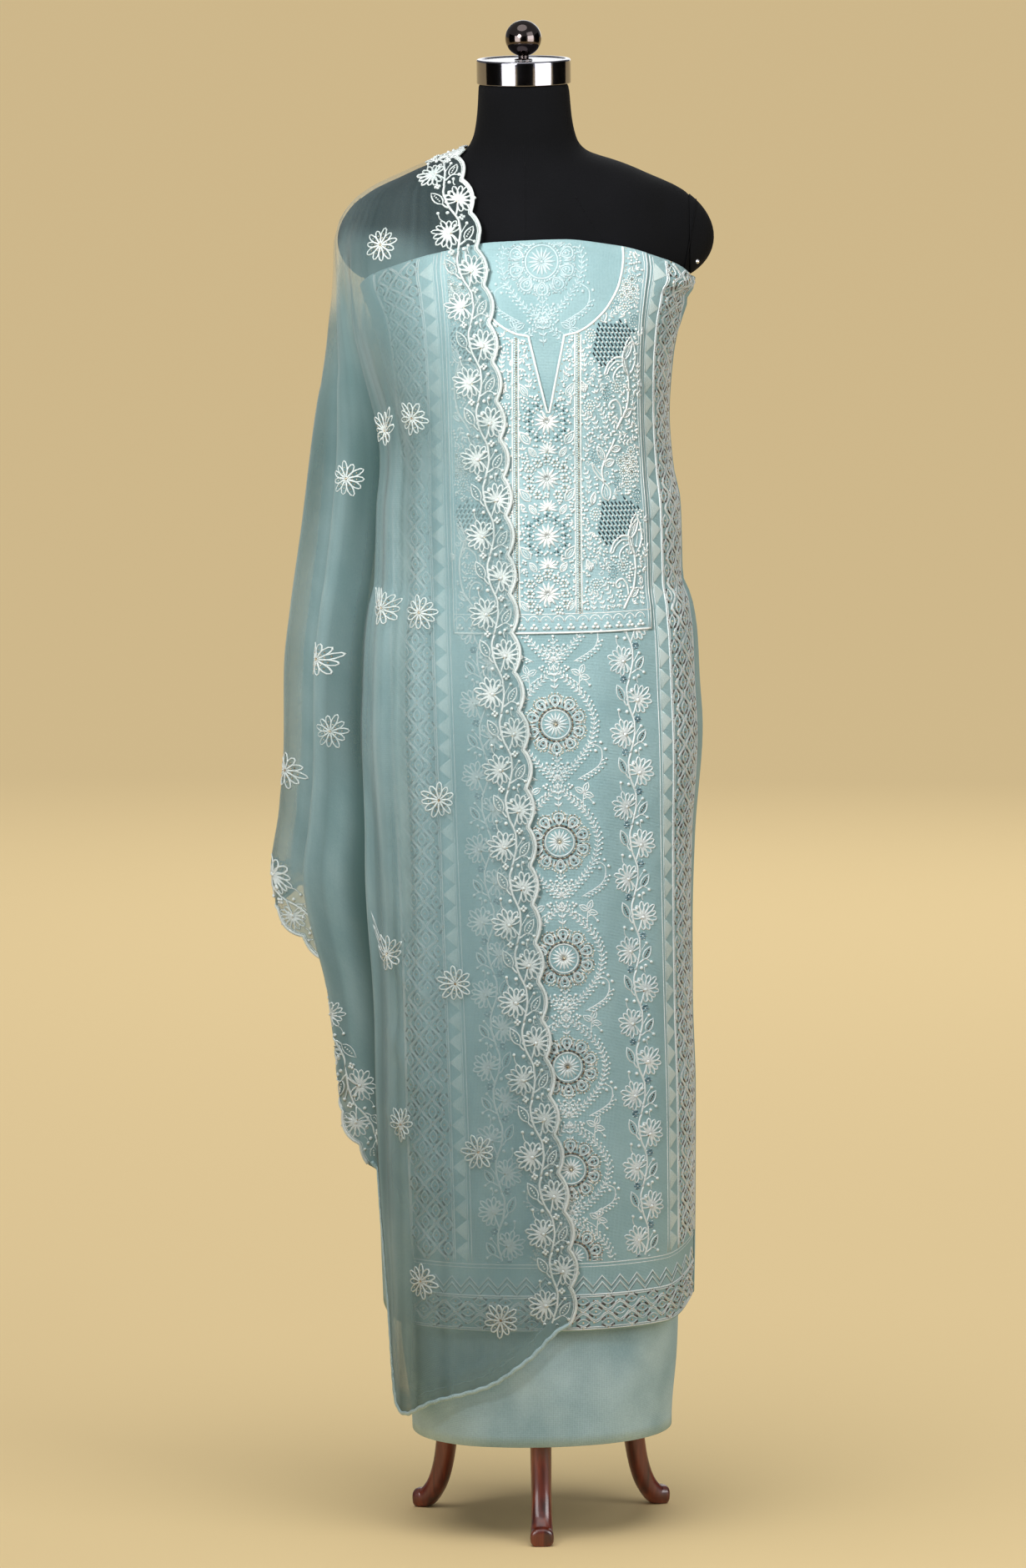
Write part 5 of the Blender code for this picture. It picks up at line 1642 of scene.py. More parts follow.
def clover() -> Stitching:
    """Returns four knots round a point."""
    made = Stitching()
    made.dots(ring_path(2.1 * MM, 4), 1.9 * MM)
    return made


def sequin_cluster() -> Stitching:
    """Returns a small flower of tilted sequins and seed beads."""
    made = Stitching()
    made.dots(ring_path(3.0 * MM, 6), 1.45 * MM, Layer.GLASS, SEQUIN)
    made.dots(ring_path(1.6 * MM, 4), 0.95 * MM, Layer.GLASS)
    made.dots(ring_path(4.3 * MM, 5), 0.8 * MM)
    made.dots([(0.0, 0.0)], 1.1 * MM)
    return made


def millimetres(*points: tuple[float, float]) -> list[tuple[float, float]]:
    """Turns points in millimetres to metres."""
    return [(x * MM, y * MM) for x, y in points]


VINE_REPEAT = 81.0 * MM
# The vine's stem over one repeat: distance up, and sideways place off the scalloped edge.
VINE_STEM = np.array([
    (-10.8, -24.8), (6.5, -19.8), (22.4, -16.2), (34.0, -16.2), (41.0, -18.4),
    (54.3, -23.2), (70.2, -24.8), (87.5, -19.8),
]) * MM


def vine_repeat(jewelled: bool) -> Stitching:
    """Returns one repeat of the flowering vine, two flowers high, left of an upright edge.

    Args:
        jewelled: with glass clusters and bead eyes, as on the kameez, instead of clovers.
    """
    made = Stitching()
    rise = np.linspace(0.0, VINE_REPEAT, 22)
    made.stroke(np.stack([read_one(VINE_STEM, rise), rise], axis=1), 3.0 * MM, 1.9 * MM)
    made.place(fan_flower(160.0), -28.5 * MM, 21.0 * MM)
    made.place(fan_flower(42.0), -11.6 * MM, 58.0 * MM)
    for stalk in (
        [(-27.0, 20.0), (-23.0, 16.0), (-18.6, 9.0)],
        [(-12.5, 57.0), (-14.5, 50.0), (-17.8, 41.0)],
        [(-19.8, 6.5), (-16.5, 8.0), (-12.5, 10.5)],
        [(-24.0, 52.0), (-26.5, 54.5), (-28.5, 58.0)],
    ):
        made.stroke(smooth_path(millimetres(*stalk), 3), 2.4 * MM, 1.5 * MM)
    eye = Layer.ANTIQUE if jewelled else Layer.THREAD
    made.place(dotted_leaf(17.0 * MM, 8.0 * MM, eye), -12.5 * MM, 10.5 * MM, -34.0)
    made.place(dotted_leaf(20.0 * MM, 9.0 * MM, eye), -28.5 * MM, 58.0 * MM, 24.0)
    for stalk in (
        [(-16.5, 18.0), (-12.5, 24.0), (-8.6, 29.0)],
        [(-11.5, 11.5), (-7.0, 10.0), (-3.6, 7.4)],
        [(-31.0, 36.0), (-35.0, 41.0), (-35.5, 48.5)],
        [(-11.0, 77.0), (-12.0, 81.0), (-10.5, 85.0)],
        [(-24.8, 66.0), (-20.5, 66.5), (-19.0, 68.5)],
    ):
        made.place(stalked_dot(millimetres(*stalk)))
    made.dots(millimetres((-25.8, 46.0), (-15.6, 1.5), (-20.8, 28.5)), 2.1 * MM)
    cluster = sequin_cluster() if jewelled else clover()
    made.place(cluster, -12.4 * MM, 37.0 * MM)
    made.place(cluster, -28.5 * MM, 1.0 * MM)
    return made


def leafy_line(
    path: np.ndarray, pitch: float, leaf: float, knots: bool = True, both: bool = True,
    stem: bool = True,
) -> Stitching:
    """Returns a stem with pairs of small leaves along it, pointing ahead.

    Args:
        path: its flat points.
        pitch: distance between one pair and the next.
        leaf: length of a leaf.
        knots: whether each leaf's tip carries a knot.
        both: whether the leaves stand on both sides, or on the right only.
        stem: whether the stem is stitched too.
    """
    made = Stitching()
    steps = lengths_along(path, 0)
    if stem:
        made.stroke(path, 1.1 * MM, 0.9 * MM)
    gone = pitch / 2
    while gone < steps[-1]:
        x, y = np.interp(gone, steps, path[:, 0]), np.interp(gone, steps, path[:, 1])
        ahead = gone + 0.4 * pitch
        way = math.degrees(math.atan2(
            np.interp(ahead, steps, path[:, 1]) - y, np.interp(ahead, steps, path[:, 0]) - x
        ))
        for side in ((-1.0, 1.0) if both else (-1.0,)):
            turn = way + side * 46.0
            made.leaf(x, y, turn, leaf, leaf * 0.52)
            if knots:
                made.dots(way_of(turn) * leaf * 1.25 + np.array([x, y]), 1.35 * MM)
        gone += pitch
    made.leaf(path[-1][0], path[-1][1], way, leaf, leaf * 0.5)
    return made


def daisy(radius: float, petals: int, eye: float = 2.2 * MM, centre: Layer = Layer.GOLD) -> Stitching:
    """Returns a full daisy of padded satin petals with a beaded eye."""
    made = Stitching()
    for index in range(petals):
        turn = 360.0 * index / petals
        made.leaf(*way_of(turn) * eye, turn, radius - eye, 2 * math.pi * radius / petals * 0.6)
    made.dots([(0.0, 0.0)], eye * 0.75, centre)
    made.dots(ring_path(eye, 7), 0.8 * MM, centre)
    return made


def ring_path(radius: float, points: int) -> np.ndarray:
    """Returns the points of a circle round the origin."""
    turn = np.linspace(0.0, 2 * math.pi, points, endpoint=False)
    return np.stack([np.cos(turn), np.sin(turn)], axis=1) * radius


def medallion() -> Stitching:
    """Returns the beaded medallion: a daisy in a corded ring inside ten looped fans."""
    made = Stitching()
    made.place(daisy(13.0 * MM, 16))
    made.stroke(ring_path(15.0 * MM, 32), 2.0 * MM, 1.7 * MM, closed=True)
    beads = ring_path(17.4 * MM, 44)
    made.dots(beads[::2], 1.5 * MM, Layer.ANTIQUE)
    made.dots(beads[1::2], 1.2 * MM, Layer.GOLD)
    fan = Stitching()
    high = np.array([0.0, 18.2 * MM])
    fan.stroke(loop(12.0 * MM, 9.4 * MM, 12, 0.9) + high, 1.9 * MM, 1.7 * MM, closed=True)
    fan.stroke(loop(6.8 * MM, 5.0 * MM, 8, 0.9) + high * 1.1, 1.4 * MM, 1.3 * MM, closed=True)
    fan.dots([(0.0, 23.4 * MM)], 1.5 * MM, Layer.ANTIQUE)
    rim = loop(14.6 * MM, 12.4 * MM, 18, 0.9)[4:15] + high * 0.96
    fan.dots(rim, 1.0 * MM, Layer.GOLD)
    fan.dots(rim[::2] + np.array([0.0, 1.1 * MM]), 1.05 * MM)
    fan.dots([(0.0, 27.4 * MM)], 1.2 * MM, Layer.ANTIQUE)
    fan.leaf(5.9 * MM, 19.6 * MM, 74.0, 7.5 * MM, 2.4 * MM)
    for foot, tip in (((4.3, 20.0), (5.9, 25.0)), ((-4.3, 20.0), (-5.9, 25.0))):
        fan.stroke(millimetres(foot, tip), 1.6 * MM, 1.4 * MM, layer=Layer.ANTIQUE)
    fan.dots([(8.4 * MM, 28.6 * MM)], 1.1 * MM)
    for index in range(10):
        made.place(fan, turn=36.0 * index)
    return made


def three_leaf_sprig() -> Stitching:
    """Returns a sprig with three broad leaves and two curled knots, growing up."""
    made = Stitching()
    made.stroke(smooth_path(millimetres((0, 0), (0.5, 7), (2.0, 15), (3.5, 20))), 1.6 * MM, 1.3 * MM)
    for x, y, turn in ((3.5, 19.0, 62.0), (2.5, 18.0, 142.0), (3.0, 16.5, -22.0)):
        made.place(outlined_leaf(10.0 * MM, 5.6 * MM, False), x * MM, y * MM, turn - 90.0)
        made.leaf(x * MM, y * MM, turn, 8.0 * MM, 2.2 * MM)
    made.place(stalked_dot(millimetres((0.6, 8), (-5, 13.5), (-11, 17.5)), 1.7 * MM))
    made.place(stalked_dot(millimetres((1.0, 11), (6, 12.5), (11.0, 6)), 1.7 * MM))
    return made


def spiral(radius: float, turns: float, side: float = 1.0) -> np.ndarray:
    """Returns a spiral that winds in to the origin."""
    angle = np.linspace(0.0, 2 * math.pi * turns, int(10 * turns) + 2)
    reach = radius * (1 - angle / angle[-1] * 0.86)
    return np.stack([side * np.cos(angle) * reach, np.sin(angle) * reach], axis=1)


def inside(outline: np.ndarray, points: np.ndarray) -> np.ndarray:
    """Tells which flat points lie inside a closed outline."""
    found = np.zeros(len(points), bool)
    for (ax, ay), (bx, by) in zip(outline, np.roll(outline, -1, axis=0)):
        crosses = (ay > points[:, 1]) != (by > points[:, 1])
        reach = (bx - ax) * (points[:, 1] - ay) / (by - ay + 1e-15) + ax
        found ^= crosses & (points[:, 0] < reach)
    return found


def scattered(centre: tuple[float, float], radii: tuple[float, float], pitch: float) -> np.ndarray:
    """Returns points packed in rings inside an ellipse, a cluster of beads."""
    made = [np.array([[0.0, 0.0]])]
    rings = int(min(radii) / pitch)
    for index in range(1, rings + 1):
        share = index / rings
        count = max(5, int(2 * math.pi * share * (radii[0] + radii[1]) / 2 / pitch))
        turn = np.linspace(0.0, 2 * math.pi, count, endpoint=False) + index
        made.append(np.stack([np.cos(turn) * radii[0], np.sin(turn) * radii[1]], axis=1) * share)
    return np.concatenate(made) + np.array(centre)


def outlined_leaf(
    length: float, width: float, double: bool = True, cord: float = 1.7 * MM
) -> Stitching:
    """Returns a corded leaf outline, with a second outline inside it, pointing up."""
    made = Stitching()
    made.stroke(almond(length, width, 12), cord, cord * 0.9, closed=True)
    if double:
        inner = almond(length * 0.62, width * 0.36) + np.array([0.0, length * 0.16])
        made.stroke(inner, 1.3 * MM, 1.2 * MM, closed=True)
    return made


def wavy_lattice(
    width: float, height: float, cell: float, row: float, seed: int,
    lost_jewels: float = 0.22, lost_beads: float = 0.20,
) -> Stitching:
    """Returns a trellis of eyes: mirrored wavy lines with a beaded eye in every opening.

    Args:
        width: its size along the waves.
        height: its size across them.
        cell: length of a wave.
        row: distance between one line and the next.
        seed: picks which beads are missing.
        lost_jewels: share of the long dark beads that are missing.
        lost_beads: share of the small gold ones that are.

    Returns:
        The trellis, with its lower left corner at the origin.
    """
    made = Stitching()
    draws = random.Random(seed)
    rows = round(height / row)
    row = height / rows
    swing = row * 0.42
    along = np.append(np.arange(0.0, width, cell / 6), width)
    for index in range(rows + 1):
        sign = 0.0 if index in (0, rows) else 1.0 if index % 2 else -1.0
        line = index * row + sign * swing * np.cos(2 * math.pi * along / cell)
        for side in (-1.0 * MM, 1.0 * MM):
            made.stroke(np.stack([along, line + side], axis=1), 1.7 * MM, 2.0 * MM)
    for index in range(rows):
        start = 0.0 if index % 2 == 0 else 0.5
        count = int(width / cell + 1.001 - start)
        for step in range(count):
            x, y = (start + step) * cell, (index + 0.5) * row
            if not cell * 0.3 < x < width - cell * 0.3:
                continue
            for a, b in ((-1, -1), (-1, 1), (1, -1), (1, 1)):
                if draws.random() < lost_jewels:
                    continue
                inner = (x + a * cell * 0.11, y + b * row * 0.44)
                outer = (x + a * cell * 0.27, y + b * row * 0.20)
                made.stroke([inner, outer], 2.2 * MM, 2.0 * MM, layer=Layer.ANTIQUE)
            rim = [(0.25, 0.0), (0.12, 0.25), (0.0, 0.33), (-0.12, 0.25)]
            rim += [(-a, -b) for a, b in rim]
            made.stroke([(x + a * cell, y + b * row) for a, b in rim], 1.5 * MM, 2.0 * MM, closed=True)
            made.dots([(x, y)], 1.3 * MM, Layer.GOLD)
            beads = [(x - cell * 0.42, y), (x + cell * 0.42, y)]
            beads += [(x, y - row * 0.52), (x, y + row * 0.52)]
            made.dots([bead for bead in beads if draws.random() > lost_beads], 1.15 * MM, Layer.GOLD)
    return made


def zigzag(width: float, pitch: float, swing: float, x: float = 0.0, y: float = 0.0) -> np.ndarray:
    """Returns a zigzag line that starts at its valley."""
    count = int(width / (pitch / 2)) + 1
    steps = np.arange(count)
    return np.stack([x + steps * pitch / 2, y + np.where(steps % 2, swing, -swing)], axis=1)


class Filler:
    """Small leaves, knots and curls strewn between the larger figures of a panel."""

    leaf_share = 0.50
    knot_share = 0.28

    def __init__(self, figures: Stitching, cell: float, seed: int) -> None:
        """Marks the ground that figures already cover.

        Args:
            figures: the figures.
            cell: size of the squares in which ground counts as covered.
            seed: picks what is strewn and where.
        """
        self.cell = cell
        self.draws = random.Random(seed)
        self.busy: set[tuple[int, int]] = set()
        self.mark(figures)

    def cells(self, points: np.ndarray) -> set[tuple[int, int]]:
        """Returns the cells of ground that points lie in."""
        return set(map(tuple, np.floor(points[:, :2] / self.cell).astype(int).tolist()))

    def mark(self, figures: Stitching) -> None:
        """Marks the ground under figures as covered."""
        for _, points, _ in figures.bodies():
            self.busy |= self.cells(points)

    def free(self, x: float, y: float, reach: int) -> bool:
        """Tells whether the ground round a point is bare."""
        column, row = math.floor(x / self.cell), math.floor(y / self.cell)
        around = range(-reach, reach + 1)
        return all((column + a, row + b) not in self.busy for a in around for b in around)

    def fits(self, figure: Stitching) -> bool:
        """Tells whether a placed figure touches nothing that is there."""
        return self.busy.isdisjoint(self.cells(figure.merged(Layer.THREAD)[0]))

    def twig(self) -> Stitching:
        """Returns a curved twig with pairs of leaves, growing from the origin."""
        turn = self.draws.uniform(0.0, 360.0)
        bend = self.draws.uniform(-5.0, 5.0)
        long = self.draws.uniform(9.0, 16.0)
        path = smooth_path(millimetres((0, 0), (bend * 0.3, long / 2), (bend, long)), 3)
        made = Stitching()
        made.place(leafy_line(path, 5.2 * MM, 5.8 * MM, knots=False), turn=turn)
        return made

    def sprig(self) -> Stitching:
        """Returns one small figure at the origin."""
        made = Stitching()
        kind, turn = self.draws.random(), self.draws.uniform(0.0, 360.0)
        if kind < self.leaf_share:
            for side in (-52.0, 0.0, 52.0):
                made.leaf(0.0, 0.0, turn + side, self.draws.uniform(4.8, 6.4) * MM, 2.7 * MM)
        elif kind < self.leaf_share + self.knot_share:
            made.dots(moved(ring_path(1.9 * MM, 3), turn), 1.4 * MM)
        else:
            curl = spiral(3.2 * MM, 1.2, self.draws.choice((-1.0, 1.0)))
            made.stroke(moved(curl, turn), 1.3 * MM, 1.1 * MM)
        return made

    def strew(
        self, low: tuple[float, float], high: tuple[float, float],
        allowed: Callable[[np.ndarray], np.ndarray], tries: int,
    ) -> Stitching:
        """Returns figures strewn over the bare ground of a rectangle.

        Args:
            low: its lower left corner.
            high: its upper right corner.
            allowed: tells which flat points may carry a figure.
            tries: places tried.
        """
        made = Stitching()
        spots = np.array([
            (self.draws.uniform(low[0], high[0]), self.draws.uniform(low[1], high[1]))
            for _ in range(tries)
        ])
        spots = spots[allowed(spots)].tolist()
        for x, y in spots[: len(spots) // 3]:
            if self.free(x, y, 1):
                placed = Stitching()
                placed.place(self.twig(), x, y)
                if self.fits(placed) and allowed(placed.merged(Layer.THREAD)[0][:, :2]).all():
                    self.mark(placed)
                    made.join(placed)
        for x, y in spots[len(spots) // 3:]:
            if self.free(x, y, 2):
                placed = Stitching()
                placed.place(self.sprig(), x, y)
                self.mark(placed)
                made.join(placed)
            elif self.free(x, y, 1):
                made.dots([(x, y)], 1.5 * MM)
                self.busy |= self.cells(np.array([[x, y]]))
        return made


# ---------------------------------------------------------------- the lengths of cloth
@dataclass
class Salwar:
    """The plain cotton length, wrapped once round the hips and lapped at the back."""

    hem: float = 0.102
    waist: float = 1.060
    lap: float = 24.0
    lap_step: float = 2.6 * MM
    wave: float = 1.8 * MM
    cloth: float = 1.2 * MM
    flat: tuple[float, float] = (0.98, 0.958)
    folds: list[Crease] = field(default_factory=lambda: creases(
        (36, 0.30, -14, 0.13, 2.4, 30.0), (-30, 0.28, 6, 0.17, 1.8, 24.0),
        (60, 0.24, 28, 0.105, 2.0, 18.0), (-62, 0.30, -34, 0.12, 2.2, 22.0),
        (14, 0.26, 20, 0.10, -1.8, 20.0), (-8, 0.30, -20, 0.11, -1.6, 18.0),
        (96, 0.34, 72, 0.12, 2.2, 24.0), (-100, 0.34, -76, 0.13, 2.0, 24.0),
        (140, 0.60, 128, 0.14, 2.6, 26.0), (-140, 0.56, -132, 0.14, 2.6, 26.0),
        (204, 0.52, 210, 0.12, 2.2, 22.0), (164, 0.44, 158, 0.12, -2.0, 20.0),
    ))

    def place(self, across: np.ndarray, up: np.ndarray) -> tuple[np.ndarray, np.ndarray]:
        """Returns points of the outer face for shares round it and up it."""
        gone = across * (360.0 + self.lap)
        heading = 180.0 - self.lap / 2 + gone
        height = self.hem + (self.waist - self.hem) * up
        lapped = ramped(gone, 360.0 - self.lap, 360.0) - 1 + eased(gone / self.lap)
        wave = self.wave * np.sin(np.radians(3 * heading)) * ramped(height, 0.25, 0.10)
        body = wrapped(heading)
        radius = section_radius(SALWAR_SECTIONS, heading, height) + wave
        radius += self.lap_step * lapped * 0.5
        radius += crease_relief(body, height, self.folds)
        radius += crease_relief(body + 360.0, height, self.folds)
        return at_heading(heading, radius, height), np.stack([across * self.flat[0], height], axis=-1)

    def build(self) -> None:
        """Makes the cloth."""
        cotton = WovenCloth(
            "salwar_cotton", "#c6e2ea", "#a0c2cd", 1.5 * MM, 0.35 * MM, 0.85, 0.12,
            clouds=(0.50, 0.88),
        ).material()
        mesh = mesh_of(laid_sheet(120, 80, self.place), "salwar_cloth")
        cloth = finish_piece(mesh, cotton, Slot.SALWAR, "salwar_wrap")
        thicken(cloth, self.cloth)


class KameezForm:
    """The shape of the hanging kameez, shared by its panels, its yoke and the dupatta on it."""

    hem = 0.226
    top = 1.364
    panel_half = 0.185
    pleat_pitch = 40.0
    pleat_depth = 5.0 * MM
    folds = creases(
        (30, 1.05, 24, 0.62, 1.4, 20.0), (-34, 1.02, -26, 0.50, 1.6, 22.0),
        (4, 0.92, 6, 0.40, 1.2, 24.0), (-58, 0.96, -52, 0.30, 2.0, 22.0),
        (-46, 0.90, -40, 0.26, -1.4, 18.0), (48, 0.98, 52, 0.36, 1.5, 22.0),
        (-70, 1.24, -96, 1.32, 2.2, 10.0), (-66, 1.27, -90, 1.345, -1.6, 8.0),
        (-78, 1.04, -84, 0.60, -2.0, 20.0), (-20, 0.60, -12, 0.24, -1.2, 20.0),
        (16, 0.70, 18, 0.24, -1.2, 20.0), (80, 1.00, 84, 0.50, 1.8, 22.0),
        (-60, 1.318, -94, 1.306, 4.5, 6.5), (-60, 1.306, -94, 1.293, -3.5, 6.0),
    )

    def __init__(self) -> None:
        """Measures the girth, to turn distances along the cloth into headings."""
        self.heights = np.linspace(self.hem, self.top, 130)
        headings = np.arange(-180.0, 180.1, 1.5)
        radii = section_radius(KAMEEZ_SECTIONS, headings[None, :], self.heights[:, None])
        ring = at_heading(headings[None, :], radii, self.heights[:, None])
        run = lengths_along(ring, 1)
        run -= run[:, len(headings) // 2][:, None]
        self.distances = np.linspace(-0.42, 0.42, 169)
        self.headings = np.array([np.interp(self.distances, row, headings) for row in run])

    def heading(self, across: np.ndarray, nominal: np.ndarray) -> np.ndarray:
        """Returns the heading of a point of the panel.

        Args:
            across: distance along the cloth from the panel's middle line, + to the wearer's left.
            nominal: height of the point's row, before the row is bent.
        """
        distance = read_one(PANEL_LINE, nominal) - across
        return read_grid(self.headings, self.distances, self.heights, distance, nominal)

    def height(self, heading: np.ndarray, nominal: np.ndarray) -> np.ndarray:
        """Returns the height of a row where it follows the upper edge and the hem."""
        heading = wrapped(heading)
        drop = read_one(TOP_DROP, heading) * ramped(nominal, 1.22, self.top)
        rise = read_one(HEM_RISE, heading) * ramped(nominal, 0.42, self.hem)
        return nominal - drop + rise

    def relief(self, heading: np.ndarray, height: np.ndarray) -> np.ndarray:
        """Returns how far creases lift the cloth; the back hangs in soft upright pleats."""
        around = heading % 360.0
        pleat = ramped(height, 1.02, 0.52) * window(around, 100, 140, 220, 260)
        pleat = pleat * (1 + np.cos(2 * np.pi * around / self.pleat_pitch)) / 2
        return crease_relief(wrapped(heading), height, self.folds) - self.pleat_depth * pleat

    def point(self, heading: np.ndarray, nominal: np.ndarray, out: float = 0.0) -> np.ndarray:
        """Returns a point of the outer face."""
        height = self.height(heading, nominal)
        radius = section_radius(KAMEEZ_SECTIONS, heading, height)
        return at_heading(heading, radius + out + self.relief(heading, height), height)

    def cloth_map(self, half: float, low: float, high: float, out: float = 0.0) -> ClothMap:
        """Returns the map of a part of the front panel, for embroidery."""
        across = np.linspace(-half, half, int(half * 2 / 0.003) + 2)
        up = np.linspace(low, high, int((high - low) / 0.004) + 2)
        grid_across, grid_up = np.meshgrid(across, up)
        heading = self.heading(grid_across, grid_up)
        return ClothMap(across, up, self.point(heading, grid_up, out))


KAMEEZ = KameezForm()


def sewn_on(
    work: Stitching, name: str, thread: bpy.types.Material, slot: Slot,
    glass_tones: tuple[str, str] = ("#8fb0ba", "#4a6f7c"),
    antique_tones: tuple[str, str] = ("#83786d", "#352b26"),
) -> list[bpy.types.Object]:
    """Makes a garment's thread and each kind of bead a piece of its own.

    Args:
        work: the stitches, laid on their cloth.
        name: the garment's name, the start of each piece's name.
        thread: the thread's finish.
        slot: the record's slot for the thread.
        glass_tones: light and dark tone of its glass beads.
        antique_tones: light and dark tone of its dark beads.

    Returns:
        The pieces.
    """
    made = [finish_piece(work.mesh(f"{name}_thread"), thread, slot)]
    for layer, tones, metallic, roughness in (
        (Layer.GOLD, ("#e6dac2", "#8d7350"), 0.45, 0.28),
        (Layer.GLASS, glass_tones, 0.10, 0.30),
        (Layer.ANTIQUE, antique_tones, 0.30, 0.25),
    ):
        beads = work.mesh(f"{name}_{layer.value}_beads", layer)
        if beads is not None:
            gloss = BeadGloss(f"{name}_{layer.value}", *tones, metallic, roughness)
            made.append(finish_piece(beads, gloss.material(), slot))
    return made


@dataclass
class Kameez:
    """The kameez length: an embroidered front panel and a plain back panel."""

    cloth: float = 1.2 * MM
    seam: float = 0.3 * MM
    lines: float = 110.0 * MM
    triangle: float = 22.0 * MM
    column: float = -3.0 * MM
    medallions: tuple[float, ...] = (986.0, 863.0, 740.0, 618.0, 504.0, 396.0, 303.0)  # heights, mm
    last_pitch: float = 77.0  # down from the lowest of them, half hidden by the hem band
    pitch: float = 123.0  # the usual distance between two, in mm
    hem_line: float = 299.0 * MM
    vine: float = 97.0 * MM
    vine_size: float = 0.94
    vine_start: float = 830.0 * MM
    neck_medallion: float = 1342.0 * MM
    flat_front: tuple[float, float] = (0.37, 1.138)
    flat_back: tuple[float, float] = (0.60, 1.10)

    def front_place(self, across: np.ndarray, up: np.ndarray) -> tuple[np.ndarray, np.ndarray]:
        """Returns points of the front panel for shares across and up it."""
        place = (2 * across - 1) * KAMEEZ.panel_half
        nominal = KAMEEZ.hem + (KAMEEZ.top - KAMEEZ.hem) * up
        flat = np.stack([place, nominal], axis=-1)
        return KAMEEZ.point(KAMEEZ.heading(place, nominal), nominal), flat

    def back_place(self, across: np.ndarray, up: np.ndarray) -> tuple[np.ndarray, np.ndarray]:
        """Returns points of the back panel, from the dupatta's side round to the other."""
        nominal = KAMEEZ.hem + (KAMEEZ.top - KAMEEZ.hem) * up
        side = np.full_like(nominal, KAMEEZ.panel_half + self.seam)
        begin = KAMEEZ.heading(-side, nominal)
        end = KAMEEZ.heading(side, nominal) + 360.0
        flat = np.stack([across * self.flat_back[0], nominal], axis=-1)
        return KAMEEZ.point(begin + (end - begin) * across, nominal), flat

    def ogee(self, pitch: float) -> Stitching:
        """Returns the leafy frame round one medallion, with its crown, sprigs and tendrils."""
        made = Stitching()
        scale = np.array([1.0, pitch / self.pitch]) * MM
        foot = np.array([0.0, -58.0]) * scale
        frame_line = [
            (0.5, -61.0), (3.0, -57.0), (11.0, -49.0), (25.0, -34.0), (35.0, -19.0), (39.5, -1.0),
            (38.0, 9.0), (31.0, 26.0), (18.0, 40.0), (8.0, 50.0), (2.5, 58.0),
        ]
        path = smooth_path(np.array(frame_line) * scale, 3)
        half = leafy_line(path, 5.0 * MM, 5.2 * MM, both=False)
        half.join(leafy_line(path[:-1], 5.0 * MM, 4.8 * MM, knots=False, stem=False))
        half.place(three_leaf_sprig(), *np.array([26.0, 33.0]) * scale, 6.0)
        curl_line = [
            (33.0, -21.0), (40.0, -22.5), (46.0, -27.0), (46.5, -36.0), (43.0, -44.0),
            (35.0, -50.0), (28.0, -54.0), (21.0, -58.0),
        ]
        curl = smooth_path(np.array(curl_line) * scale, 3)
        half.stroke(curl, 1.6 * MM, 1.3 * MM)
        half.join(leafy_line(curl[10:][::-1], 4.2 * MM, 4.6 * MM, both=False, stem=False))
        half.dots(np.array([(45.5, -20.0), (50.0, -27.0), (40.0, -28.5)]) * scale, 1.9 * MM)
        half.dots(np.array([(11.5, 60.5), (14.8, 59.0), (12.8, 57.0)]) * scale, 1.7 * MM)
        made.join(half)
        made.place(half, mirror=True)
        for turn, length in ((0.0, 21.0), (-32.0, 15.0), (32.0, 15.0)):
            way = way_of(90.0 + turn)
            stem = np.outer(np.linspace(0.0, length * MM, 6), way)
            made.join(leafy_line(stem + foot, 5.2 * MM, 4.6 * MM))
            made.dots(way * (length + 5.5) * MM + foot, 1.8 * MM)
        stem = np.array([(0.0, 34.0), (0.0, 40.0), (0.0, 47.0), (0.0, 54.0)]) * scale
        made.join(leafy_line(stem, 6.5 * MM, 6.0 * MM, knots=False))
        return made

    def side_band(self, low: float, high: float, seed: int) -> Stitching:
        """Returns the right side's lines and its beaded trellis out to the panel's edge."""
        made = Stitching()
        for place, width in ((self.lines, 1.5), (self.lines + 3.4 * MM, 1.1)):
            made.stroke(np.linspace((place, low), (place, high), 80), width * MM)
        edge = self.lines + 19.0 * MM
        lattice = wavy_lattice(high - low, KAMEEZ.panel_half - edge - 2 * MM, 26 * MM, 12.6 * MM, seed)
        made.place(lattice, KAMEEZ.panel_half - 1.5 * MM, low, 90.0)
        return made

    def triangles(self, low: float, high: float) -> Stitching:
        """Returns the self-coloured band of pointed satin teeth beside the lines."""
        made = Stitching()
        inner, tip = self.lines + 4.2 * MM, self.lines + 18.0 * MM
        for index in range(int((high - low) / self.triangle)):
            middle = low + (index + 0.5) * self.triangle
            foot, top = middle - self.triangle / 2, middle + self.triangle / 2
            tooth = [(inner, foot), (tip, middle), (inner, top)]
            made.patch(tooth, 0.35 * MM)
            made.stroke(tooth, 1.0 * MM, 0.9 * MM)
        return made

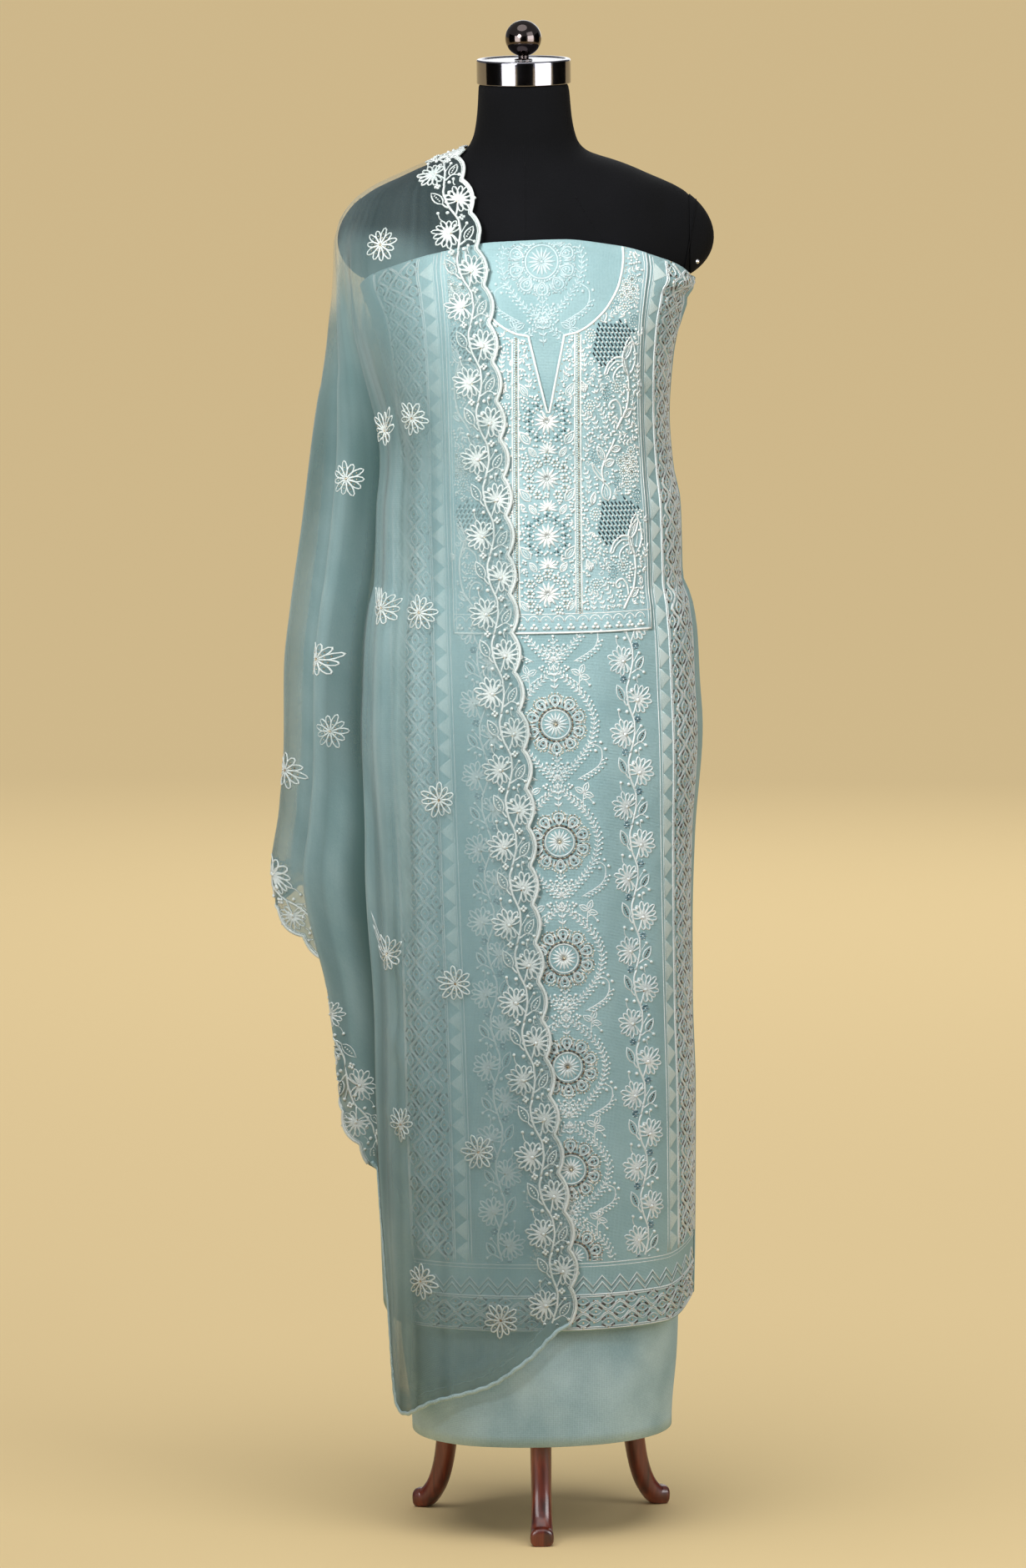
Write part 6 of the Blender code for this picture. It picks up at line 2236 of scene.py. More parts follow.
    def hem_band(self) -> Stitching:
        """Returns the borders above the hem: lines, zigzags and the beaded trellis."""
        made = Stitching()
        half = KAMEEZ.panel_half - 2 * MM
        for rise, width in ((297.0, 1.8), (293.5, 1.3), (264.5, 1.6)):
            line = np.linspace((-half, rise * MM), (half, rise * MM), 60)
            made.stroke(line, width * MM, 0.9 * MM)
        for rise in (278.0, 271.5):
            made.stroke(zigzag(2 * half, 20 * MM, 5.6 * MM, -half, rise * MM), 2.0 * MM, 1.5 * MM)
            # a dark cord just below each zigzag is its painted shadow line
            painted_shadow_zigzag = zigzag(2 * half, 20 * MM, 5.6 * MM, -half, (rise - 2.3) * MM)
            made.stroke(painted_shadow_zigzag, 1.3 * MM, 0.8 * MM, layer=Layer.ANTIQUE)
        trellis = wavy_lattice(2 * half, 34.0 * MM, 27.0 * MM, 11.4 * MM, 31)
        made.place(trellis, -half, 229.0 * MM)
        return made

    def embroidery(self) -> Stitching:
        """Returns the whole work of the front panel, flat."""
        made = Stitching()
        core = medallion()
        below = self.medallions[2:] + (self.medallions[-1] - self.last_pitch,)
        for low, middle, high in zip(below, self.medallions[1:], self.medallions):
            made.place(core, self.column, middle * MM)
            made.place(self.ogee((high - low) / 2), self.column, middle * MM)
        made.place(self.ogee(self.pitch), self.column, self.medallions[0] * MM)
        vine = vine_repeat(jewelled=True)
        repeat = VINE_REPEAT * self.vine_size
        for index in range(-7, 2):
            rise = self.vine_start + index * repeat
            made.place(vine, self.vine, rise, size=self.vine_size)
            made.place(vine, -self.vine, rise, size=self.vine_size, mirror=True)
        made.keep(lambda points: points[:, 1] > self.hem_line)
        right = self.side_band(self.hem_line, KAMEEZ.top - 2 * MM, 7)
        made.join(right)
        made.place(right, mirror=True)
        made.join(self.hem_band())
        return made

    def tonal(self) -> Stitching:
        """Returns the self-coloured work inside the neckline."""
        made = Stitching()
        made.place(medallion(), self.column, self.neck_medallion, size=1.12)
        for drop in (0.0, 121.0 * MM):
            made.place(self.ogee(self.pitch), self.column, self.neck_medallion - drop, size=1.05)
        made.keep(lambda points: (points[:, 1] < KAMEEZ.top - 2 * MM) & (points[:, 1] > 1.19))
        return made.squashed(rise=0.3, layer=Layer.THREAD)

    def teeth(self) -> Stitching:
        """Returns both pointed satin bands."""
        made = self.triangles(self.hem_line, KAMEEZ.top - 2 * MM)
        made.place(made, mirror=True)
        return made

    def build(self) -> None:
        """Makes both panels and the front's embroidery."""
        georgette = WovenCloth("kameez_georgette", "#a9c9cb", "#96b8bb").material()
        front = finish_piece(
            mesh_of(laid_sheet(80, 160, self.front_place), "kameez_front_cloth"), georgette,
            Slot.KAMEEZ, "kameez_front",
        )
        back = finish_piece(
            mesh_of(laid_sheet(90, 90, self.back_place), "kameez_back_cloth"), georgette,
            Slot.KAMEEZ, "kameez_back",
        )
        thread = Thread("kameez_floss", "#f2f6f3", "#d5e0df").material()
        tonal = Thread("kameez_tonal_floss", "#cfe2e3", "#b9d2d5").material()
        satin = Thread("kameez_satin_floss", "#cfe0dd", "#b9d0ce").material()
        cloth_map = KAMEEZ.cloth_map(KAMEEZ.panel_half, KAMEEZ.hem, KAMEEZ.top)
        work = self.embroidery().laid(cloth_map)
        with_work = sewn_on(work, "kameez", thread, Slot.KAMEEZ)
        low = self.tonal().laid(cloth_map)
        with_work.append(finish_piece(low.mesh("kameez_tonal_thread"), tonal, Slot.KAMEEZ))
        teeth = self.teeth().laid(cloth_map)
        with_work.append(finish_piece(teeth.mesh("kameez_satin_teeth"), satin, Slot.KAMEEZ))
        thicken(front, self.cloth)
        thicken(back, self.cloth)


@dataclass
class Yoke:
    """The neck yoke: one embroidered piece with a round neck and a slit, on the front panel."""

    half: float = 0.106
    hem: float = 0.957
    slit_foot: float = 1.188
    lift: float = 0.6 * MM
    cloth: float = 1.0 * MM
    panel_top: float = 1.265
    panel_tall: float = 0.282
    panel_shift: float = 0.5 * MM
    panel_lean: float = 7.5 * MM  # how far the panel's foot lies aside of its top
    flat: tuple[float, float] = (0.212, 0.407)

    def neck_half(self, nominal: np.ndarray) -> np.ndarray:
        """Returns the half width of the neck's opening at a height."""
        slit_top, slit_half = NECK_ROUND[0]
        slit = np.interp(nominal, (self.slit_foot, slit_top), (0.0, slit_half))
        return np.where(nominal < slit_top, slit, read_one(NECK_ROUND, nominal))

    def axis(self, rise: float) -> float:
        """Returns the sideways place of the centre panel, which leans a little."""
        return self.panel_shift - self.panel_lean * (self.panel_top - rise) / self.panel_tall

    def centre_panel(self) -> Stitching:
        """Returns the stack of daisies, bead rings, half flowers and leaves."""
        made = Stitching()
        flower = daisy(13.4 * MM, 13, 2.0 * MM, Layer.THREAD)
        oval = np.array([0.94, 1.0])
        for index, rise in enumerate((1.178, 1.118, 1.058, 0.998)):
            x = self.axis(rise)
            made.place(flower, x, rise)
            jewelled = index % 2 == 0
            for number, turn in enumerate(np.linspace(-56.0, 236.0, 11)):
                way = way_of(turn) * oval
                spot = way * (19.4 + (number % 2) * 2.2) * MM + np.array([x, rise])
                lobe = ring_path(3.4 * MM, 6) + spot
                made.dots(lobe[::2] if jewelled else lobe, 1.7 * MM)
                if jewelled:
                    made.dots(lobe[1::2], 1.5 * MM, Layer.GLASS, SEQUIN)
                made.dots([spot], 1.1 * MM, Layer.ANTIQUE if jewelled else Layer.GOLD)
            turn = np.radians(np.linspace(-52.0, 232.0, 36))
            ring = np.stack([np.cos(turn), np.sin(turn)], axis=1) * oval
            made.dots(ring[::2] * 15.6 * MM + np.array([x, rise]), 1.2 * MM)
            made.dots(ring[::2] * 25.2 * MM + np.array([x, rise]), 1.5 * MM)
            half = Stitching()
            for petal in range(9):
                half.leaf(0.0, 0.0, -14.0 + petal * 26.0, 10.5 * MM, 3.4 * MM)
            half.dots(ring_path(2.0 * MM, 5), 0.9 * MM, Layer.GOLD)
            if rise > 1.0:
                made.place(half, x, rise - 31.0 * MM)
                for out, drop, turn, size in ((18.0, 23.0, 38.0, 16.0), (12.5, 36.5, 34.0, 11.5)):
                    leaf = outlined_leaf(size * MM, size * 0.5 * MM, cord=2.2 * MM)
                    for side in (-1.0, 1.0):
                        made.place(leaf, x + side * out * MM, rise - drop * MM, -side * turn)
        for near, rise, turn, length, width in (
            (0.985, 0.981, 38.0, 13.0, 6.0), (1.205, 1.205, 30.0, 15.0, 6.5),
        ):
            leaf = outlined_leaf(length * MM, width * MM)
            for side in (-1.0, 1.0):
                made.place(leaf, self.axis(near) + side * 20.0 * MM, rise, -side * turn)
        return made

    def bead_line(self, side: float) -> Stitching:
        """Returns one of the two upright lines of gold beads between cords."""
        made = Stitching()
        high = 1.268 if side > 0 else 1.265
        rises = np.linspace(0.978, high, 118)
        places = np.array([self.axis(rise) for rise in rises]) + side * 32.0 * MM
        for off in (-3.1, 3.1):
            cord = np.stack([places + off * MM, rises], axis=1)[::3]
            made.stroke(cord, 2.2 * MM, 1.7 * MM)
        middle = np.stack([places, rises], axis=1)
        made.dots(middle + np.array([0.85 * MM, 0.0]), 1.0 * MM, Layer.GOLD)
        made.dots(middle + np.array([-0.9 * MM, 1.2 * MM]), 0.95 * MM)
        return made

    def scroll(self) -> Stitching:
        """Returns one repeat of the side panel's scrolling stem, from its lower inner corner."""
        made = Stitching()
        for stem, width in (
            ([(49, 3), (57, 14.5), (64.6, 24.6), (68.5, 43), (67.7, 61), (63.8, 72), (62, 78)], 2.4),
            ([(28.8, 140), (27.2, 149), (27.2, 156), (32, 166), (41, 179), (46, 188)], 2.2),
            ([(63, 79.5), (55, 82), (47.5, 81), (41, 77), (37, 71), (34, 63.6)], 2.0),
            ([(58.4, 76.6), (51, 77.5), (44.4, 73.7), (40, 69.5), (38, 65), (34, 63.6)], 1.4),
            ([(64.6, 69.4), (60, 72), (55.3, 71), (49.5, 67), (46.8, 62), (46.7, 57.8), (50.6, 52)], 1.8),
            ([(57, 17), (56, 27.5), (50.6, 34.7), (44.4, 34.7), (39.8, 30.4), (42.8, 26), (46.7, 28.5),
              (44.5, 31)], 1.9),
            ([(28.8, 141.5), (23, 146), (18, 152), (15.3, 157), (14, 163)], 1.6),
            ([(31.8, 141.5), (26, 148), (21, 154), (17, 159), (14, 163)], 1.3),
        ):
            made.stroke(smooth_path(millimetres(*stem), 4), width * 1.5 * MM, 2.4 * MM)
        for x, y, turn, length, width in (
            (68.0, 60, -4, 46, 20.0), (60.0, 78, -34, 26, 9.0), (60, 16, -56, 15, 7.5),
            (33.5, 121, 12, 20, 12.0), (30.4, 166, 30, 17, 8.0), (31, 160, -72, 14, 8.0),
            (40.5, 176, -84, 14, 7.0), (8, 46, 20, 13, 6.0), (12, 118, -20, 14, 6.0),
        ):
            made.place(outlined_leaf(length * MM, width * MM, cord=2.6 * MM), x * MM, y * MM, turn)
        for x, y in ((50.6, 50.5), (16.3, 107), (13.2, 30.4), (61.0, 140.0)):
            made.dots(scattered((x * MM, y * MM), (6.6 * MM, 6.6 * MM), 3.0 * MM), 1.25 * MM)
            made.dots(ring_path(1.6 * MM, 3) + np.array([x, y]) * MM, 0.8 * MM, Layer.GOLD)
        for x, y in ((57, 152), (69, 150), (72, 161), (62, 165), (53, 163), (64, 157), (69, 172)):
            made.dots(scattered((x * MM, y * MM), (5.6 * MM, 5.6 * MM), 2.7 * MM)[1:], 1.2 * MM)
            made.dots(ring_path(1.4 * MM, 3) + np.array([x, y]) * MM, 0.9 * MM, Layer.GOLD)
        for x, y in ((19.5, 169.0), (49.0, 139.0), (75.5, 124.0), (36.6, 43.4)):
            made.dots(
                scattered((x * MM, y * MM), (5.5 * MM, 6.5 * MM), 2.6 * MM), 1.0 * MM,
                Layer.GLASS, SEQUIN,
            )
            made.dots(scattered((x * MM, y * MM), (6.8 * MM, 7.8 * MM), 3.4 * MM), 0.9 * MM)
        outline = np.array([
            (28.0, 120.0), (58.0, 124.0), (78.0, 112.0), (62.0, 88.0), (42.0, 77.0),
            (28.0, 70.0), (18.0, 84.0),
        ]) * MM
        along, aside = way_of(-52.0), way_of(38.0)
        spots = np.array([
            outline.mean(axis=0) + along * (a + b % 2 / 2) * 7.0 * MM + aside * b * 4.2 * MM
            for a in range(-8, 9) for b in range(-12, 13)
        ])
        for spot in spots[inside(outline, spots)]:
            tube = [spot - along * 2.3 * MM, spot + along * 2.3 * MM]
            made.stroke(tube, 2.7 * MM, 1.8 * MM, layer=Layer.ANTIQUE)
            made.dots([spot + along * 3.5 * MM], 1.25 * MM)
        for stem in (
            [(35, 2), (33.5, 14.5), (28.8, 24.6), (24, 32)], [(22, 74), (18, 62), (12, 54), (5, 50)],
            [(8, 2), (10, 12), (6, 22)], [(24, 60), (30, 54), (31, 47)], [(76, 4), (78, 16), (76, 28)],
            [(6, 66), (8, 78), (5, 92)], [(22, 2), (20, 14), (14, 20)], [(40, 128), (46, 130), (52, 136)],
            [(6, 128), (10, 140), (6, 154)], [(76, 136), (79, 148), (78, 162)],
            [(56, 184), (66, 182), (74, 186)],
        ):
            made.join(leafy_line(smooth_path(millimetres(*stem), 3), 5.2 * MM, 5.6 * MM, knots=False))
        return made

    def foot_band(self) -> Stitching:
        """Returns the border of arches with three-knot motifs along the lower edge."""
        made = Stitching()
        half = self.half - 2 * MM
        top, foot, pitch = 0.9775, self.hem + 1.2 * MM, 12.6 * MM
        made.stroke(np.linspace((-half, top), (half, top), 40), 1.5 * MM, 1.1 * MM)
        made.stroke(np.linspace((-half, foot), (half, foot), 40), 2.2 * MM, 1.5 * MM, sides=5)
        turn = np.linspace(0.0, math.pi, 8)
        for index in range(int(2 * half / pitch)):
            x = -half + (index + 0.5) * pitch
            arch = np.stack([np.cos(turn) * 5.7 * MM, np.sin(turn) * 6.0 * MM], axis=1)
            made.stroke(arch + np.array([x, top - 8.0 * MM]), 1.6 * MM, 1.1 * MM)
            made.dots([(x, top - 6.0 * MM)], 1.0 * MM)
            made.dots([(x - 2.3 * MM, foot + 5.0 * MM), (x + 2.3 * MM, foot + 5.0 * MM)], 1.95 * MM)
            made.dots([(x, foot + 8.2 * MM)], 1.95 * MM)
            made.stroke([(x, foot + 7.0 * MM), (x, foot + 2.0 * MM)], 0.9 * MM)
        return made

    def edge_cord(self) -> Stitching:
        """Returns the bound cord round the neck and down the slit, and the side lines."""
        made = Stitching()
        slit_top, round_foot = NECK_ROUND[:2, 0]
        rises = np.concatenate([
            np.linspace(self.slit_foot, slit_top, 22, endpoint=False),
            np.linspace(slit_top, round_foot, 5, endpoint=False),
            np.linspace(round_foot, KAMEEZ.top - 1 * MM, 34),
        ])
        line = np.stack([self.neck_half(rises) + 1.3 * MM, rises], axis=1)
        mirror = np.array([-1.0, 1.0])
        whole = np.concatenate([(line * mirror)[::-1], line])
        made.stroke(whole, 2.6 * MM, 1.9 * MM, sides=5)
        beads = line[2::2] + np.array([3.2 * MM, 0.0])
        made.dots(np.concatenate([beads, beads * mirror]), 0.8 * MM, Layer.GOLD)
        for side in (-1.0, 1.0):
            for off, width in ((1.4, 1.5), (4.6, 1.0)):
                place = side * (self.half - off * MM)
                ends = (place, self.hem + 2 * MM), (place, KAMEEZ.top - 1 * MM)
                made.stroke(np.linspace(*ends, 40), width * MM, 1.0 * MM)
        return made

    def embroidery(self) -> Stitching:
        """Returns the whole work of the yoke, flat."""
        made = self.centre_panel()
        repeat, low, middle, edge = 187.0 * MM, 0.977, self.axis(1.1), self.half - 7 * MM
        side_work = Stitching()
        scroll = self.scroll().squashed(across=0.86)
        for index in range(3):
            side_work.place(scroll, middle + 36.0 * MM, low + index * repeat, size=0.96)
        side_work.keep(lambda points: points[:, 0] < edge)
        mirrored = Stitching()
        mirrored.place(side_work, 2 * middle, mirror=True)
        mirrored.keep(lambda points: points[:, 0] > -edge)
        made.join(side_work)
        made.join(mirrored)
        for side in (-1.0, 1.0):
            made.join(self.bead_line(side))

        def on_cloth(points: np.ndarray) -> np.ndarray:
            """Tells which flat points lie on the yoke."""
            across = np.abs(points[:, 0])
            rises = points[:, 1]
            beside = (across > self.neck_half(rises) + 3.4 * MM) | (rises < self.slit_foot - 2 * MM)
            return beside & (rises < KAMEEZ.top - 2 * MM)

        made.keep(on_cloth)
        edging = self.foot_band()
        edging.join(self.edge_cord())
        everything = Stitching()
        everything.join(made)
        everything.join(edging)
        filler = Filler(everything, 1.2 * MM, 5)
        made.join(filler.strew((-edge, 0.981), (edge, KAMEEZ.top - 4 * MM), on_cloth, 20000))
        made.join(edging)
        return made

    def build(self) -> None:
        """Makes the yoke and its embroidery."""
        georgette = WovenCloth("yoke_georgette", "#b3d2d5", "#a0c1c5").material()
        top_face = self.lift + self.cloth
        whole = bmesh.new()
        whole.loops.layers.uv.new("cloth")
        for side in (-1.0, 1.0):

            def place(across: np.ndarray, up: np.ndarray) -> tuple[np.ndarray, np.ndarray]:
                """Returns points of one half of the yoke."""
                nominal = self.hem + (KAMEEZ.top - self.hem) * up
                inner = self.neck_half(nominal)
                place_across = side * (inner + (self.half - inner) * across)
                heading = KAMEEZ.heading(place_across, nominal)
                points = KAMEEZ.point(heading, nominal, top_face)
                return points, np.stack([place_across, nominal], axis=-1)

            half = mesh_of(laid_sheet(30, 110, place), "half")
            whole.from_mesh(half)
            bpy.data.meshes.remove(half)
        face_outwards(whole)
        cloth = finish_piece(mesh_of(whole, "yoke_cloth"), georgette, Slot.YOKE, "kameez_yoke")
        thicken(cloth, self.cloth)
        thread = Thread("yoke_floss", "#f7f8f3", "#dfe6e3").material()
        cloth_map = KAMEEZ.cloth_map(self.half, self.hem, KAMEEZ.top, top_face)
        work = sewn_on(
            self.embroidery().laid(cloth_map), "yoke", thread, Slot.YOKE, ("#a3c4c8", "#5f8c92"),
            ("#24444e", "#081216"),
        )


class DupattaForm:
    """The shape of the draped dupatta.

    A column runs down from the ridge on the shoulder: column 0 is the inner edge in front,
    36 the one that leaves the shoulder at the arm and 72 the inner edge at the back. A share
    of 0 lies on the ridge and 1 at the lower edge.
    """

    last = 72
    arm_column = 36
    clear = 4.6 * MM
    snug = 1.5 * MM  # over the bare form
    shoulder_clear = 2.4 * MM
    settled = 2.8 * MM  # how far the cloth's fall on the shoulder sinks below the solid's
    arm_centre = np.array(DressForm.arm_centre) * np.array([-1.0, 1.0, 1.0])
    arm_radii = np.array(DressForm.arm_radii)
    rounded_over = 0.25  # share of a column's length in which its points lie closer
    pulled_to = 62.0  # the columns before this heading are pulled in to the inner edge
    spread_soon, spread_late = 6.2, 26.0  # how fast columns part below the ridge
    # Headings here are those of the cloth's columns.
    folds = creases(
        (64, 1.18, 62, 0.70, 4.5, 10.0), (55, 1.16, 54, 0.62, -2.0, 12.0),
        (47, 1.10, 49, 0.50, 2.2, 9.0), (36, 1.20, 38, 0.40, 1.6, 10.0),
        (62, 0.72, 52, 0.52, 3.0, 9.0), (66, 0.62, 44, 0.57, 2.6, 8.0),
        (64, 0.54, 48, 0.47, 3.2, 8.0), (66, 0.46, 40, 0.38, 2.6, 9.0),
        (60, 0.40, 34, 0.345, 2.4, 8.0), (58, 0.33, 42, 0.30, 2.6, 7.0),
        (28, 0.98, 30, 0.36, 1.4, 12.0), (20, 0.34, 34, 0.24, 2.2, 9.0),
        (84, 1.22, 80, 0.80, 4.0, 12.0), (96, 1.20, 101, 0.76, 4.0, 12.0),
        (110, 1.18, 118, 0.74, 4.0, 14.0), (150, 1.10, 140, 0.55, 4.0, 14.0),
        (186, 1.12, 180, 0.40, 4.0, 14.0), (168, 0.90, 192, 0.50, 3.0, 10.0),
    )

    def column_heading(self, column: np.ndarray) -> np.ndarray:
        """Returns the heading at which a column hangs."""
        counts = DUPATTA_FOLDS[:, 2]
        starts = np.concatenate([[0.0], np.cumsum(counts)[:-1]])
        return np.interp(column, starts, DUPATTA_FOLDS[:, 0])

    def fold_offset(self, heading: np.ndarray) -> np.ndarray:
        """Returns how far the hanging cloth stands off its plain outline, in soft waves."""
        lines = DUPATTA_FOLDS
        index = np.clip(np.searchsorted(lines[:, 0], heading) - 1, 0, len(lines) - 2)
        share = (heading - lines[index, 0]) / (lines[index + 1, 0] - lines[index, 0])
        wave = (1 - np.cos(np.pi * np.clip(share, 0.0, 1.0))) / 2
        return lines[index, 1] + (lines[index + 1, 1] - lines[index, 1]) * wave

    def arm_radius(self, heading: np.ndarray, height: np.ndarray) -> np.ndarray:
        """Returns where a level line from the axis leaves the arm stump, 0 if it misses."""
        tilt = np.array(Matrix.Rotation(math.radians(DressForm.arm_tilt), 3, "Y"))
        turn = np.radians(heading)
        way = np.stack([-np.sin(turn), -np.cos(turn), np.zeros_like(turn)], axis=-1) @ tilt.T
        start = np.zeros_like(way)
        start[..., 2] = height
        start = (start - self.arm_centre) @ tilt.T
        way, start = way / self.arm_radii, start / self.arm_radii
        half, rest = (way * start).sum(axis=-1), (start * start).sum(axis=-1) - 1
        square = (way * way).sum(axis=-1)
        under_root = half * half - square * rest
        reach = (np.sqrt(np.maximum(under_root, 0.0)) - half) / square
        return np.where(under_root < 0, 0.0, reach)

    def body_radius(self, heading: np.ndarray, height: np.ndarray) -> np.ndarray:
        """Returns how far from the axis the dupatta lies on what is under it."""
        low = np.clip(height, KAMEEZ.hem, KAMEEZ.top)
        kameez = section_radius(KAMEEZ_SECTIONS, heading, low)
        kameez += np.maximum(KAMEEZ.relief(heading, low), 0.0) + self.clear
        form = section_radius(FORM_SECTIONS, heading, height) + self.snug
        bare = ramped(height, KAMEEZ.top, KAMEEZ.top + 0.02)
        body = kameez + (form - kameez) * bare
        return np.maximum(body, self.arm_radius(heading, height) + self.snug)

    def radius(
        self, column_heading: np.ndarray, heading: np.ndarray, height: np.ndarray, drop: np.ndarray
    ) -> np.ndarray:
        """Returns the distance of the cloth from the axis."""
        body = self.body_radius(heading, height - self.shoulder_clear)
        outline = section_radius(DUPATTA_SECTIONS, heading, height)
        outline -= self.settled * ramped(height, 1.25, 1.32)
        close = ramped(height, 1.33, 1.13) * ramped(heading, 92.0, 56.0)
        plain = outline + (body - outline) * close
        folds = self.fold_offset(column_heading) * eased(drop / 0.34)
        folds += crease_relief(column_heading, height, self.folds) * eased(drop / 0.2)
        return np.maximum(body, plain + folds)

    def point(self, column: np.ndarray, share: np.ndarray) -> np.ndarray:
        """Returns points of the cloth's middle surface."""
        column_heading = self.column_heading(column)
        across = np.minimum(column, self.last - column) / self.arm_column
        ridge = read_one(RIDGE, across) - self.settled
        edge = read_one(DUPATTA_EDGE, column_heading)
        level = self.rounded_over
        near = share * share / (level * (2 - level))
        far = (2 * level * share - level * level) / (level * (2 - level))
        drop = (ridge - edge) * np.where(share < level, near, far)
        height = ridge - drop
        place = read_one(INNER_EDGE, height)
        depth = section_radius(KAMEEZ_SECTIONS, np.zeros_like(height), np.maximum(height, KAMEEZ.hem))
        inner = np.degrees(np.arctan2(-place, depth + self.clear))
        first = DUPATTA_FOLDS[0, 0]
        share_pulled = np.clip(self.pulled_to - column_heading, 0.0, None) / (self.pulled_to - first)
        hang = column_heading + (inner - first) * share_pulled
        turn = 1 - np.exp(-(self.spread_soon * np.sqrt(drop) + self.spread_late * drop * drop))
        heading = 90.0 + (hang - 90.0) * turn
        return at_heading(heading, self.radius(column_heading, heading, height, drop), height)

    def both_sides(self, column: np.ndarray, share: np.ndarray) -> np.ndarray:
        """Returns points for columns 0 to 36, where a share below 0 lies on the back."""
        behind = share < 0
        return self.point(np.where(behind, self.last - column, column), np.abs(share))


DUPATTA = DupattaForm()


def smoothen(rows: np.ndarray) -> None:
    """Evens out rows, each with its neighbours."""
    rows[1:-1] = (rows[:-2] + 2 * rows[1:-1] + rows[2:]) / 4


@dataclass
class ClothStrip:
    """A strip of a curved cloth along one of its edges, stepped out within the cloth itself."""

    surface: Callable[[np.ndarray, np.ndarray], np.ndarray]
    limits: tuple[tuple[float, float], tuple[float, float]]  # lowest and highest of each
    inward: tuple[float, float]  # a way into the cloth, as steps of the two
    depth: float = 50 * MM
    outside: float = 10 * MM
    step: float = 2 * MM
    pitch: float = 3 * MM
    stride: tuple[float, float] = (0.62, 0.008)  # most of each that one step may take
    nudges: tuple[float, float] = (0.06, 0.003)  # how far off each slope is measured

    def slopes(self, u: np.ndarray, v: np.ndarray) -> tuple[np.ndarray, np.ndarray]:
        """Returns the surface's two slopes."""
        found = []
        for turn, nudge in enumerate(self.nudges):
            ends = []
            for side in (-1.0, 1.0):
                place = [u, v]
                place[turn] = np.clip(place[turn] + side * nudge, *self.limits[turn])
                ends.append((self.surface(*place), place[turn]))
            gap = (ends[1][1] - ends[0][1])[:, None]
            found.append((ends[1][0] - ends[0][0]) / gap)
        return found[0], found[1]

    def map(self, u: np.ndarray, v: np.ndarray) -> ClothMap:
        """Returns the strip's map: across is the way out over the edge, up the way along it."""
        line = self.surface(u, v)
        run = lengths_along(line, 0)
        up = np.linspace(0.0, run[-1], int(run[-1] / self.pitch))
        u, v = np.interp(up, run, u), np.interp(up, run, v)
        lines = []
        hand = 0.0
        for number in range(int(self.depth / self.step) + 1):
            here = self.surface(u, v)
            along = np.gradient(here, axis=0)
            smoothen(along)
            across, rising = self.slopes(u, v)
            way = unit(np.cross(np.cross(across, rising), along))
            if number == 0:
                toward = across * self.inward[0] + rising * self.inward[1]
                hand = 1.0 if (way * toward).sum() > 0 else -1.0
                lines.append(here - way * hand * self.outside)
            lines.append(here)
            way *= hand * self.step
            squares = (across * across).sum(axis=1), (rising * rising).sum(axis=1)
            mixed = (across * rising).sum(axis=1)
            shares = (way * across).sum(axis=1), (way * rising).sum(axis=1)
            whole = squares[0] * squares[1] - mixed * mixed + 1e-12
            ahead = (shares[0] * squares[1] - shares[1] * mixed) / whole
            aside = (shares[1] * squares[0] - shares[0] * mixed) / whole
            u = u + np.clip(ahead, -self.stride[0], self.stride[0])
            v = v + np.clip(aside, -self.stride[1], self.stride[1])
            smoothen(u)
            smoothen(v)
            u, v = np.clip(u, *self.limits[0]), np.clip(v, *self.limits[1])
        steps = np.arange(len(lines) - 1) * self.step
        out = np.concatenate([-steps[::-1], [self.outside]])
        return ClothMap(out, up, np.stack(lines[::-1], axis=1))


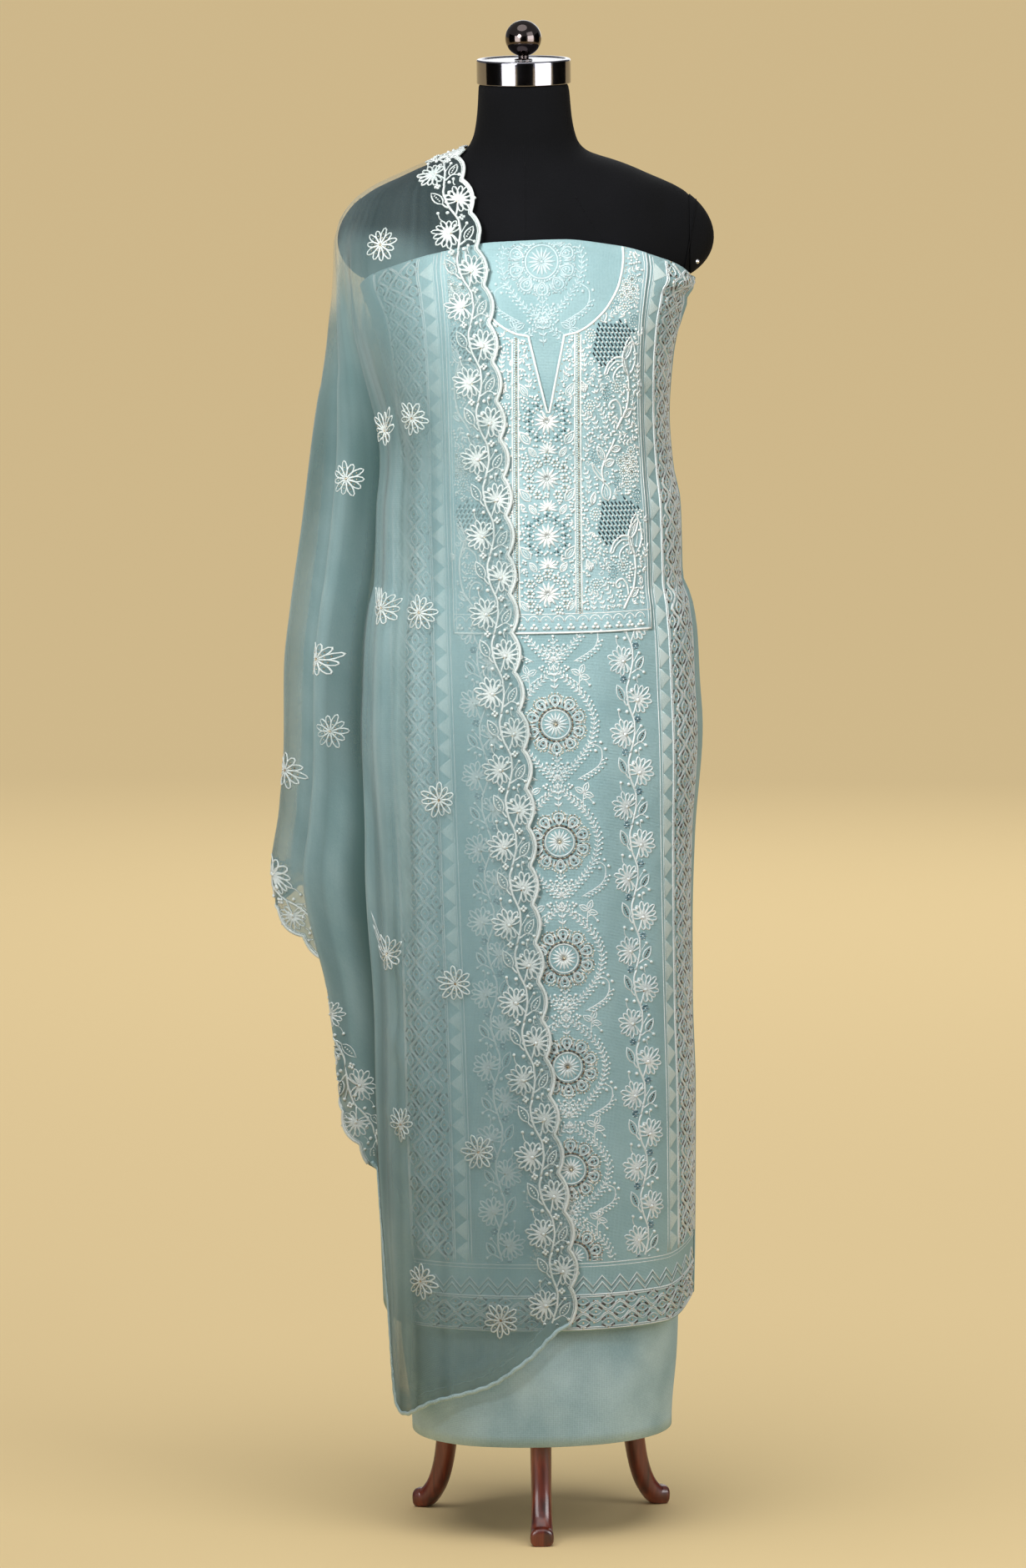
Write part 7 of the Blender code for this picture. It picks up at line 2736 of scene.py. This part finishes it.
@dataclass
class Dupatta:
    """The sheer dupatta over one shoulder, pleated at the side, with scalloped corded edges."""

    columns: int = 224
    rows: int = 156
    cloth: float = 0.6 * MM
    scallop_pitch: float = 40.5 * MM
    scallop_depth: float = 7.0 * MM
    scallop_fade: float = 30.0 * MM
    scallop_near: float = 2.6 * MM  # a point farther than this from the strip isn't on it
    corner: float = 22.0  # the column where the scalloped edge ends in front
    rear_corner: float = 54.0
    flat_mesh: tuple[float, float] = (1.9, 1.2)  # what its UV map says, to keep the weave even
    flat: tuple[float, float] = (0.82, 2.2)
    # Share of the mesh's columns used up, against the drape's column, over half the cloth.
    spread: tuple[tuple[float, float], ...] = ((0.0, 0.0), (0.24, 13.0), (1.0, 36.0))
    thinnest: float = 0.19  # share of its cover that the cloth keeps on the shoulder, in the light
    # How much the cloth hides, by the drape's column.
    cover_columns: tuple[float, ...] = (0.0, 10.0, 14.0, 18.0, 22.0, 26.0, 30.0, 40.0, 52.0, 72.0)
    covers: tuple[float, ...] = (0.27, 0.29, 0.36, 0.48, 0.58, 0.56, 0.44, 0.44, 0.50, 0.36)
    # Painted shade between pleats, by the drape's column: how deep it lies there.
    shade_columns: tuple[float, ...] = (15.0, 17.5, 20.0, 21.0, 22.0, 23.0, 26.0, 30.0, 40.0, 46.0)
    shades: tuple[float, ...] = (0.0, 0.5, 1.0, 0.9, 0.4, 0.1, 0.12, 0.16, 0.14, 0.1)
    # Where one layer folds over another and hides more, as lines on the cloth's columns.
    overlaps = creases(
        (58, 1.14, 55, 0.62, 0.30, 10.0), (64, 1.00, 62, 0.40, 0.20, 6.0),
        (46, 1.20, 47, 0.46, 0.14, 5.0), (66, 0.62, 44, 0.57, 0.08, 6.0),
        (66, 0.46, 40, 0.38, 0.08, 6.0), (38, 1.24, 36, 0.60, 0.05, 4.0),
        unit_depth=1.0,
    )
    # Column and share of each flower; a share below 0 lies on the back.
    flowers: tuple[tuple[float, float], ...] = (
        (11.73, 0.159), (9.59, 0.299), (15.07, 0.307), (22.99, 0.392), (9.17, 0.437), (13.76, 0.429),
        (23.76, 0.566), (22.57, 0.618), (8.04, 0.572), (13.76, 0.674), (7.27, 0.705), (12.15, 0.793),
        (6.14, 0.829), (10.36, 0.909), (4.94, 0.956), (31.40, 0.820), (35.20, -0.420),
        (29.12, -0.860), (33.60, -0.900), (10.40, -0.170), (19.60, -0.250),
        (29.40, -0.300), (8.60, -0.360), (15.20, -0.450), (22.80, -0.500), (31.20, -0.580),
        (8.00, -0.580), (13.60, -0.700), (19.80, -0.690), (26.60, -0.690), (7.20, -0.800),
        (12.40, -0.900), (18.00, -0.880), (23.40, -0.860),
    )

    def column(self, across: np.ndarray) -> np.ndarray:
        """Returns the drape's column for a share across the mesh, closer over the pleats."""
        shares, columns = zip(*self.spread)
        near = np.interp(2 * np.minimum(across, 1 - across), shares, columns)
        return np.where(across > 0.5, DUPATTA.last - near, near)

    def place(self, across: np.ndarray, up: np.ndarray) -> tuple[np.ndarray, np.ndarray]:
        """Returns points of the cloth for shares across its columns and up them."""
        flat = np.stack([across * self.flat_mesh[0], up * self.flat_mesh[1]], axis=-1)
        return DUPATTA.point(self.column(across), 1 - up), flat

    def over_ridge(self) -> ClothStrip:
        """Returns the cloth as one surface that runs on from the front to the back."""
        limits = (0.0, float(DUPATTA.arm_column)), (-1.0, 1.0)
        return ClothStrip(DUPATTA.both_sides, limits, (1.0, 0.0))

    def lower_edge(self, start: float, end: float, points: int, depth: float) -> ClothMap:
        """Returns the strip along the lower edge.

        Args:
            start: the column that it starts at.
            end: the column that it ends at.
            points: points along it.
            depth: how far it reaches into the cloth.
        """
        limits = (0.0, float(DUPATTA.last)), (0.0, 1.0)
        strip = ClothStrip(DUPATTA.point, limits, (0.0, -1.0), depth=depth)
        return strip.map(np.linspace(start, end, points), np.ones(points))

    def worked_edges(self) -> list[ClothMap]:
        """Returns the strips of the inner edge, front to back, and of the hanging edge."""
        inner = self.over_ridge().map(np.zeros(2001), np.linspace(1.0, -1.0, 2001))
        return [inner, self.lower_edge(self.rear_corner, self.corner, 3001, 50 * MM)]

    def plain_ends(self) -> list[ClothMap]:
        """Returns the strips along the two narrow hems: in front and at the back."""
        ends = (self.corner, 0.0), (DUPATTA.last, self.rear_corner)
        return [self.lower_edge(*end, 2001, 20 * MM) for end in ends]

    def scallop(self, along: np.ndarray) -> np.ndarray:
        """Returns how far the scalloped edge stands out from its straight line."""
        return self.scallop_depth * (np.abs(np.sin(np.pi * along / self.scallop_pitch)) ** 0.85 - 0.45)

    def scalloped(self, points: np.ndarray, strips: list[ClothMap]) -> np.ndarray:
        """Pushes points near the edges out or in to the scallops."""
        made = points.copy()
        for strip in strips:
            inner = strip.points[:, :-1].reshape(-1, 3)
            tree = KDTree(len(inner))
            for index, point in enumerate(inner.tolist()):
                tree.insert(point, index)
            tree.balance()
            out = unit(strip.points[:, -1] - strip.points[:, -2])
            heights = self.scallop(strip.up)
            low, high = inner.min(axis=0) - 0.01, inner.max(axis=0) + 0.01
            near = np.flatnonzero(((points > low) & (points < high)).all(axis=1))
            for number in near.tolist():
                _, index, gap = tree.find(points[number])
                row, column = divmod(index, strip.points.shape[1] - 1)
                fade = 1 + strip.across[column] / self.scallop_fade
                if gap < self.scallop_near and fade > 0:
                    made[number] += out[row] * heights[row] * fade
        return made

    def cover(self, across: np.ndarray, up: np.ndarray, height: np.ndarray) -> np.ndarray:
        """Returns how much of what is behind each wall hides, closer in the gathers."""
        column = self.column(across)
        heading = DUPATTA.column_heading(column)
        plain = np.interp(column, self.cover_columns, self.covers)
        streaks = 1 + 0.10 * np.sin(heading * 1.9) + 0.07 * np.sin(heading * 4.3 + 1.0)
        shoulder = 1.385 - 0.07 * ramped(column, 21.0, 25.0)
        thin = self.thinnest + (1 - self.thinnest) * ramped(height, shoulder, shoulder - 0.13)
        hem = 0.20 * (up < 0.014) * ((column < 18.0) | (column > self.rear_corner))
        over = crease_relief(heading, height, self.overlaps)
        corner = 0.36 * ramped(height, 0.40, 0.28) * window(column, 10.0, 13.0, 26.0, 30.0)
        chest = 0.20 * self.chest(column, height)
        valley = 0.42 * ramped(height, 0.85, 0.75) * window(column, 14.5, 16.5, 21.5, 24.5)
        return np.clip(plain * streaks * thin + hem + over + corner + chest + valley, 0.02, 0.95)

    def chest(self, column: np.ndarray, height: np.ndarray) -> np.ndarray:
        """Returns where the gathers lie close together below the shoulder, 0 to 1."""
        shoulder = 1.38 - 0.08 * ramped(column, 21.0, 25.0)
        level = ramped(height, 0.98, 1.18) * ramped(height, shoulder, shoulder - 0.04)
        return level * window(column, 5.0, 10.0, 50.0, 60.0)

    def border(self, strip: ClothMap) -> Stitching:
        """Returns the corded scallops and flowering vine of one edge, laid on it."""
        flat = Stitching()
        whole = strip.up[-1]
        vine = vine_repeat(jewelled=False)
        for number in range(int(whole / VINE_REPEAT) + 1):
            flat.place(vine, 0.0, number * VINE_REPEAT)
        flat.keep(lambda points: (points[:, 1] > 2 * MM) & (points[:, 1] < whole - 2 * MM))
        steps = np.linspace(0.0, whole, int(whole / (2.9 * MM)))
        edge = np.stack([self.scallop(steps), steps], axis=1)
        flat.stroke(edge, 3.6 * MM, 1.7 * MM, sides=5, whole=True)
        flat.stroke(edge - np.array([2.6 * MM, 0.0]), 1.6 * MM, 1.3 * MM)
        return flat.laid(strip)

    def shade(self, across: np.ndarray, height: np.ndarray) -> np.ndarray:
        """Returns each point's painted shade: darker between pleats, in the close gathers below the
        shoulder, in streaks along the pleats and towards the lower end; partly the deeper tone of stacked
        layers.
        """
        column = self.column(across)
        # painted shade in the valleys between pleats
        deep = np.interp(column, self.shade_columns, self.shades)
        # painted shade: darker towards the lower end, where less light falls
        foot = 0.55 * ramped(height, 0.30, 0.14)
        # painted shade in the close gathers below the shoulder, partly the deeper tone of layers stacked
        # there
        chest = 0.5 * self.chest(column, height)
        heading = DUPATTA.column_heading(column)
        # painted light and shade in streaks along the pleats
        pleats = 0.30 * np.maximum(np.sin(heading * 0.85 + 2.2 * height), 0.0) ** 2
        pleats *= ramped(column, 6.0, 9.0) * ramped(height, 1.25, 1.05)
        return np.clip(deep * ramped(height, 1.30, 1.00) + foot + chest + pleats, 0.0, 1.0)

    def hemmed(self, strip: ClothMap) -> Stitching:
        """Returns the narrow turned hem of an end."""
        flat = Stitching()
        steps = np.linspace(0.0, strip.up[-1], int(strip.up[-1] / (3 * MM)))
        wave = 0.5 * MM * np.sin(steps * 420.0)
        roll = np.stack([wave - 1.2 * MM, steps], axis=1)
        flat.stroke(roll, 4.8 * MM, 1.5 * MM, sides=6, whole=True)
        flat.stroke(roll - np.array([11.8 * MM, 0.0]), 0.9 * MM, 0.6 * MM)
        return flat.laid(strip)

    def strewn(self) -> Stitching:
        """Returns the round flowers strewn over the cloth, laid on it."""
        made = Stitching()
        strip = self.over_ridge()
        nudge = strip.nudges[0]
        flower = round_flower()
        for number, (column, share) in enumerate(self.flowers):
            middle = np.array([column]), np.array([share])
            across, rising = (slope[0] for slope in strip.slopes(*middle))
            side = unit(across)
            ahead = unit(rising - side * side.dot(rising))
            inverse = np.linalg.inv(np.array([across, rising]) @ np.array([side, ahead]).T).T
            turned_flower = Stitching()
            turned_flower.place(flower, turn=37.0 * number)
            for layer, points, faces in turned_flower.bodies():
                shift = points[:, :2] @ inverse.T
                u = np.clip(column + shift[:, 0], nudge, DUPATTA.arm_column - nudge)
                v = share + shift[:, 1]
                normal = unit(np.cross(*strip.slopes(u, v)))
                spots = DUPATTA.both_sides(u, v)
                outward = ((spots - AXIS) * normal)[:, :2].sum() > 0
                lift = (points[:, 2:] + self.cloth / 2) * (1.0 if outward else -1.0)
                made.take(layer, spots + normal * lift, faces if outward else faces[:, ::-1])
        return made

    def build(self) -> None:
        """Makes the cloth and its embroidery."""
        chiffon = WovenCloth(
            "dupatta_chiffon", "#b3d0d1", "#9bbcbe", crinkle=0.3 * MM, sheen=0.25,
            # dark tone of the painted shade in folds and gathers, partly of stacked layers
            pile_and_shade_tone="#40605c",
        ).material()
        strips = self.worked_edges()
        bm = laid_sheet(self.columns, self.rows, self.place)
        shares = bm.verts.layers.float_vector.new("shares")
        places = np.array([vert.co for vert in bm.verts])
        bent = self.scalloped(places, strips)
        sides = (np.linspace(0.0, 1.0, count + 1) for count in (self.rows, self.columns))
        up, across = np.meshgrid(*sides, indexing="ij")
        for vert, point, one, other in zip(bm.verts, bent.tolist(), across.flat, up.flat):
            vert[shares] = (one, other, 0.0)
            vert.co = point
        face_outwards(bm)
        kept = np.array([(*vert[shares][:2], vert.co.z) for vert in bm.verts])
        bm.verts.layers.float_vector.remove(shares)
        mesh = mesh_of(bm, "dupatta_cloth")
        # the shade attribute carries each point's painted shade
        for name, values in (("cover", self.cover(*kept.T)), ("shade", self.shade(*kept.T[::2]))):
            mesh.attributes.new(name, "FLOAT", "POINT").data.foreach_set("value", values)
        cloth = finish_piece(mesh, chiffon, Slot.DUPATTA, "dupatta")
        thicken(cloth, self.cloth, 0.0)
        work = self.strewn()
        for strip in strips:
            work.join(self.border(strip))
        hems = Stitching()
        for strip in self.plain_ends():
            hems.join(self.hemmed(strip))
        rolled = Thread("dupatta_rolled_hem", "#b5d0d4", "#93b2b6").material()
        floss = Thread("dupatta_floss", "#e3e9e5", "#c6d1cd").material()
        sewn = sewn_on(work, "dupatta", floss, Slot.DUPATTA)
        sewn.append(finish_piece(hems.mesh("dupatta_hem"), rolled, Slot.DUPATTA))


def main() -> None:
    """Builds the studio and every piece of the part."""
    logging.basicConfig(level=logging.INFO, format="%(name)s %(message)s")
    Studio().build()
    DressForm().build()
    Stand().build()
    for cloth in (Salwar(), Kameez(), Yoke(), Dupatta()):
        cloth.build()


if __name__ == "__main__":
    main()
